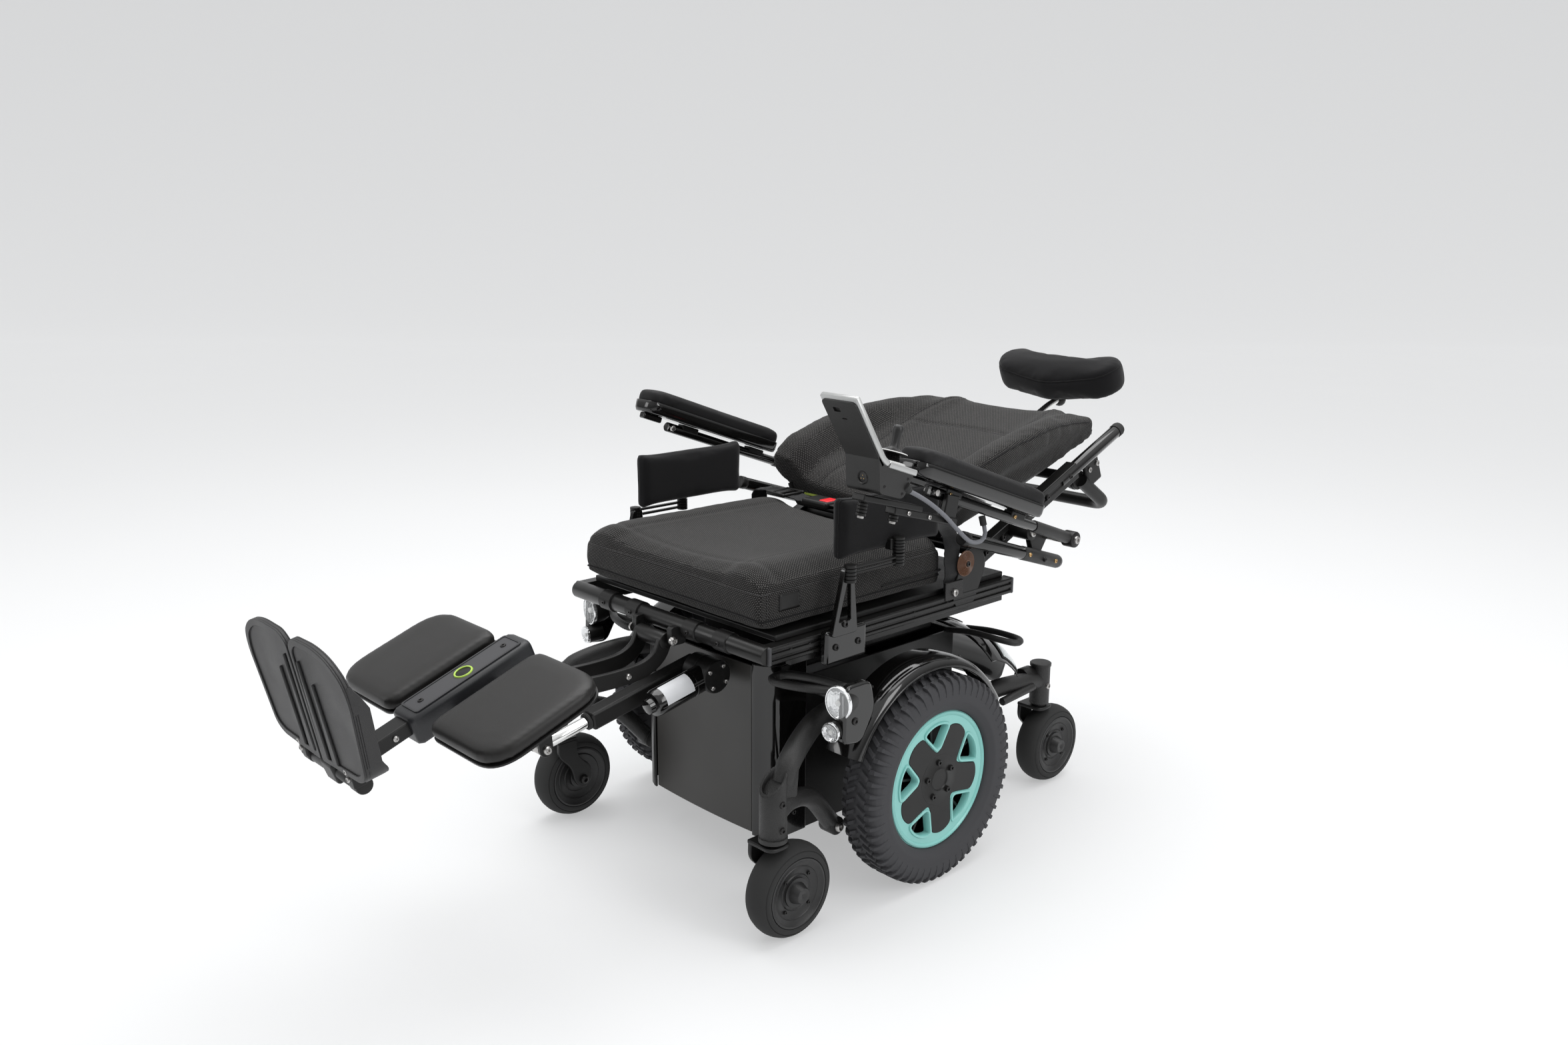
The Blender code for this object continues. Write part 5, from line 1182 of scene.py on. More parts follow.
# ---- seat ----------------------------------------------------------------------------------------
def make_seat_frame():
    length, middle = 0.59, -0.012
    pan = block("seat_pan", (0.47, length - 0.034, 0.01), (0, middle + 0.01, 0.4598), PAINT(), "seat",
        bevel=0.002)
    stand_for(pan, "seat_frame")
    for side, sign in SIDES:
        # the rail's section: a block with two long grooves down its outer face
        section = [(-0.011, -0.014), (0.0095, -0.014), (0.011, -0.0125), (0.011, -0.008), (0.0075,
            -0.007), (0.0075, -0.004), (0.011, -0.003), (0.011, 0.003), (0.0075, 0.004), (0.0075,
            0.007), (0.011, 0.008), (0.011, 0.0125), (0.0095, 0.014), (-0.011, 0.014)]
        rings = [[(sign * (0.242 + u), y, 0.441 + v) for u, v in section] for y in (-0.304, 0.28)]
        loft(f"seat_rail_{side}", rings, EXTRUSION(), "seat", bevel=0.0006)
        for end, y in (("front", -0.3065), ("rear", 0.2825)):
            block(f"rail_cap_{end}_{side}", (0.0235, 0.006, 0.0295), (sign * 0.242, y, 0.441), GREY(),
                "seat", bevel=0.0025, segments=3)
        block(f"lower_track_{side}", (0.012, 0.52, 0.01), (sign * 0.242, 0.0, 0.4215), EXTRUSION(),
            "seat", bevel=0.001)
        bolts(f"rail_bolts_{side}", [(sign * 0.2495, y, 0.441) for y in (-0.262, -0.222, 0.02, 0.105,
            0.245)], (sign, 0, 0), 0.0048, BLACK_BOLT(), "seat", 0.003)
        # hinge plate with the ribbed brown disc
        outline = band([(0.15, 0.455), (0.17, 0.497)], 0.0325, 17)
        plate(f"hinge_plate_{side}", [outline], 0.0078, (sign * 0.2485, 0, 0), SIDE_TURN, SATIN(),
            "seat", 0.0012)
        ribbed = []
        for i in range(7):
            radius = 0.0215 - 0.0022 * i
            ribbed += [(radius, 0.001 + 0.0006 * i), (radius - 0.001, 0.0024 + 0.0006 * i)]
        lathe(f"hinge_disc_{side}", [(0.0225, 0), (0.0225, 0.001)] + ribbed + [(0, 0.0062)],
            (sign * 0.253, 0.147, 0.506), (sign, 0, 0), BROWN(), "seat", 48, sharp=20)
        bolts(f"hinge_disc_bolt_{side}", [(sign * 0.2588, 0.147, 0.506)], (sign, 0, 0), 0.005,
            BLACK_BOLT(), "seat", 0.0025)
        block(f"tilt_ear_{side}", (0.012, 0.034, 0.064), (sign * 0.1375, TILT_Y, 0.4265), PAINT(),
            "seat", bevel=0.003)
        bolts(f"tilt_ear_bolt_{side}", [(sign * 0.144, TILT_Y, TILT_Z)], (sign, 0, 0), 0.0085, ZINC(),
            "seat", 0.006)
        plate(f"knee_lug_{side}", [rounded_outline([(-0.337, 0.415), (-0.307, 0.415), (-0.307, 0.446),
            (-0.337, 0.446)], 0.006)], 0.0118, (sign * 0.046, 0, 0), SIDE_TURN, PAINT(), "seat", 0.001)
        bolts(f"knee_bolt_{side}", [(sign * 0.0522, KNEE_Y, KNEE_Z + 0.004)], (sign, 0, 0), 0.008,
            ZINC(), "seat", 0.005)
    bar("front_cross_tube", (-0.2485, -0.307, 0.4415), (0.2485, -0.307, 0.4415), 0.0148, EXTRUSION(),
        "seat")
    for label, x in (("a", -0.15), ("b", 0.15), ("c", -0.075), ("d", 0.075)):
        lathe(f"tube_saddle_{label}", [(0.015, -0.016), (0.0172, -0.015), (0.0172, 0.015), (0.015,
            0.016)], (x, -0.307, 0.4415), (1, 0, 0), SATIN(), "seat", 40, ring=True)
        bolts(f"tube_saddle_screw_{label}", [(x, -0.324, 0.4415)], (0, -1, 0), 0.0038, BLACK_BOLT(),
            "seat", 0.0025)


def cushion_form():
    """The seat pad's starting shape: raised sides, a dip in the middle and a rounded front edge."""
    rings = []
    stations = [(-0.3105, 0.022, 0.03), (-0.3045, 0.008, 0.006), (-0.285, 0.003, 0.0), (-0.23, 0.0,
        0.0), (-0.12, 0.0, -0.001), (0.0, 0.0, -0.002), (0.085, 0.002, -0.003), (0.108, 0.006, -0.006),
        (0.1155, 0.016, -0.022)]
    for y, tuck, lift in stations:
        ring = []
        wide = 0.2345 - tuck * 0.4
        low, high = 0.47 + max(lift, 0) * 0.9, 0.556 - abs(min(lift, 0)) - max(lift, 0) * 1.1
        for x in [wide * (2 * i / 20 - 1) for i in range(21)]:
            side = abs(x / wide)
            ring.append((x, y, low + 0.006 * side ** 8))
        for x in [wide * (1 - 2 * i / 24) for i in range(25)]:
            side = abs(x / wide)
            dip = -0.0085 * (1 - min(side / 0.62, 1) ** 2) if side < 0.62 else 0.0
            ring.append((x, y, high + dip + 0.0065 * max(0,
                1 - ((side - 0.8) / 0.22) ** 2) - 0.016 * side ** 14))
        rings.append(ring)
    return rings


def make_seat_cushion():
    bm = bmesh.new()
    loft_rings(bm, cushion_form())
    pad = emit("seat_pad", bm, SPACER(), None)
    remesh(pad, 0.0056)
    relax(pad, 2)
    puff(pad, cap=0.005)
    relax(pad, 2)

    top_seam = outline_on_pad(0.2335, -0.3125, 0.118, 0.537)
    low_seam = outline_on_pad(0.2335, -0.3125, 0.118, 0.488)
    corner_seams = [[Vector((sign * 0.233, -0.295, z)) for z in np.arange(0.486, 0.541, 0.003)] for _,
        sign in SIDES]
    across = smooth_path([(-0.235, -0.262, 0.562), (0, -0.262, 0.556), (0.235, -0.262, 0.562)], 0.004)
    across = on_surface(pad, across)
    lanes = [on_surface(pad, smooth_path([(sign * 0.152, -0.265, 0.575), (sign * 0.148, -0.05, 0.575),
        (sign * 0.146, 0.1, 0.575)], 0.004)) for _, sign in SIDES]
    top_seam, low_seam = on_surface(pad, top_seam), on_surface(pad, low_seam)
    corner_seams = [on_surface(pad, line) for line in corner_seams]
    groove(pad, top_seam, 0.0028, 0.0038)
    groove(pad, low_seam, 0.0015, 0.003)
    for line in corner_seams:
        groove(pad, line, 0.0016, 0.003)
    for line in (across, *lanes):
        groove(pad, line, 0.0022, 0.006)
    finish_cloth(pad, SPACER(), "seat", nodes=("seat_cushion",))

    stitch_row("seat_stitch_low", pad, [p + Vector((0, 0, -0.0045)) for p in top_seam[::3]], THREAD(),
        "seat")
    for (_, sign), line in zip(SIDES, corner_seams):
        stitch_row(f"seat_stitch_corner_{'left' if sign > 0 else 'right'}", pad, [p + Vector((0, 0.0045,
            0)) for p in line[::3]], THREAD(), "seat")
    bm = bmesh.new()
    add_sweep(bm, low_seam, circle(0.0012, 8), closed=True)
    emit("seat_piping", bm, KNIT(), "seat", sharp=60)
    # a blank patch sewn on the near side
    patch_on(pad, "seat_patch", [(0.24, -0.268), (0.24, -0.226)], (0.499, 0.527), SATIN(), "seat")
    # the zip along the rear of the side
    zipper = on_surface(pad, smooth_path([(0.236, -0.04, 0.496), (0.236, 0.095, 0.496), (0.228, 0.1195,
        0.496), (0.1, 0.1225, 0.496)], 0.004), 0.0006)
    bm = bmesh.new()
    add_sweep(bm, zipper, flat_section(0.0045, 0.0006), up=None)
    emit("seat_zip", bm, WEBBING(), "seat")


def outline_on_pad(half, front, rear, z, round_off=0.03, step=0.006):
    corner = [(-half, front), (half, front), (half, rear), (-half, rear)]
    loop = rounded_outline(corner, round_off, 8)
    points = []
    for a, b in zip(loop, loop[1:] + loop[:1]):
        a, b = Vector((*a, z)), Vector((*b, z))
        count = max(1, round((b - a).length / step))
        points += [a.lerp(b, i / count) for i in range(count)]
    return points


def patch_on(pad, name, ends, heights, finish, body):
    """A thin rectangle laid on a pad's side, following it."""
    (x0, y0), (x1, y1) = ends
    bm = bmesh.new()
    grid = []
    for i in range(9):
        row = []
        for k in range(7):
            t, h = i / 8, heights[0] + (heights[1] - heights[0]) * k / 6
            row.append(bm.verts.new(on_surface(pad, [(x0 + (x1 - x0) * t, y0 + (y1 - y0) * t, h)],
                0.0008)[0]))
        grid.append(row)
    add_grid(bm, grid)
    return thicken(emit(name, bm, finish, body), 0.0012)


def make_belt():
    """Lap belt: crinkled webbing up from each hinge and over the pad, with its slide and buckle."""
    top, side_x = 0.564, 0.239
    half_way = [(side_x + 0.0095, 0.118, 0.464), (side_x + 0.0085, 0.118, 0.5), (side_x + 0.007, 0.118,
        0.535), (side_x + 0.001, 0.118, 0.56), (side_x - 0.016, 0.118, top + 0.0055), (0.185, 0.118,
        top + 0.0055), (0.13, 0.118, top + 0.001), (0.06, 0.118, top - 0.0025)]
    route = half_way + [(0, 0.118, top - 0.0035)] + [(-x, y, z) for x, y, z in half_way[::-1]]
    path = smooth_path(route, 0.006)
    bm = bmesh.new()
    rings = []
    for i, point in enumerate(path):
        ahead = path[min(i + 1, len(path) - 1)] - path[max(i - 1, 0)]
        across = Vector((0, 1, 0)) - ahead.normalized() * ahead.normalized().y
        across.normalize()
        out = ahead.cross(across).normalized()
        if out.z < 0 and abs(point.x) < 0.2:
            out = -out
        wobble = 0.001 * sin(i * 0.9) + 0.0007 * sin(i * 2.3 + 1)
        ring = []
        for k in range(9):
            u = (k / 4 - 1) * 0.0195
            curl = 0.0012 * (k / 4 - 1) ** 2 + 0.0005 * sin(i * 0.7 + k)
            ring.append(point + across * u + out * (curl + wobble))
        for k in range(8, -1, -1):
            u = (k / 4 - 1) * 0.0195
            curl = 0.0012 * (k / 4 - 1) ** 2 + 0.0005 * sin(i * 0.7 + k)
            ring.append(point + across * u + out * (curl + wobble - 0.0016))
        rings.append(ring)
    loft_rings(bm, rings)
    belt = emit("belt_strap", bm, WEBBING(), "seat", sharp=60)
    cloth_map(belt)
    stand_for(belt, "lap_belt")
    for side, sign in SIDES:
        block(f"belt_anchor_{side}", (0.0035, 0.046, 0.032), (sign * 0.253, 0.118, 0.464), BLACK_BOLT(),
            "seat", bevel=0.0012)
        bolts(f"belt_anchor_bolt_{side}", [(sign * 0.255, 0.118, 0.46)], (sign, 0, 0), 0.007, ZINC(),
            "seat", 0.0045)
    # three-bar slide on the near side and the buckle with its red button
    for k, x in enumerate((-0.185, -0.165, -0.145)):
        bar(f"belt_slide_bar_{k}", (x, 0.089, top + 0.0058), (x, 0.141, top + 0.0058), 0.0028, SATIN(),
            "seat")
    for k, y in enumerate((0.09, 0.14)):
        block(f"belt_slide_side_{k}", (0.048, 0.007, 0.007), (-0.165, y, top + 0.0055), SATIN(), "seat",
            bevel=0.002)
    block("belt_buckle", (0.066, 0.046, 0.014), (-0.066, 0.115, top + 0.002), SATIN(), "seat",
        bevel=0.005, segments=4)
    block("belt_button", (0.022, 0.03, 0.005), (-0.048, 0.1145, top + 0.008), RED(), "seat",
        bevel=0.0022, segments=3)
    block("belt_tongue", (0.03, 0.034, 0.0035), (-0.022, 0.1175, top + 0.003), BLACK_BOLT(), "seat",
        bevel=0.001)


def make_side_pad(side, sign):
    clamp = block(f"guide_clamp_{side}", (0.016, 0.09, 0.054), (sign * 0.262, -0.16, 0.434), GLOSS(),
        "seat", bevel=0.005, segments=4)
    stand_for(clamp, f"side_bracket_{side}")
    bolts(f"guide_clamp_screw_{side}", [(sign * 0.2702, y, 0.434) for y in (-0.185, -0.135)], (sign, 0,
        0), 0.0056, BLACK_BOLT(), "seat", 0.003)
    outline = [(-0.198, 0.452), (-0.141, 0.452), (-0.151, 0.56), (-0.17, 0.56)]
    slot = rounded_outline([(-0.183, 0.474), (-0.156, 0.474), (-0.1575, 0.54), (-0.1635, 0.54)], 0.003,
        4)
    plate(f"guide_post_{side}", [rounded_outline(outline, 0.007), slot], 0.0088, (sign * 0.27, 0, 0),
        SIDE_TURN, GLOSS(), "seat", 0.0016)
    bolts(f"guide_post_bolt_{side}", [(sign * 0.2745, -0.1695, 0.47)], (sign, 0, 0), 0.006,
        BLACK_BOLT(), "seat", 0.0035)

    def knuckle(name, y, low, high, body):
        steps = max(3, round((high - low) / 0.0055))
        profile = [(0, 0)]
        for i in range(steps):
            z0, z1 = (high - low) * i / steps, (high - low) * (i + 1) / steps
            profile += [(0.007, z0), (0.0098, z0 + 0.0007), (0.0098, z1 - 0.0007), (0.007, z1)]
        profile.append((0, high - low))
        lathe(name, profile, (sign * 0.2745, y, low), (0, 0, 1), SATIN(), body, 32, sharp=30)

    knuckle(f"guide_knuckle_front_{side}", -0.16, 0.535, 0.564, "seat")
    knuckle(f"guide_knuckle_mid_{side}", -0.05, 0.543, 0.564, "seat")
    for k, z in enumerate((0.5485, 0.5575)):
        block(f"guide_link_{side}_{k}", (0.0075, 0.11, 0.004), (sign * 0.2745, -0.105, z), SATIN(),
            "seat", bevel=0.001)
    knuckle(f"guide_knuckle_rear_{side}", -0.05, 0.565, 0.59, f"side_pad_{side}")
    block(f"guide_tab_{side}", (0.014, 0.03, 0.018), (sign * 0.2655, -0.05, 0.578), SATIN(),
        f"side_pad_{side}", bevel=0.002)

    bm = bmesh.new()
    bmesh.ops.create_cube(bm, size=1.0, matrix=Matrix.Diagonal((0.0205, 0.244, 0.0985, 1)))
    bmesh.ops.bevel(bm, geom=list(bm.edges), offset=0.0075, segments=3, affect="EDGES", profile=0.6)
    bmesh.ops.translate(bm, verts=bm.verts, vec=(sign * 0.25, -0.05, 0.6158))
    pad = emit(f"guide_pad_{side}", bm, KNIT(), None)
    remesh(pad, 0.0042)
    puff(pad, cap=0.0042)
    relax(pad, 2)
    seams = []
    for x in (0.25 - 0.0085, 0.25 + 0.0085):
        loop = rounded_outline([(-0.1735, 0.5658), (0.0735, 0.5658), (0.0735, 0.6655), (-0.1735,
            0.6655)], 0.012, 6)
        line = []
        for a, b in zip(loop, loop[1:] + loop[:1]):
            a, b = Vector(a), Vector(b)
            count = max(1, round((b - a).length / 0.004))
            line += [Vector((sign * x, *a.lerp(b, i / count))) for i in range(count)]
        seams.append(on_surface(pad, line, 0.0))
    for line in seams:
        groove(pad, line, 0.0014, 0.0022)
    finish_cloth(pad, KNIT(), f"side_pad_{side}", nodes=(f"side_pad_{side}",))
    bm = bmesh.new()
    add_sweep(bm, on_surface(pad, seams[1] if sign > 0 else seams[1], 0.0), circle(0.0009, 8), closed=True)
    emit(f"guide_pad_piping_{side}", bm, KNIT(), f"side_pad_{side}", sharp=60)


# ---- back ----------------------------------------------------------------------------------------
def on_cane(along, normal=0.0, x=0.0):
    return off(HINGE, CANE_TILT, along, normal, x)


def shell_point(along, normal, x):
    return off((0.163, 0.534), SHELL_TILT, along, normal, x)


BACK_STATIONS = ((0.0, 0.196, 0.045, 0.238, 0.13), (0.15, 0.202, 0.058, 0.238, 0.132), (0.26, 0.201,
    0.051, 0.23, 0.118), (0.33, 0.2, 0.046, 0.22, 0.104), (0.464, 0.188, 0.02, 0.202, 0.06))


def back_station(along):
    """Half width, side rise, wing reach and wing height, smoothly between the stations."""
    knots = [s[0] for s in BACK_STATIONS]
    return [float(np.interp(along, knots, [s[k] for s in BACK_STATIONS])) for k in range(1, 5)]


def make_back_frame():
    first = bar("back_cross_low", on_cane(0.06, -0.002, -0.2195), on_cane(0.06, -0.002, 0.2195), 0.011,
        EXTRUSION(), "back_frame")
    stand_for(first, "back_frame")
    for side, sign in SIDES:
        x = sign * 0.225
        section = [(-0.011, -0.016), (0.01, -0.016), (0.011, -0.015), (0.011, -0.0045), (0.0085,
            -0.0035), (0.0085, 0.0035), (0.011, 0.0045), (0.011, 0.015), (0.01, 0.016), (-0.011, 0.016)]
        rings = [[on_cane(a, v, sign * (0.225 + u)) for u, v in section] for a in (-0.004, 0.349)]
        loft(f"cane_{side}", rings, EXTRUSION(), "back_frame", bevel=0.0008)
        bar(f"handle_{side}", on_cane(0.3, 0, x), on_cane(0.505, 0, x), 0.0125, GLOSS(), "back_frame")
        lathe(f"handle_cap_{side}", [(0, 0.008), (0.008, 0.0075), (0.012, 0.005), (0.0134, 0.001),
            (0.0134, -0.01), (0.012, -0.0105), (0, -0.0105)], on_cane(0.505, 0, x), on_cane(1,
            0) - on_cane(0, 0), CASTER_RUBBER(), "back_frame", 32)
        disc(f"recline_hub_{side}", 0.018, 0.035, on_cane(0, 0, sign * 0.2265), (1, 0, 0), SATIN(),
            "back_frame", 0.002)
        disc(f"recline_drum_{side}", 0.024, 0.012, on_cane(0, 0, sign * 0.238 - sign * 0.0005), (1, 0,
            0), GLOSS(), "back_frame", 0.003)
        block(f"push_ear_{side}", (0.012, 0.044, 0.075), on_cane(0.42, -0.036, sign * 0.2105), SATIN(),
            "back_frame", tilt=CANE_TILT, bevel=0.005, segments=3)
        bolts(f"push_ear_bolts_{side}", [on_cane(a, -0.036, sign * 0.2168) for a in (0.407, 0.433)],
            (sign, 0, 0), 0.0058, ZINC(), "back_frame", 0.0035)
        bolts(f"cane_bolts_{side}", [on_cane(a, 0.0, sign * 0.2362) for a in (0.06, 0.11, 0.25, 0.325)],
            (sign, 0, 0), 0.005, BLACK_BOLT(), "back_frame", 0.003)
    bar("back_cross_high", on_cane(0.345, -0.016, -0.216), on_cane(0.345, -0.016, 0.216), 0.01,
        EXTRUSION(), "back_frame")
    block("headrest_socket", (0.046, 0.11, 0.018), on_cane(0.395, -0.019, 0), SATIN(), "back_frame",
        tilt=CANE_TILT, bevel=0.003, segments=3)
    bolts("socket_screws", [on_cane(a, -0.0095, x) for a in (0.362, 0.428) for x in (-0.016, 0.016)],
        on_cane(0, 1) - on_cane(0, 0), 0.0046, ZINC(), "back_frame", 0.0026)

    start, corner = Vector((0.205, 0.549, 0.59)), Vector((0.205, 0.64, 0.53))
    ends = [start, corner, Vector((-corner.x, corner.y, corner.z)), Vector((-start.x, start.y, start.z))]
    grip = pipe("push_grip", rounded_path(ends, 0.034, 12), 0.013, SATIN(), "back_frame", 28)
    stand_for(grip, "push_bar")
    for side, sign in SIDES:
        for k, (x, radius) in enumerate(((0.1985, 0.019), (0.1925, 0.02), (0.1865, 0.019))):
            disc(f"push_disc_{side}_{k}", radius, 0.0054, (sign * x, start.y, start.z), (1, 0, 0),
                SATIN(), "back_frame", 0.0012)
        bolts(f"push_disc_bolt_{side}", [(sign * 0.1836, start.y, start.z)], (-sign, 0, 0), 0.007,
            ZINC(), "back_frame", 0.004)


def make_back():
    # the shell, wrapped round the pad's back with a rolled edge
    rings = []
    for along in np.linspace(0.0, 0.464, 15):
        half, rise, _, _ = back_station(along)
        soft = [(-half, rise), (-half + 0.004, rise + 0.0004), (-half + 0.0105, rise * 0.45),
            (-half + 0.024, 0.0062), (-half * 0.5, 0.0046), (0, 0.0044), (half * 0.5, 0.0046),
            (half - 0.024, 0.0062), (half - 0.0105, rise * 0.45), (half - 0.004, rise + 0.0004), (half,
            rise), (half - 0.003, rise * 0.5), (half - 0.014, 0.0025), (half * 0.6, 0), (0, -0.0004),
            (-half * 0.6, 0), (-half + 0.014, 0.0025), (-half + 0.003, rise * 0.5)]
        rings.append([shell_point(along, v, x) for x, v in soft])
    shell = loft("shell", rings, SATIN(), "back", sharp=45)
    stand_for(shell, "back_shell")
    bolts("shell_bolts", [shell_point(a, -0.0008, x) for a in (0.06, 0.23, 0.4) for x in (-0.105,
        0.105)], shell_point(0, -1, 0) - shell_point(0, 0, 0), 0.0085, BLACK_BOLT(), "back", 0.004)

    bm = bmesh.new()
    rings = []
    for along in np.linspace(0.004, 0.47, 19):
        half, rise, reach, wing = back_station(along)
        ends = min(1.0, 0.84 + 4.0 * min(along - 0.004, 0.47 - along))
        crown = 0.056 * (0.8 + 0.2 * ends)
        inner = half - 0.026
        top = [(-inner, 0.0075), (-inner * 0.5, 0.007), (0, 0.007), (inner * 0.5, 0.007), (inner,
            0.0075), (half + 0.003, rise * 0.22), (half + 0.005, rise + 0.002), (reach - 0.004,
            rise + (wing - rise) * 0.42), (reach - 0.0025, wing - 0.018), (reach - 0.01, wing - 0.005),
            (reach - 0.024, wing - 0.004), (reach - 0.05, wing - 0.014), (reach - 0.08, crown + 0.012),
            (0.1, crown + 0.001), (0.05, crown - 0.003), (0, crown - 0.004)]
        left = [(-x, v) for x, v in top[5:15]][::-1]
        ring = top + left
        rings.append([shell_point(along, v * (1 if v < rise else ends),
            x * (0.985 + 0.015 * ends)) for x, v in ring])
    loft_rings(bm, rings)
    pad = emit("back_pad", bm, SPACER(), None)
    remesh(pad, 0.006)
    relax(pad, 5)
    puff(pad, cap=0.0055)
    relax(pad, 2)

    seams = []
    for sign in (1, -1):
        arc_line = [shell_point(a, 0.14, sign * x) for a, x in ((0.004, 0.118), (0.09, 0.112), (0.19,
            0.12), (0.29, 0.132), (0.39, 0.128), (0.462, 0.112))]
        seams.append(on_surface_from(pad, smooth_path(arc_line, 0.005), SHELL_TILT))
    cross = [shell_point(a, 0.1, x) for x, a in ((-0.128, 0.3), (-0.06, 0.318), (0, 0.324), (0.06,
        0.318), (0.128, 0.3))]
    seams.append(on_surface_from(pad, smooth_path(cross, 0.005), SHELL_TILT))
    for line in seams:
        groove(pad, line, 0.003, 0.0048)
    edge = []
    for sign in (1, -1):
        line = []
        for along in np.linspace(0.012, 0.456, 60):
            half, rise, reach, wing = back_station(along)
            line.append(shell_point(along, wing - 0.014, sign * (reach + 0.004)))
        edge.append(on_surface(pad, line, 0.0))
        groove(pad, edge[-1], 0.0018, 0.003)
    finish_cloth(pad, SPACER(), "back", turn=SHELL_TILT, nodes=("back_cushion",))

    for k, line in enumerate(seams):
        lift = Vector((0.0042 * (1 if k == 0 else -1), 0, 0)) if k < 2 else Vector((0, -0.0042, 0))
        stitch_row(f"back_stitch_{k}", pad, [p + lift for p in line[::4]], THREAD(), "back")
    for (side, _), line in zip(SIDES, edge):
        bm = bmesh.new()
        add_sweep(bm, on_surface(pad, line, 0.0002), circle(0.0013, 8))
        emit(f"back_piping_{side}", bm, KNIT(), "back", sharp=60)
    # lime and white binding along the lower edge of the cover
    for k, (name, finish, normal) in enumerate((("lime", LIME(), 0.026), ("white", WHITE(), 0.0205))):
        line = on_surface(pad, [shell_point(0.002, normal, x) for x in np.linspace(-0.2, -0.11, 40)],
            0.0004)
        bm = bmesh.new()
        add_sweep(bm, line, flat_section(0.003 if k == 0 else 0.0015, 0.0006), up=(0, -1, 0.3))
        emit(f"back_binding_{name}", bm, finish, "back")


def on_surface_from(pad, points, tilt):
    """Project points onto a pad against the back's normal."""
    way = Vector((0, sin(tilt), -cos(tilt)))
    found = []
    for point in points:
        hit, place, _, _ = pad.ray_cast(Vector(point) + OFFSET, way)
        if hit:
            found.append(place - OFFSET)
    return found


def make_headrest():
    path = rounded_path([on_cane(0.362, -0.019, 0), on_cane(0.592, -0.019, 0), Vector((0, 0.757,
        0.708))], 0.016, 12)
    stem = pipe("headrest_post", path, 0.007, CHROME(), "headrest_stem", 24)
    stand_for(stem, "headrest_stem")
    lathe("headrest_ball", [(0, -0.0135), (0.0068, -0.0117), (0.0117, -0.0068), (0.0135, 0), (0.0117,
        0.0068), (0.0068, 0.0117), (0, 0.0135)], (0, 0.757, 0.706), (0, 0, 1), SATIN(), "headrest_stem",
        32)
    disc("headrest_lock", 0.0125, 0.012, on_cane(0.47, -0.019, 0), tuple(on_cane(1, 0) - on_cane(0, 0)),
        SATIN(), "headrest_stem", 0.002)
    along = Vector((0, cos(CANE_TILT), sin(CANE_TILT)))
    normal = Vector((0, -sin(CANE_TILT), cos(CANE_TILT)))
    centre = Vector((-0.006, 0.7545, 0.757))
    disc("headrest_cup", 0.02, 0.012, centre - normal * 0.0385, tuple(normal), SATIN(), "headrest_pad",
        0.003)

    shape = (arc((0.1, 0.01), 0.049, -75, 70, 12) + [(0.075, 0.048), (0.05, 0.044), (0, 0.0375), (-0.05,
        0.044), (-0.075, 0.048)] + arc((-0.1, 0.01), 0.049, 110, 255, 12) + [(-0.05, -0.049), (0,
        -0.057), (0.05, -0.049)])
    bm = bmesh.new()
    rings = []
    for height, size in ((-0.031, 0.8), (-0.0285, 0.93), (-0.018, 0.99), (0.0, 1.0), (0.016, 0.985),
            (0.025, 0.92), (0.0305, 0.78)):
        ring = []
        for u, v in shape:
            bend = 0.0 + 0.012 * (abs(u) / 0.15) ** 2 * (1 if height > 0 else 0.7)
            ring.append(centre + Vector((u * (0.6 + 0.4 * size), 0,
                0)) + along * v * size + normal * (height + bend - 0.004))
        rings.append(ring)
    loft_rings(bm, rings)
    pad = emit("headrest_cushion", bm, KNIT(), None)
    remesh(pad, 0.005)
    relax(pad, 3)
    puff(pad, cap=0.005)
    relax(pad, 2)
    loop = []
    for u, v in shape + shape[:1]:
        bend = 0.012 * (abs(u) / 0.15) ** 2
        loop.append(centre + Vector((u * 1.02, 0, 0)) + along * v * 1.05 + normal * (0.017 + bend))
    seam = on_surface(pad, smooth_path(loop[:-1], 0.004, closed=True), 0.0)
    groove(pad, seam, 0.002, 0.003)
    finish_cloth(pad, KNIT(), "headrest_pad", turn=CANE_TILT, nodes=("headrest_pad",))
    bm = bmesh.new()
    add_sweep(bm, on_surface(pad, seam, 0.0001), circle(0.0011, 8), closed=True)
    emit("headrest_piping", bm, KNIT(), "headrest_pad", sharp=60)


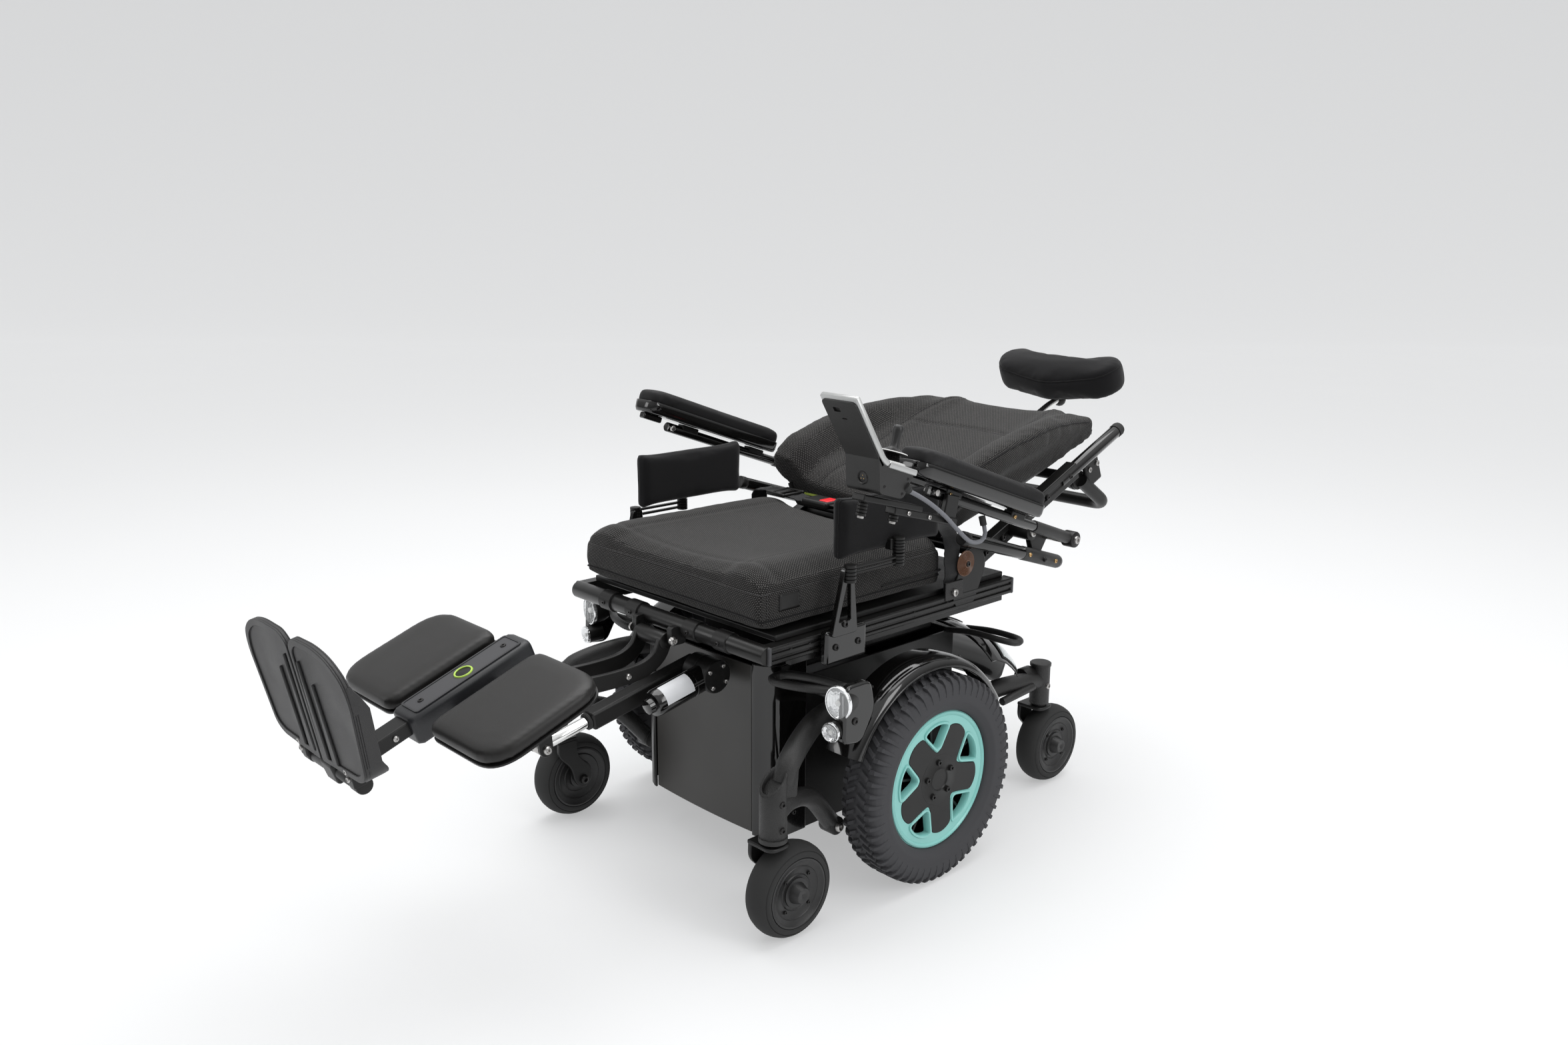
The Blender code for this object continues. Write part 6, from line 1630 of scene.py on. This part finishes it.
# ---- arms ----------------------------------------------------------------------------------------
def make_arm(side, sign):
    lift = ARM_LIFT[side]
    link, arm = f"arm_link_{side}", f"arm_{side}"
    pivot_z = HINGE[1] + (0.3 - HINGE[0]) * tan(CANE_TILT)
    flip = (FLIP_Y, FLIP_Z + lift)
    rear = Vector((sign * 0.281, 0.376, 0.474 + lift / 2))
    front = Vector((sign * 0.281, 0.0985, 0.564 + lift / 2))
    lower = bar(f"arm_lower_tube_{side}", front.lerp(rear, 0.02), rear, 0.0118, GLOSS(), link)
    stand_for(lower, f"arm_link_{side}")
    bar(f"arm_lower_plug_{side}", front, front.lerp(rear, 0.055), 0.0125, SATIN(), link, 0.0025)
    bar(f"arm_lower_sleeve_{side}", front.lerp(rear, 0.6), front.lerp(rear, 0.985), 0.0125, WRINKLE(),
        link)
    bolts(f"arm_lower_screws_{side}", [front.lerp(rear, t) + Vector((sign * 0.0118, 0,
        0)) for t in (0.64, 0.92)], (sign, 0, 0), 0.004, BRASS(), link, 0.0025)
    web = [(0.3, pivot_z), flip, (0.318, 0.492 + lift / 2)]
    middle = Vector((sum(p[0] for p in web) / 3, sum(p[1] for p in web) / 3))
    corners = [Vector(p) + (Vector(p) - middle).normalized() * 0.015 for p in web]
    plate(f"arm_web_{side}", [rounded_outline([tuple(p) for p in corners], 0.012, 8)], 0.011,
        (sign * 0.27, 0, 0), SIDE_TURN, SATIN(), link, 0.0015)
    bar(f"arm_boss_{side}", (sign * 0.237, 0.3, pivot_z), (sign * 0.278, 0.3, pivot_z), 0.015, SATIN(),
        link)
    bolts(f"arm_boss_bolt_{side}", [(sign * 0.2785, 0.3, pivot_z)], (sign, 0, 0), 0.0085, ZINC(), link,
        0.0045)
    bar(f"arm_pin_{side}", (sign * 0.27, *flip), (sign * 0.3155, *flip), 0.01, ZINC(), link)
    bar(f"arm_lever_{side}", (sign * 0.279, 0.322, 0.5 + lift / 2), (sign * 0.298, 0.318,
        0.488 + lift / 2), 0.0042, SATIN(), link)

    def on_arm(along, normal=0.0, x=ARM_X):
        return off(flip, -ARM_SLOPE, along, normal, sign * x)

    tube = bar(f"arm_tube_{side}", on_arm(-0.413), on_arm(-0.004), 0.009, GLOSS(), arm)
    stand_for(tube, f"arm_tube_{side}")
    bar(f"arm_sleeve_{side}", on_arm(-0.12), on_arm(-0.012), 0.0105, WRINKLE(), arm)
    disc(f"arm_collar_{side}", 0.0145, 0.0235, on_arm(0), (1, 0, 0), SATIN(), arm, 0.002)
    bolts(f"arm_collar_bolt_{side}", [on_arm(0, 0, ARM_X + 0.012)], (sign, 0, 0), 0.0075, ZINC(), arm,
        0.0045)
    for k, along in enumerate((-0.36, -0.18)):
        block(f"arm_saddle_{side}_{k}", (0.018, 0.04, 0.012), on_arm(along, 0.007), SATIN(), arm,
            tilt=-ARM_SLOPE, bevel=0.002)
        bolts(f"arm_saddle_screw_{side}_{k}", [on_arm(along - 0.01, 0.004, ARM_X + 0.0092)], (sign, 0,
            0), 0.0035, BRASS(), arm, 0.002)
    bar(f"arm_front_eye_{side}", on_arm(-0.405, 0, ARM_X - 0.013), on_arm(-0.405, 0, ARM_X + 0.013),
        0.0055, ZINC(), arm)
    block(f"arm_front_bracket_{side}", (0.016, 0.044, 0.012), on_arm(-0.455, 0.0075, ARM_X), GLOSS(),
        arm, tilt=-ARM_SLOPE, bevel=0.003)

    # the tray: a shallow gloss pan with a raised lip, and the padded top
    outline = rounded_outline([(-0.0325, -0.1695), (0.0325, -0.1695), (0.0325, 0.1695), (-0.0325,
        0.1695)], [0.026, 0.026, 0.014, 0.014], 8)
    axes = along_frame(-ARM_SLOPE)
    tray_turn = Matrix((axes.col[2], axes.col[0], axes.col[1])).transposed()
    rings = []
    for normal, size in ((-0.0065, 0.86), (-0.0055, 0.93), (0.0, 0.985), (0.009, 1.0), (0.0145, 1.0),
            (0.015, 0.985), (0.012, 0.955)):
        grow = (size - 1) * 0.0325
        centre = on_arm(-0.313, 0.0205 + normal, 0.33)
        rings.append([centre + tray_turn @ Vector((u + grow * (1 if u > 0 else -1),
            v + grow * (1 if v > 0 else -1), 0)) for u, v in outline])
    loft(f"arm_tray_{side}", rings, GLOSS(), arm, sharp=50)
    bm = bmesh.new()
    rings = []
    for normal, size in ((0.0, 0.965), (0.006, 0.972), (0.014, 0.975), (0.0205, 0.945), (0.0235, 0.86),
            (0.0248, 0.7)):
        grow = (size - 1) * 0.0325
        centre = on_arm(-0.313, 0.032 + normal, 0.33)
        shrink, spread = (size, 0) if size < 0.9 else (1, grow)
        rings.append([centre + tray_turn @ Vector((u * shrink + spread * (1 if u > 0 else -1),
            v + grow * (1 if v > 0 else -1) * 1.4, 0)) for u, v in outline])
    loft_rings(bm, rings)
    pad = emit(f"arm_cushion_{side}", bm, KNIT(), None)
    remesh(pad, 0.0042)
    relax(pad, 2)
    puff(pad, cap=0.003)
    relax(pad, 1)
    finish_cloth(pad, ARM_SKIN(), arm, turn=-ARM_SLOPE, nodes=(f"arm_pad_{side}",))


# ---- remote --------------------------------------------------------------------------------------
def make_remote():
    body_shape = rounded_outline([(-0.2055, 0.697), (-0.155, 0.6815), (-0.1395, 0.7055), (-0.133,
        0.715), (-0.134, 0.717), (-0.1935, 0.7385), (-0.2085, 0.754)], [0.006, 0.01, 0.006, 0.003,
        0.003, 0.006, 0.003], 6)
    body = plate("remote_case", [body_shape], 0.068, (REMOTE_X, 0, 0), SIDE_TURN, REMOTE_GREY(),
        "remote", bevel=0.0045, segments=4)
    stand_for(body, "remote_body")
    # the bent silver frame: along the panel, then up behind the screen, with a dark plate on its front
    bend = [Vector((0, *p)) for p in ((-0.129, 0.718), (-0.1965, 0.7415), (-0.2565, 0.839))]
    spine = rounded_path(bend, 0.013, 8)
    rings = []
    for i, p in enumerate(spine):
        ahead = (spine[min(i + 1, len(spine) - 1)] - spine[max(i - 1, 0)]).normalized()
        out = Vector((0, -ahead.z, ahead.y))
        if out.z < 0 and i < 3:
            out = -out
        shape = rounded_outline([(-0.037, -0.005), (0.037, -0.005), (0.037, 0.0042), (-0.037, 0.0042)],
            [0.0032, 0.0032, 0.0032, 0.0032], 4)
        rings.append([Vector((REMOTE_X + u, p.y, p.z)) + out * v for u, v in shape])
    tip = spine[-1] + (spine[-1] - spine[-2]).normalized() * 0.0028
    ahead = (spine[-1] - spine[-2]).normalized()
    out = Vector((0, -ahead.z, ahead.y))
    rings.append([Vector((REMOTE_X + u * 0.93, tip.y, tip.z)) + out * v * 0.55 for u, v in shape])
    loft("remote_frame", rings, SILVER(), "remote", sharp=50)
    way = (bend[2] - bend[1]).normalized()
    front = Vector((0, -way.z, way.y)) if -way.z < 0 else Vector((0, way.z, -way.y))
    middle = bend[1].lerp(bend[2], 0.5) + Vector((REMOTE_X, 0, 0))
    screen_turn = Matrix((Vector((1, 0, 0)), way, Vector((1, 0, 0)).cross(way))).transposed()

    def sheet_of(name, low, high, lift, thickness, finish, corner, holes=()):
        outline = rounded_outline([(low[0], low[1]), (high[0], low[1]), (high[0], high[1]), (low[0],
            high[1])], corner, 6)
        plate(name, [outline, *holes], thickness, middle + front * lift, screen_turn, finish, "remote",
            0.0006)

    slots = [rounded_outline([(-0.016, 0.034), (-0.003, 0.034), (-0.003, 0.042), (-0.016, 0.042)],
        0.0015, 4), rounded_outline([(-0.006, 0.0215), (0.003, 0.0215), (0.003, 0.0235), (-0.006,
        0.0235)], 0.0009, 4)]
    sheet_of("remote_front_plate", (-0.034, -0.062), (0.034, 0.0545), 0.005, 0.0036, REMOTE_GREY(),
        [0.003, 0.003, 0.009, 0.009], slots)
    sheet_of("remote_front_floor", (-0.03, -0.05), (0.03, 0.05), 0.0036, 0.0012, SATIN(), 0.004)
    sheet_of("remote_screen", (-0.027, -0.03), (0.027, 0.044), -0.0046, 0.0014, GLOSS(), 0.004)
    for sign, label in ((1, "near"), (-1, "far")):
        spots = [(-0.145, 0.7105), (-0.157, 0.69), (-0.196, 0.706)]
        bolts(f"remote_screws_{label}", [(REMOTE_X + sign * 0.0338, y, z) for y, z in spots], (sign, 0,
            0), 0.0024, BLACK_BOLT(), "remote", 0.001)
    # the three-pin socket on the front
    socket = Vector((REMOTE_X, -0.2055, 0.7165))
    out = Vector((0, -1, 0.05)).normalized()
    lathe("remote_socket", [(0.0072, -0.002), (0.0072, 0.0022), (0.0092, 0.0026), (0.0104, 0.0012),
        (0.0104, -0.002)], socket, tuple(out), BLACK_BOLT(), "remote", 40, ring=True)
    disc("remote_socket_floor", 0.0074, 0.001, socket + out * 0.0002, tuple(out), CASTER_RUBBER(),
        "remote", 0.0003)
    for k in range(3):
        angle = radians(90 + 120 * k)
        pin = socket + Vector((0.0032 * cos(angle), 0, 0)) + Vector((0, 0.05, 1)) * 0.0032 * sin(angle)
        bar(f"remote_pin_{k}", pin, pin + out * 0.0014, 0.0008, BRASS(), "remote", 0.0002, 12)
    lathe("remote_gland", [(0, -0.006), (0.0075, -0.006), (0.008, 0.0), (0.0062, 0.002), (0.0058,
        0.0065), (0.0048, 0.008), (0, 0.008)], (0.372, -0.144, 0.6965), (0, 0.72, -0.69),
        CASTER_RUBBER(), "remote", 32)

    panel = radians(19.1)
    normal = Vector((0, sin(panel), cos(panel)))
    base = Vector((REMOTE_X, STICK_Y, STICK_Z))
    lathe("stick_plate", [(0.0172, -0.002), (0.0172, 0.0018), (0.02, 0.0024), (0.0215, 0.0012), (0.0215,
        -0.002)], base, tuple(normal), SATIN(), "remote", 48, ring=True)
    lathe("stick_ring", [(0.0214, -0.002), (0.0214, 0.0018), (0.0224, 0.0022), (0.0232, 0.0012),
        (0.0232, -0.002)], base, tuple(normal), WHITE(), "remote", 48, ring=True)
    shaft = [(0, 0.0585), (0.004, 0.0582), (0.0072, 0.0562), (0.0084, 0.053), (0.0086, 0.049), (0.0076,
        0.044), (0.0066, 0.038), (0.0064, 0.03), (0.0072, 0.025), (0.009, 0.0222), (0.014, 0.0195),
        (0.02, 0.0178), (0.0222, 0.0168), (0.0225, 0.0156), (0.021, 0.015), (0.0125, 0.0146)]
    for i in range(5):
        shaft += [(0.0104 + 0.0004 * i, 0.0138 - 0.002 * i), (0.0128 + 0.0003 * i, 0.0128 - 0.002 * i)]
    shaft += [(0.0118, 0.0032), (0, 0.0032)]
    knob = lathe("stick_knob", shaft[::-1], base, tuple(normal), KNOB(), "joystick", 48, sharp=50)
    stand_for(knob, "joystick_knob")
    lathe("stick_skirt_ring", [(0.0218, 0.0158), (0.0229, 0.016), (0.0229, 0.0168), (0.0216, 0.0174)],
        base, tuple(normal), WHITE(), "joystick", 48, ring=True)

    def under(along, height, x=REMOTE_X):
        return off((-0.208, 0.694), -REMOTE_SLOPE, along, height, x)

    top_bar = block("remote_bar_top", (0.026, 0.135, 0.01), under(0.062, -0.007), SATIN(), "arm_left",
        tilt=-REMOTE_SLOPE, bevel=0.002)
    stand_for(top_bar, "remote_bracket")
    block("remote_bar_low", (0.022, 0.15, 0.012), under(0.145, -0.017), SATIN(), "arm_left",
        tilt=-REMOTE_SLOPE, bevel=0.002)
    for k, along in enumerate((0.008, 0.08)):
        ribs = [(0, 0)]
        for i in range(5):
            ribs += [(0.0062, 0.005 * i), (0.0078, 0.005 * i + 0.0008), (0.0078, 0.005 * i + 0.004),
                (0.0062, 0.005 * i + 0.0048)]
        ribs.append((0, 0.025))
        lathe(f"remote_spacer_{k}", ribs, under(along, -0.034), tuple(under(0, 1) - under(0, 0)),
            SATIN(), "arm_left", 28, sharp=30)
        bolts(f"remote_spacer_bolt_{k}", [under(along, -0.0345)], tuple(under(0, -1) - under(0, 0)),
            0.0052, ZINC(), "arm_left", 0.0035)
    bolts("remote_bar_screws", [under(along, -0.017, REMOTE_X + 0.0112) for along in (0.1, 0.15, 0.2)],
        (1, 0, 0), 0.004, ZINC(), "arm_left", 0.0024)
    block("remote_riser", (0.01, 0.03, 0.044), under(0.205, 0.002, REMOTE_X + 0.0016), SATIN(),
        "arm_left", tilt=-REMOTE_SLOPE, bevel=0.002)


def make_cable():
    """The remote's cable: out of its rear end, down beside the bracket and up into the arm tube."""
    end = off((FLIP_Y, FLIP_Z), -ARM_SLOPE, -0.262, -0.0165, ARM_X)
    points = smooth_path([(0.372, -0.1385, 0.691), (0.371, -0.122, 0.6835), (0.367, -0.085, 0.664),
        (0.361, -0.042, 0.637), (0.354, 0.0, 0.606), (0.347, 0.04, 0.58), (0.341, 0.075, 0.574), (0.334,
        0.094, 0.583), end], 0.01)
    curve = bpy.data.curves.new("remote_lead", "CURVE")
    curve.dimensions, curve.bevel_depth, curve.bevel_resolution = "3D", 0.0035, 6
    curve.use_fill_caps = True
    spline = curve.splines.new("POLY")
    spline.points.add(len(points) - 1)
    for slot, point in zip(spline.points, points):
        slot.co = (*(point + OFFSET), 1)
    curve.materials.append(CABLE())
    lead = bpy.data.objects.new("remote_lead", curve)
    bpy.context.scene.collection.objects.link(lead)
    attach(lead, "arm_left")
    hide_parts("remote_cable")
    way = (points[-1] - points[-3]).normalized()
    bar("lead_gland", points[-1] - way * 0.01, points[-1] + way * 0.006, 0.0056, CASTER_RUBBER(),
        "arm_left", 0.001)


# ---- leg rest ------------------------------------------------------------------------------------
def on_beam(along, normal=0.0, x=0.0):
    return off(LEG_TOP, LEG_SLOPE, along, normal, x)


def make_leg_rest():
    barrel = bar("knee_barrel", (-0.036, KNEE_Y, KNEE_Z), (0.036, KNEE_Y, KNEE_Z), 0.0135, SATIN(), "leg")
    stand_for(barrel, "leg_arm")
    path = smooth_path([(KNEE_Y, KNEE_Z, 0), (-0.346, 0.398, 0), (-0.372, 0.383, 0), (-0.41, 0.378, 0),
        (-0.48, 0.379, 0), (-0.63, 0.39, 0)], 0.01)
    outline = band([(p.x, p.y) for p in path], 0.0135, 13)
    for label, x in (("near", 0.03), ("far", -0.03)):
        plate(f"leg_plate_{label}", [outline], 0.0088, (x, 0, 0), SIDE_TURN, SATIN(), "leg", 0.0014)
        way = 1 if x > 0 else -1
        bolts(f"leg_plate_bolts_{label}", [(x + way * 0.0046, y, z) for y, z in ((-0.41, 0.378), (-0.56,
            0.385), (-0.615, 0.389))], (way, 0, 0), 0.0056, ZINC(), "leg", 0.0035)
    block("leg_spacer", (0.051, 0.08, 0.02), (0, -0.59, 0.383), CASING(), "leg", tilt=radians(-5),
        bevel=0.002)
    block("leg_wedge", (0.04, 0.06, 0.022), on_beam(0.14, -0.0615), SATIN(), "leg", tilt=LEG_SLOPE,
        bevel=0.003)
    for label, x in (("near", ACT_X + 0.0142), ("far", ACT_X - 0.0142)):
        plate(f"rod_lug_{label}", [band([(-0.575, 0.38), (ROD_Y, ROD_Z)], 0.012, 13)], 0.0068, (x, 0,
            0), SIDE_TURN, SATIN(), "leg", 0.001)
    bolts("rod_lug_bolt", [(ACT_X + 0.0178, ROD_Y, ROD_Z)], (1, 0, 0), 0.0075, ZINC(), "leg", 0.005)

    # the sliding beam: a moulded cover with a recessed top panel
    rings = []
    for along, tuck in ((-0.006, 0.006), (-0.0045, 0.0025), (0.002, 0.0), (0.1, 0.0), (0.2, 0.0),
            (0.206, 0.003), (0.2075, 0.007)):
        shape = rounded_outline([(-0.0288 + tuck, -0.048 + tuck), (0.0288 - tuck, -0.048 + tuck),
            (0.0288 - tuck, -0.0006 - tuck), (-0.0288 + tuck, -0.0006 - tuck)], 0.0095, 6)
        rings.append([on_beam(along, v, u) for u, v in shape])
    cover = loft("beam_cover", rings, BEAM_GREY(), "leg_slide", sharp=50)
    stand_for(cover, "leg_beam")
    axes = along_frame(LEG_SLOPE)
    flat = Matrix((axes.col[2], axes.col[0], axes.col[1])).transposed()
    panel = rounded_outline([(-0.0235, -0.093), (0.0235, -0.093), (0.0235, 0.093), (-0.0235, 0.093)],
        0.006, 6)
    inner = rounded_outline([(-0.0205, -0.09), (0.0205, -0.09), (0.0205, 0.09), (-0.0205, 0.09)], 0.004,
        6)
    plate("beam_panel_lip", [panel, inner], 0.0018, on_beam(0.102, 0.0004), flat, BEAM_GREY(),
        "leg_slide", 0.0006)
    plate("beam_panel", [inner], 0.001, on_beam(0.102, -0.0003), flat, GREY(), "leg_slide", 0.0003)
    normal = tuple(axes.col[1])
    bolts("beam_screws", [on_beam(a, 0.0004) for a in (0.03, 0.176)], normal, 0.0046, BLACK_BOLT(),
        "leg_slide", 0.0016)
    lathe("beam_ring", [(0.0118, 0.0), (0.0118, 0.0014), (0.0126, 0.002), (0.014, 0.0018), (0.0146,
        0.0008), (0.0146, 0.0)], on_beam(0.104, 0.0002), normal, LIME_RING(), "leg_slide", 48,
        ring=True)
    disc("beam_ring_floor", 0.0119, 0.0012, on_beam(0.104, 0.0002), normal, SATIN(), "leg_slide", 0.0003)
    block("beam_tail", (0.034, 0.12, 0.022), on_beam(-0.05, -0.019), SATIN(), "leg_slide",
        tilt=LEG_SLOPE, bevel=0.002)
    bolts("beam_tail_bolts", [on_beam(a, -0.019, 0.0172) for a in (-0.03, -0.075)], (1, 0, 0), 0.0048,
        ZINC(), "leg_slide", 0.003)
    bar("foot_hinge_bar", (-0.06, FOOT_Y, FOOT_Z), (0.06, FOOT_Y, FOOT_Z), 0.0112, SATIN(), "leg_slide")
    block("foot_hinge_clamp", (0.038, 0.03, 0.034), (0, FOOT_Y + 0.002, FOOT_Z + 0.001), SATIN(),
        "leg_slide", tilt=LEG_SLOPE, bevel=0.005, segments=3)
    bolts("foot_hinge_bolts", [(x, FOOT_Y + 0.003, FOOT_Z + 0.018) for x in (-0.01, 0.01)], (0, 0.1, 1),
        0.0042, ZINC(), "leg_slide", 0.003)
    for side, sign in SIDES:
        make_calf_pad(side, sign)
        make_footplate(side, sign)
    make_leg_actuator()


def make_calf_pad(side, sign):
    body = f"calf_pad_{side}"
    axes = along_frame(LEG_SLOPE)
    flat = Matrix((axes.col[2], axes.col[0], axes.col[1])).transposed()
    middle = (0.141, 0.1)
    outer, inner = 0.052, 0.022
    corners = [inner, outer, outer, inner] if sign > 0 else [outer, inner, inner, outer]
    outline = rounded_outline([(-0.087, -0.1), (0.087, -0.1), (0.087, 0.1), (-0.087, 0.1)], corners, 10)
    origin = on_beam(middle[1], -0.014, sign * middle[0])

    def ring(height, inset):
        return [origin + flat @ Vector((u - inset * (1 if u > 0 else -1) * min(1, abs(u) / 0.02),
            v - inset * (1 if v > 0 else -1) * min(1, abs(v) / 0.02), height)) for u, v in outline]

    loft(f"calf_backing_{side}", [ring(-0.0155, 0.004), ring(-0.014, 0.0015), ring(-0.011, 0.0012),
        ring(-0.01, 0.003)], SATIN(), body, sharp=50)
    bm = bmesh.new()
    loft_rings(bm, [ring(-0.01, 0.006), ring(-0.008, 0.0015), ring(0.0, 0.001), ring(0.007, 0.002),
        ring(0.011, 0.006), ring(0.013, 0.014), ring(0.014, 0.03)])
    pad = emit(f"calf_cushion_{side}", bm, VINYL(), None)
    remesh(pad, 0.0045)
    relax(pad, 5)
    finish_cloth(pad, VINYL(), body, turn=LEG_SLOPE, nodes=(f"calf_pad_{side}",))
    bar(f"calf_hinge_{side}", on_beam(0.06, -0.03, sign * 0.043), on_beam(0.14, -0.03, sign * 0.043),
        0.0065, SATIN(), body)
    block(f"calf_tab_{side}", (0.048, 0.06, 0.005), on_beam(0.1, -0.032, sign * 0.066), SATIN(), body,
        tilt=LEG_SLOPE, bevel=0.0015)
    bolts(f"calf_tab_bolts_{side}", [on_beam(a, -0.035, sign * 0.074) for a in (0.085, 0.115)],
        tuple(-axes.col[1]), 0.005, ZINC(), body, 0.003)


def make_footplate(side, sign):
    body = f"footplate_{side}"
    lean = pi / 2 + FOOT_LEAN
    up = Vector((0, cos(lean), sin(lean)))
    back = Vector((0, sin(lean), -cos(lean)))
    across = Matrix((Vector((1, 0, 0)), up, Vector((1, 0, 0)).cross(up))).transposed()
    origin = Vector((0, FOOT_Y, FOOT_Z)) - back * 0.0115
    shape = [(0.003, 0.02), (0.118, 0.024), (0.138, 0.036), (0.157, 0.15), (0.15, 0.18), (0.12, 0.203),
        (0.08, 0.212), (0.02, 0.21), (0.003, 0.196)]
    corners = [0.005, 0.016, 0.02, 0.03, 0.026, 0.03, 0.03, 0.02, 0.008]
    outline = rounded_outline([(sign * x, h) for x, h in shape], corners, 7)
    main = plate(f"foot_board_{side}", [outline], 0.0058, origin + back * 0.0002, across, FOOT_GREY(),
        body, bevel=0.0018, segments=3)
    stand_for(main, f"footplate_{side}")

    centre = Vector((sign * 0.078, 0.115))
    inset = [tuple(centre + (Vector(p) - centre) * 0.9) for p in outline]
    inset_in = [tuple(centre + (Vector(p) - centre) * 0.855) for p in outline]
    plate(f"foot_border_{side}", [outline, inset], 0.003, origin - back * 0.0036, across, FOOT_GREY(),
        body, bevel=0.0012, segments=3)
    plate(f"foot_border_rear_{side}", [outline, inset_in], 0.0022, origin + back * 0.0036, across,
        FOOT_GREY(), body, bevel=0.001)
    for k, (x, low, high) in enumerate(((0.021, 0.03, 0.176), (0.05, 0.03, 0.15))):
        rib = [(x - 0.0085, low), (x + 0.0085, low), (x + 0.0018, high), (x - 0.0018, high)]
        plate(f"foot_rib_{side}_{k}", [[(sign * u, h) for u, h in rib]], 0.005, origin - back * 0.0042,
            across, FOOT_GREY(), body, bevel=0.0022, segments=3)
    for k, height in enumerate(np.linspace(0.05, 0.18, 8)):
        block(f"foot_tread_{side}_{k}", (0.092, 0.0016, 0.005), origin + Vector((sign * 0.086, 0,
            0)) + up * float(height) + back * 0.0036, FOOT_GREY(), body, tilt=FOOT_LEAN, bevel=0.0006)

    # the outer edge turned towards the sitter, tapering as it rises
    rim = [(0.124, 0.0265), (0.138, 0.036), (0.157, 0.15), (0.152, 0.172)]
    spine = rounded_path([Vector((sign * x, h, 0)) for x, h in rim], 0.016, 8)
    rings = []
    for i, p in enumerate(spine):
        t = i / (len(spine) - 1)
        depth = 0.006 + 0.03 * min(1.0, 0.55 + 4 * t) * (1 - t) ** 0.9
        ahead = (spine[min(i + 1, len(spine) - 1)] - spine[max(i - 1, 0)]).normalized()
        inward = Vector((-ahead.y, ahead.x, 0)) * sign
        foot = origin + Vector((1, 0, 0)) * p.x + up * p.y
        inner = foot + Vector((1, 0, 0)) * inward.x * 0.0075 + up * inward.y * 0.0075
        rings.append([foot, inner, inner + back * (depth - 0.0012), foot.lerp(inner,
            0.7) + back * depth, foot.lerp(inner, 0.3) + back * depth, foot + back * (depth - 0.0012)])
    loft(f"foot_wall_{side}", rings, FOOT_GREY(), body, sharp=50)

    disc(f"foot_collar_{side}", 0.0125, 0.0225, (sign * 0.0723, FOOT_Y, FOOT_Z), (1, 0, 0), SATIN(),
        body, 0.002)
    block(f"foot_arm_{side}", (0.022, 0.022, 0.034), Vector((sign * 0.073, FOOT_Y,
        FOOT_Z)) + up * 0.017 - back * 0.003, SATIN(), body, tilt=FOOT_LEAN, bevel=0.003)
    bolts(f"foot_arm_bolts_{side}", [Vector((sign * 0.073, FOOT_Y,
        FOOT_Z)) + up * h - back * 0.0148 for h in (0.014, 0.026)], tuple(-back), 0.0042, ZINC(), body,
        0.0028)


def make_leg_actuator():
    def on_rod(along, x=ACT_X, normal=0.0):
        return off((ACT_Y, ACT_Z), pi + ACT_SLOPE, along, normal, x)

    length = hypot(ACT_Y - ROD_Y, ACT_Z - ROD_Z)
    case = block("actuator_tube", (0.029, 0.224, 0.029), on_rod(0.095), SATIN(), "actuator",
        tilt=ACT_SLOPE, bevel=0.004, segments=3)
    stand_for(case, "leg_actuator")
    way = tuple(on_rod(1) - on_rod(0))
    lathe("actuator_seal", [(0.01, 0), (0.0128, 0), (0.0138, 0.0012), (0.0138, 0.005), (0.0125, 0.0062),
        (0.01, 0.0062)], on_rod(0.207), way, CASTER_RUBBER(), "actuator", 40, ring=True)
    lathe("actuator_gearbox", [(0, 0), (0.0262, 0), (0.028, 0.0018), (0.028, 0.025), (0.0265, 0.026),
        (0.0265, 0.0285), (0.028, 0.0295), (0.028, 0.0565), (0.0262, 0.0585), (0, 0.0585)], on_rod(0,
        0.034), (1, 0, 0), SATIN(), "actuator", 48)
    bolts("actuator_gear_bolts", [on_rod(0.02 * cos(a), 0.0932,
        0.02 * sin(a)) for a in (radians(45 + 90 * i) for i in range(4))], (1, 0, 0), 0.004, ZINC(),
        "actuator", 0.0026)
    lathe("actuator_motor", [(0, 0), (0.021, 0), (0.0222, 0.001), (0.0222, 0.03), (0.0214, 0.0305),
        (0.0214, 0.0325), (0.0222, 0.033), (0.0222, 0.102), (0.02, 0.108), (0.013, 0.109), (0.012,
        0.119), (0.01, 0.12), (0, 0.12)], on_rod(0.01, 0.07), way, GLOSS(), "actuator", 48)
    label = bmesh.new()
    grid = []
    for i in range(8):
        angle = radians(-5 + 95 * i / 7)
        grid.append([on_rod(along, 0.07 + 0.0225 * cos(angle),
            -0.0225 * sin(angle)) for along in (0.048, 0.104)])
    add_grid(label, [[label.verts.new(p) for p in row] for row in grid])
    emit("actuator_label", label, LABEL(), "actuator")
    disc("actuator_pivot", 0.01, 0.031, on_rod(0), (1, 0, 0), ZINC(), "actuator")

    rod = bar("actuator_rod", on_rod(0.125), on_rod(length - 0.006), 0.0092, CHROME(), "rod")
    stand_for(rod, "leg_rod")
    disc("rod_eye", 0.0115, 0.0195, on_rod(length), (1, 0, 0), ZINC(), "rod", 0.0015)


def main():
    make_camera()
    make_studio()
    make_cable()
    make_chassis()
    for side, sign in SIDES:
        make_tyre(side, sign)
        make_rim(side, sign)
        make_caster("front", side, sign, FRONT_CASTER[0], FRONT_CASTER[1])
        make_caster("rear", side, sign, REAR_CASTER[0], REAR_CASTER[1])
        make_front_arm(side, sign)
        make_rear_arm(side, sign)
        make_motor(side, sign)
        make_headlight(side, sign)
        make_fender(side, sign)
    make_seat_frame()
    make_seat_cushion()
    make_belt()
    for side, sign in SIDES:
        make_side_pad(side, sign)
        make_arm(side, sign)
    make_back_frame()
    make_back()
    make_headrest()
    make_remote()
    make_leg_rest()


main()
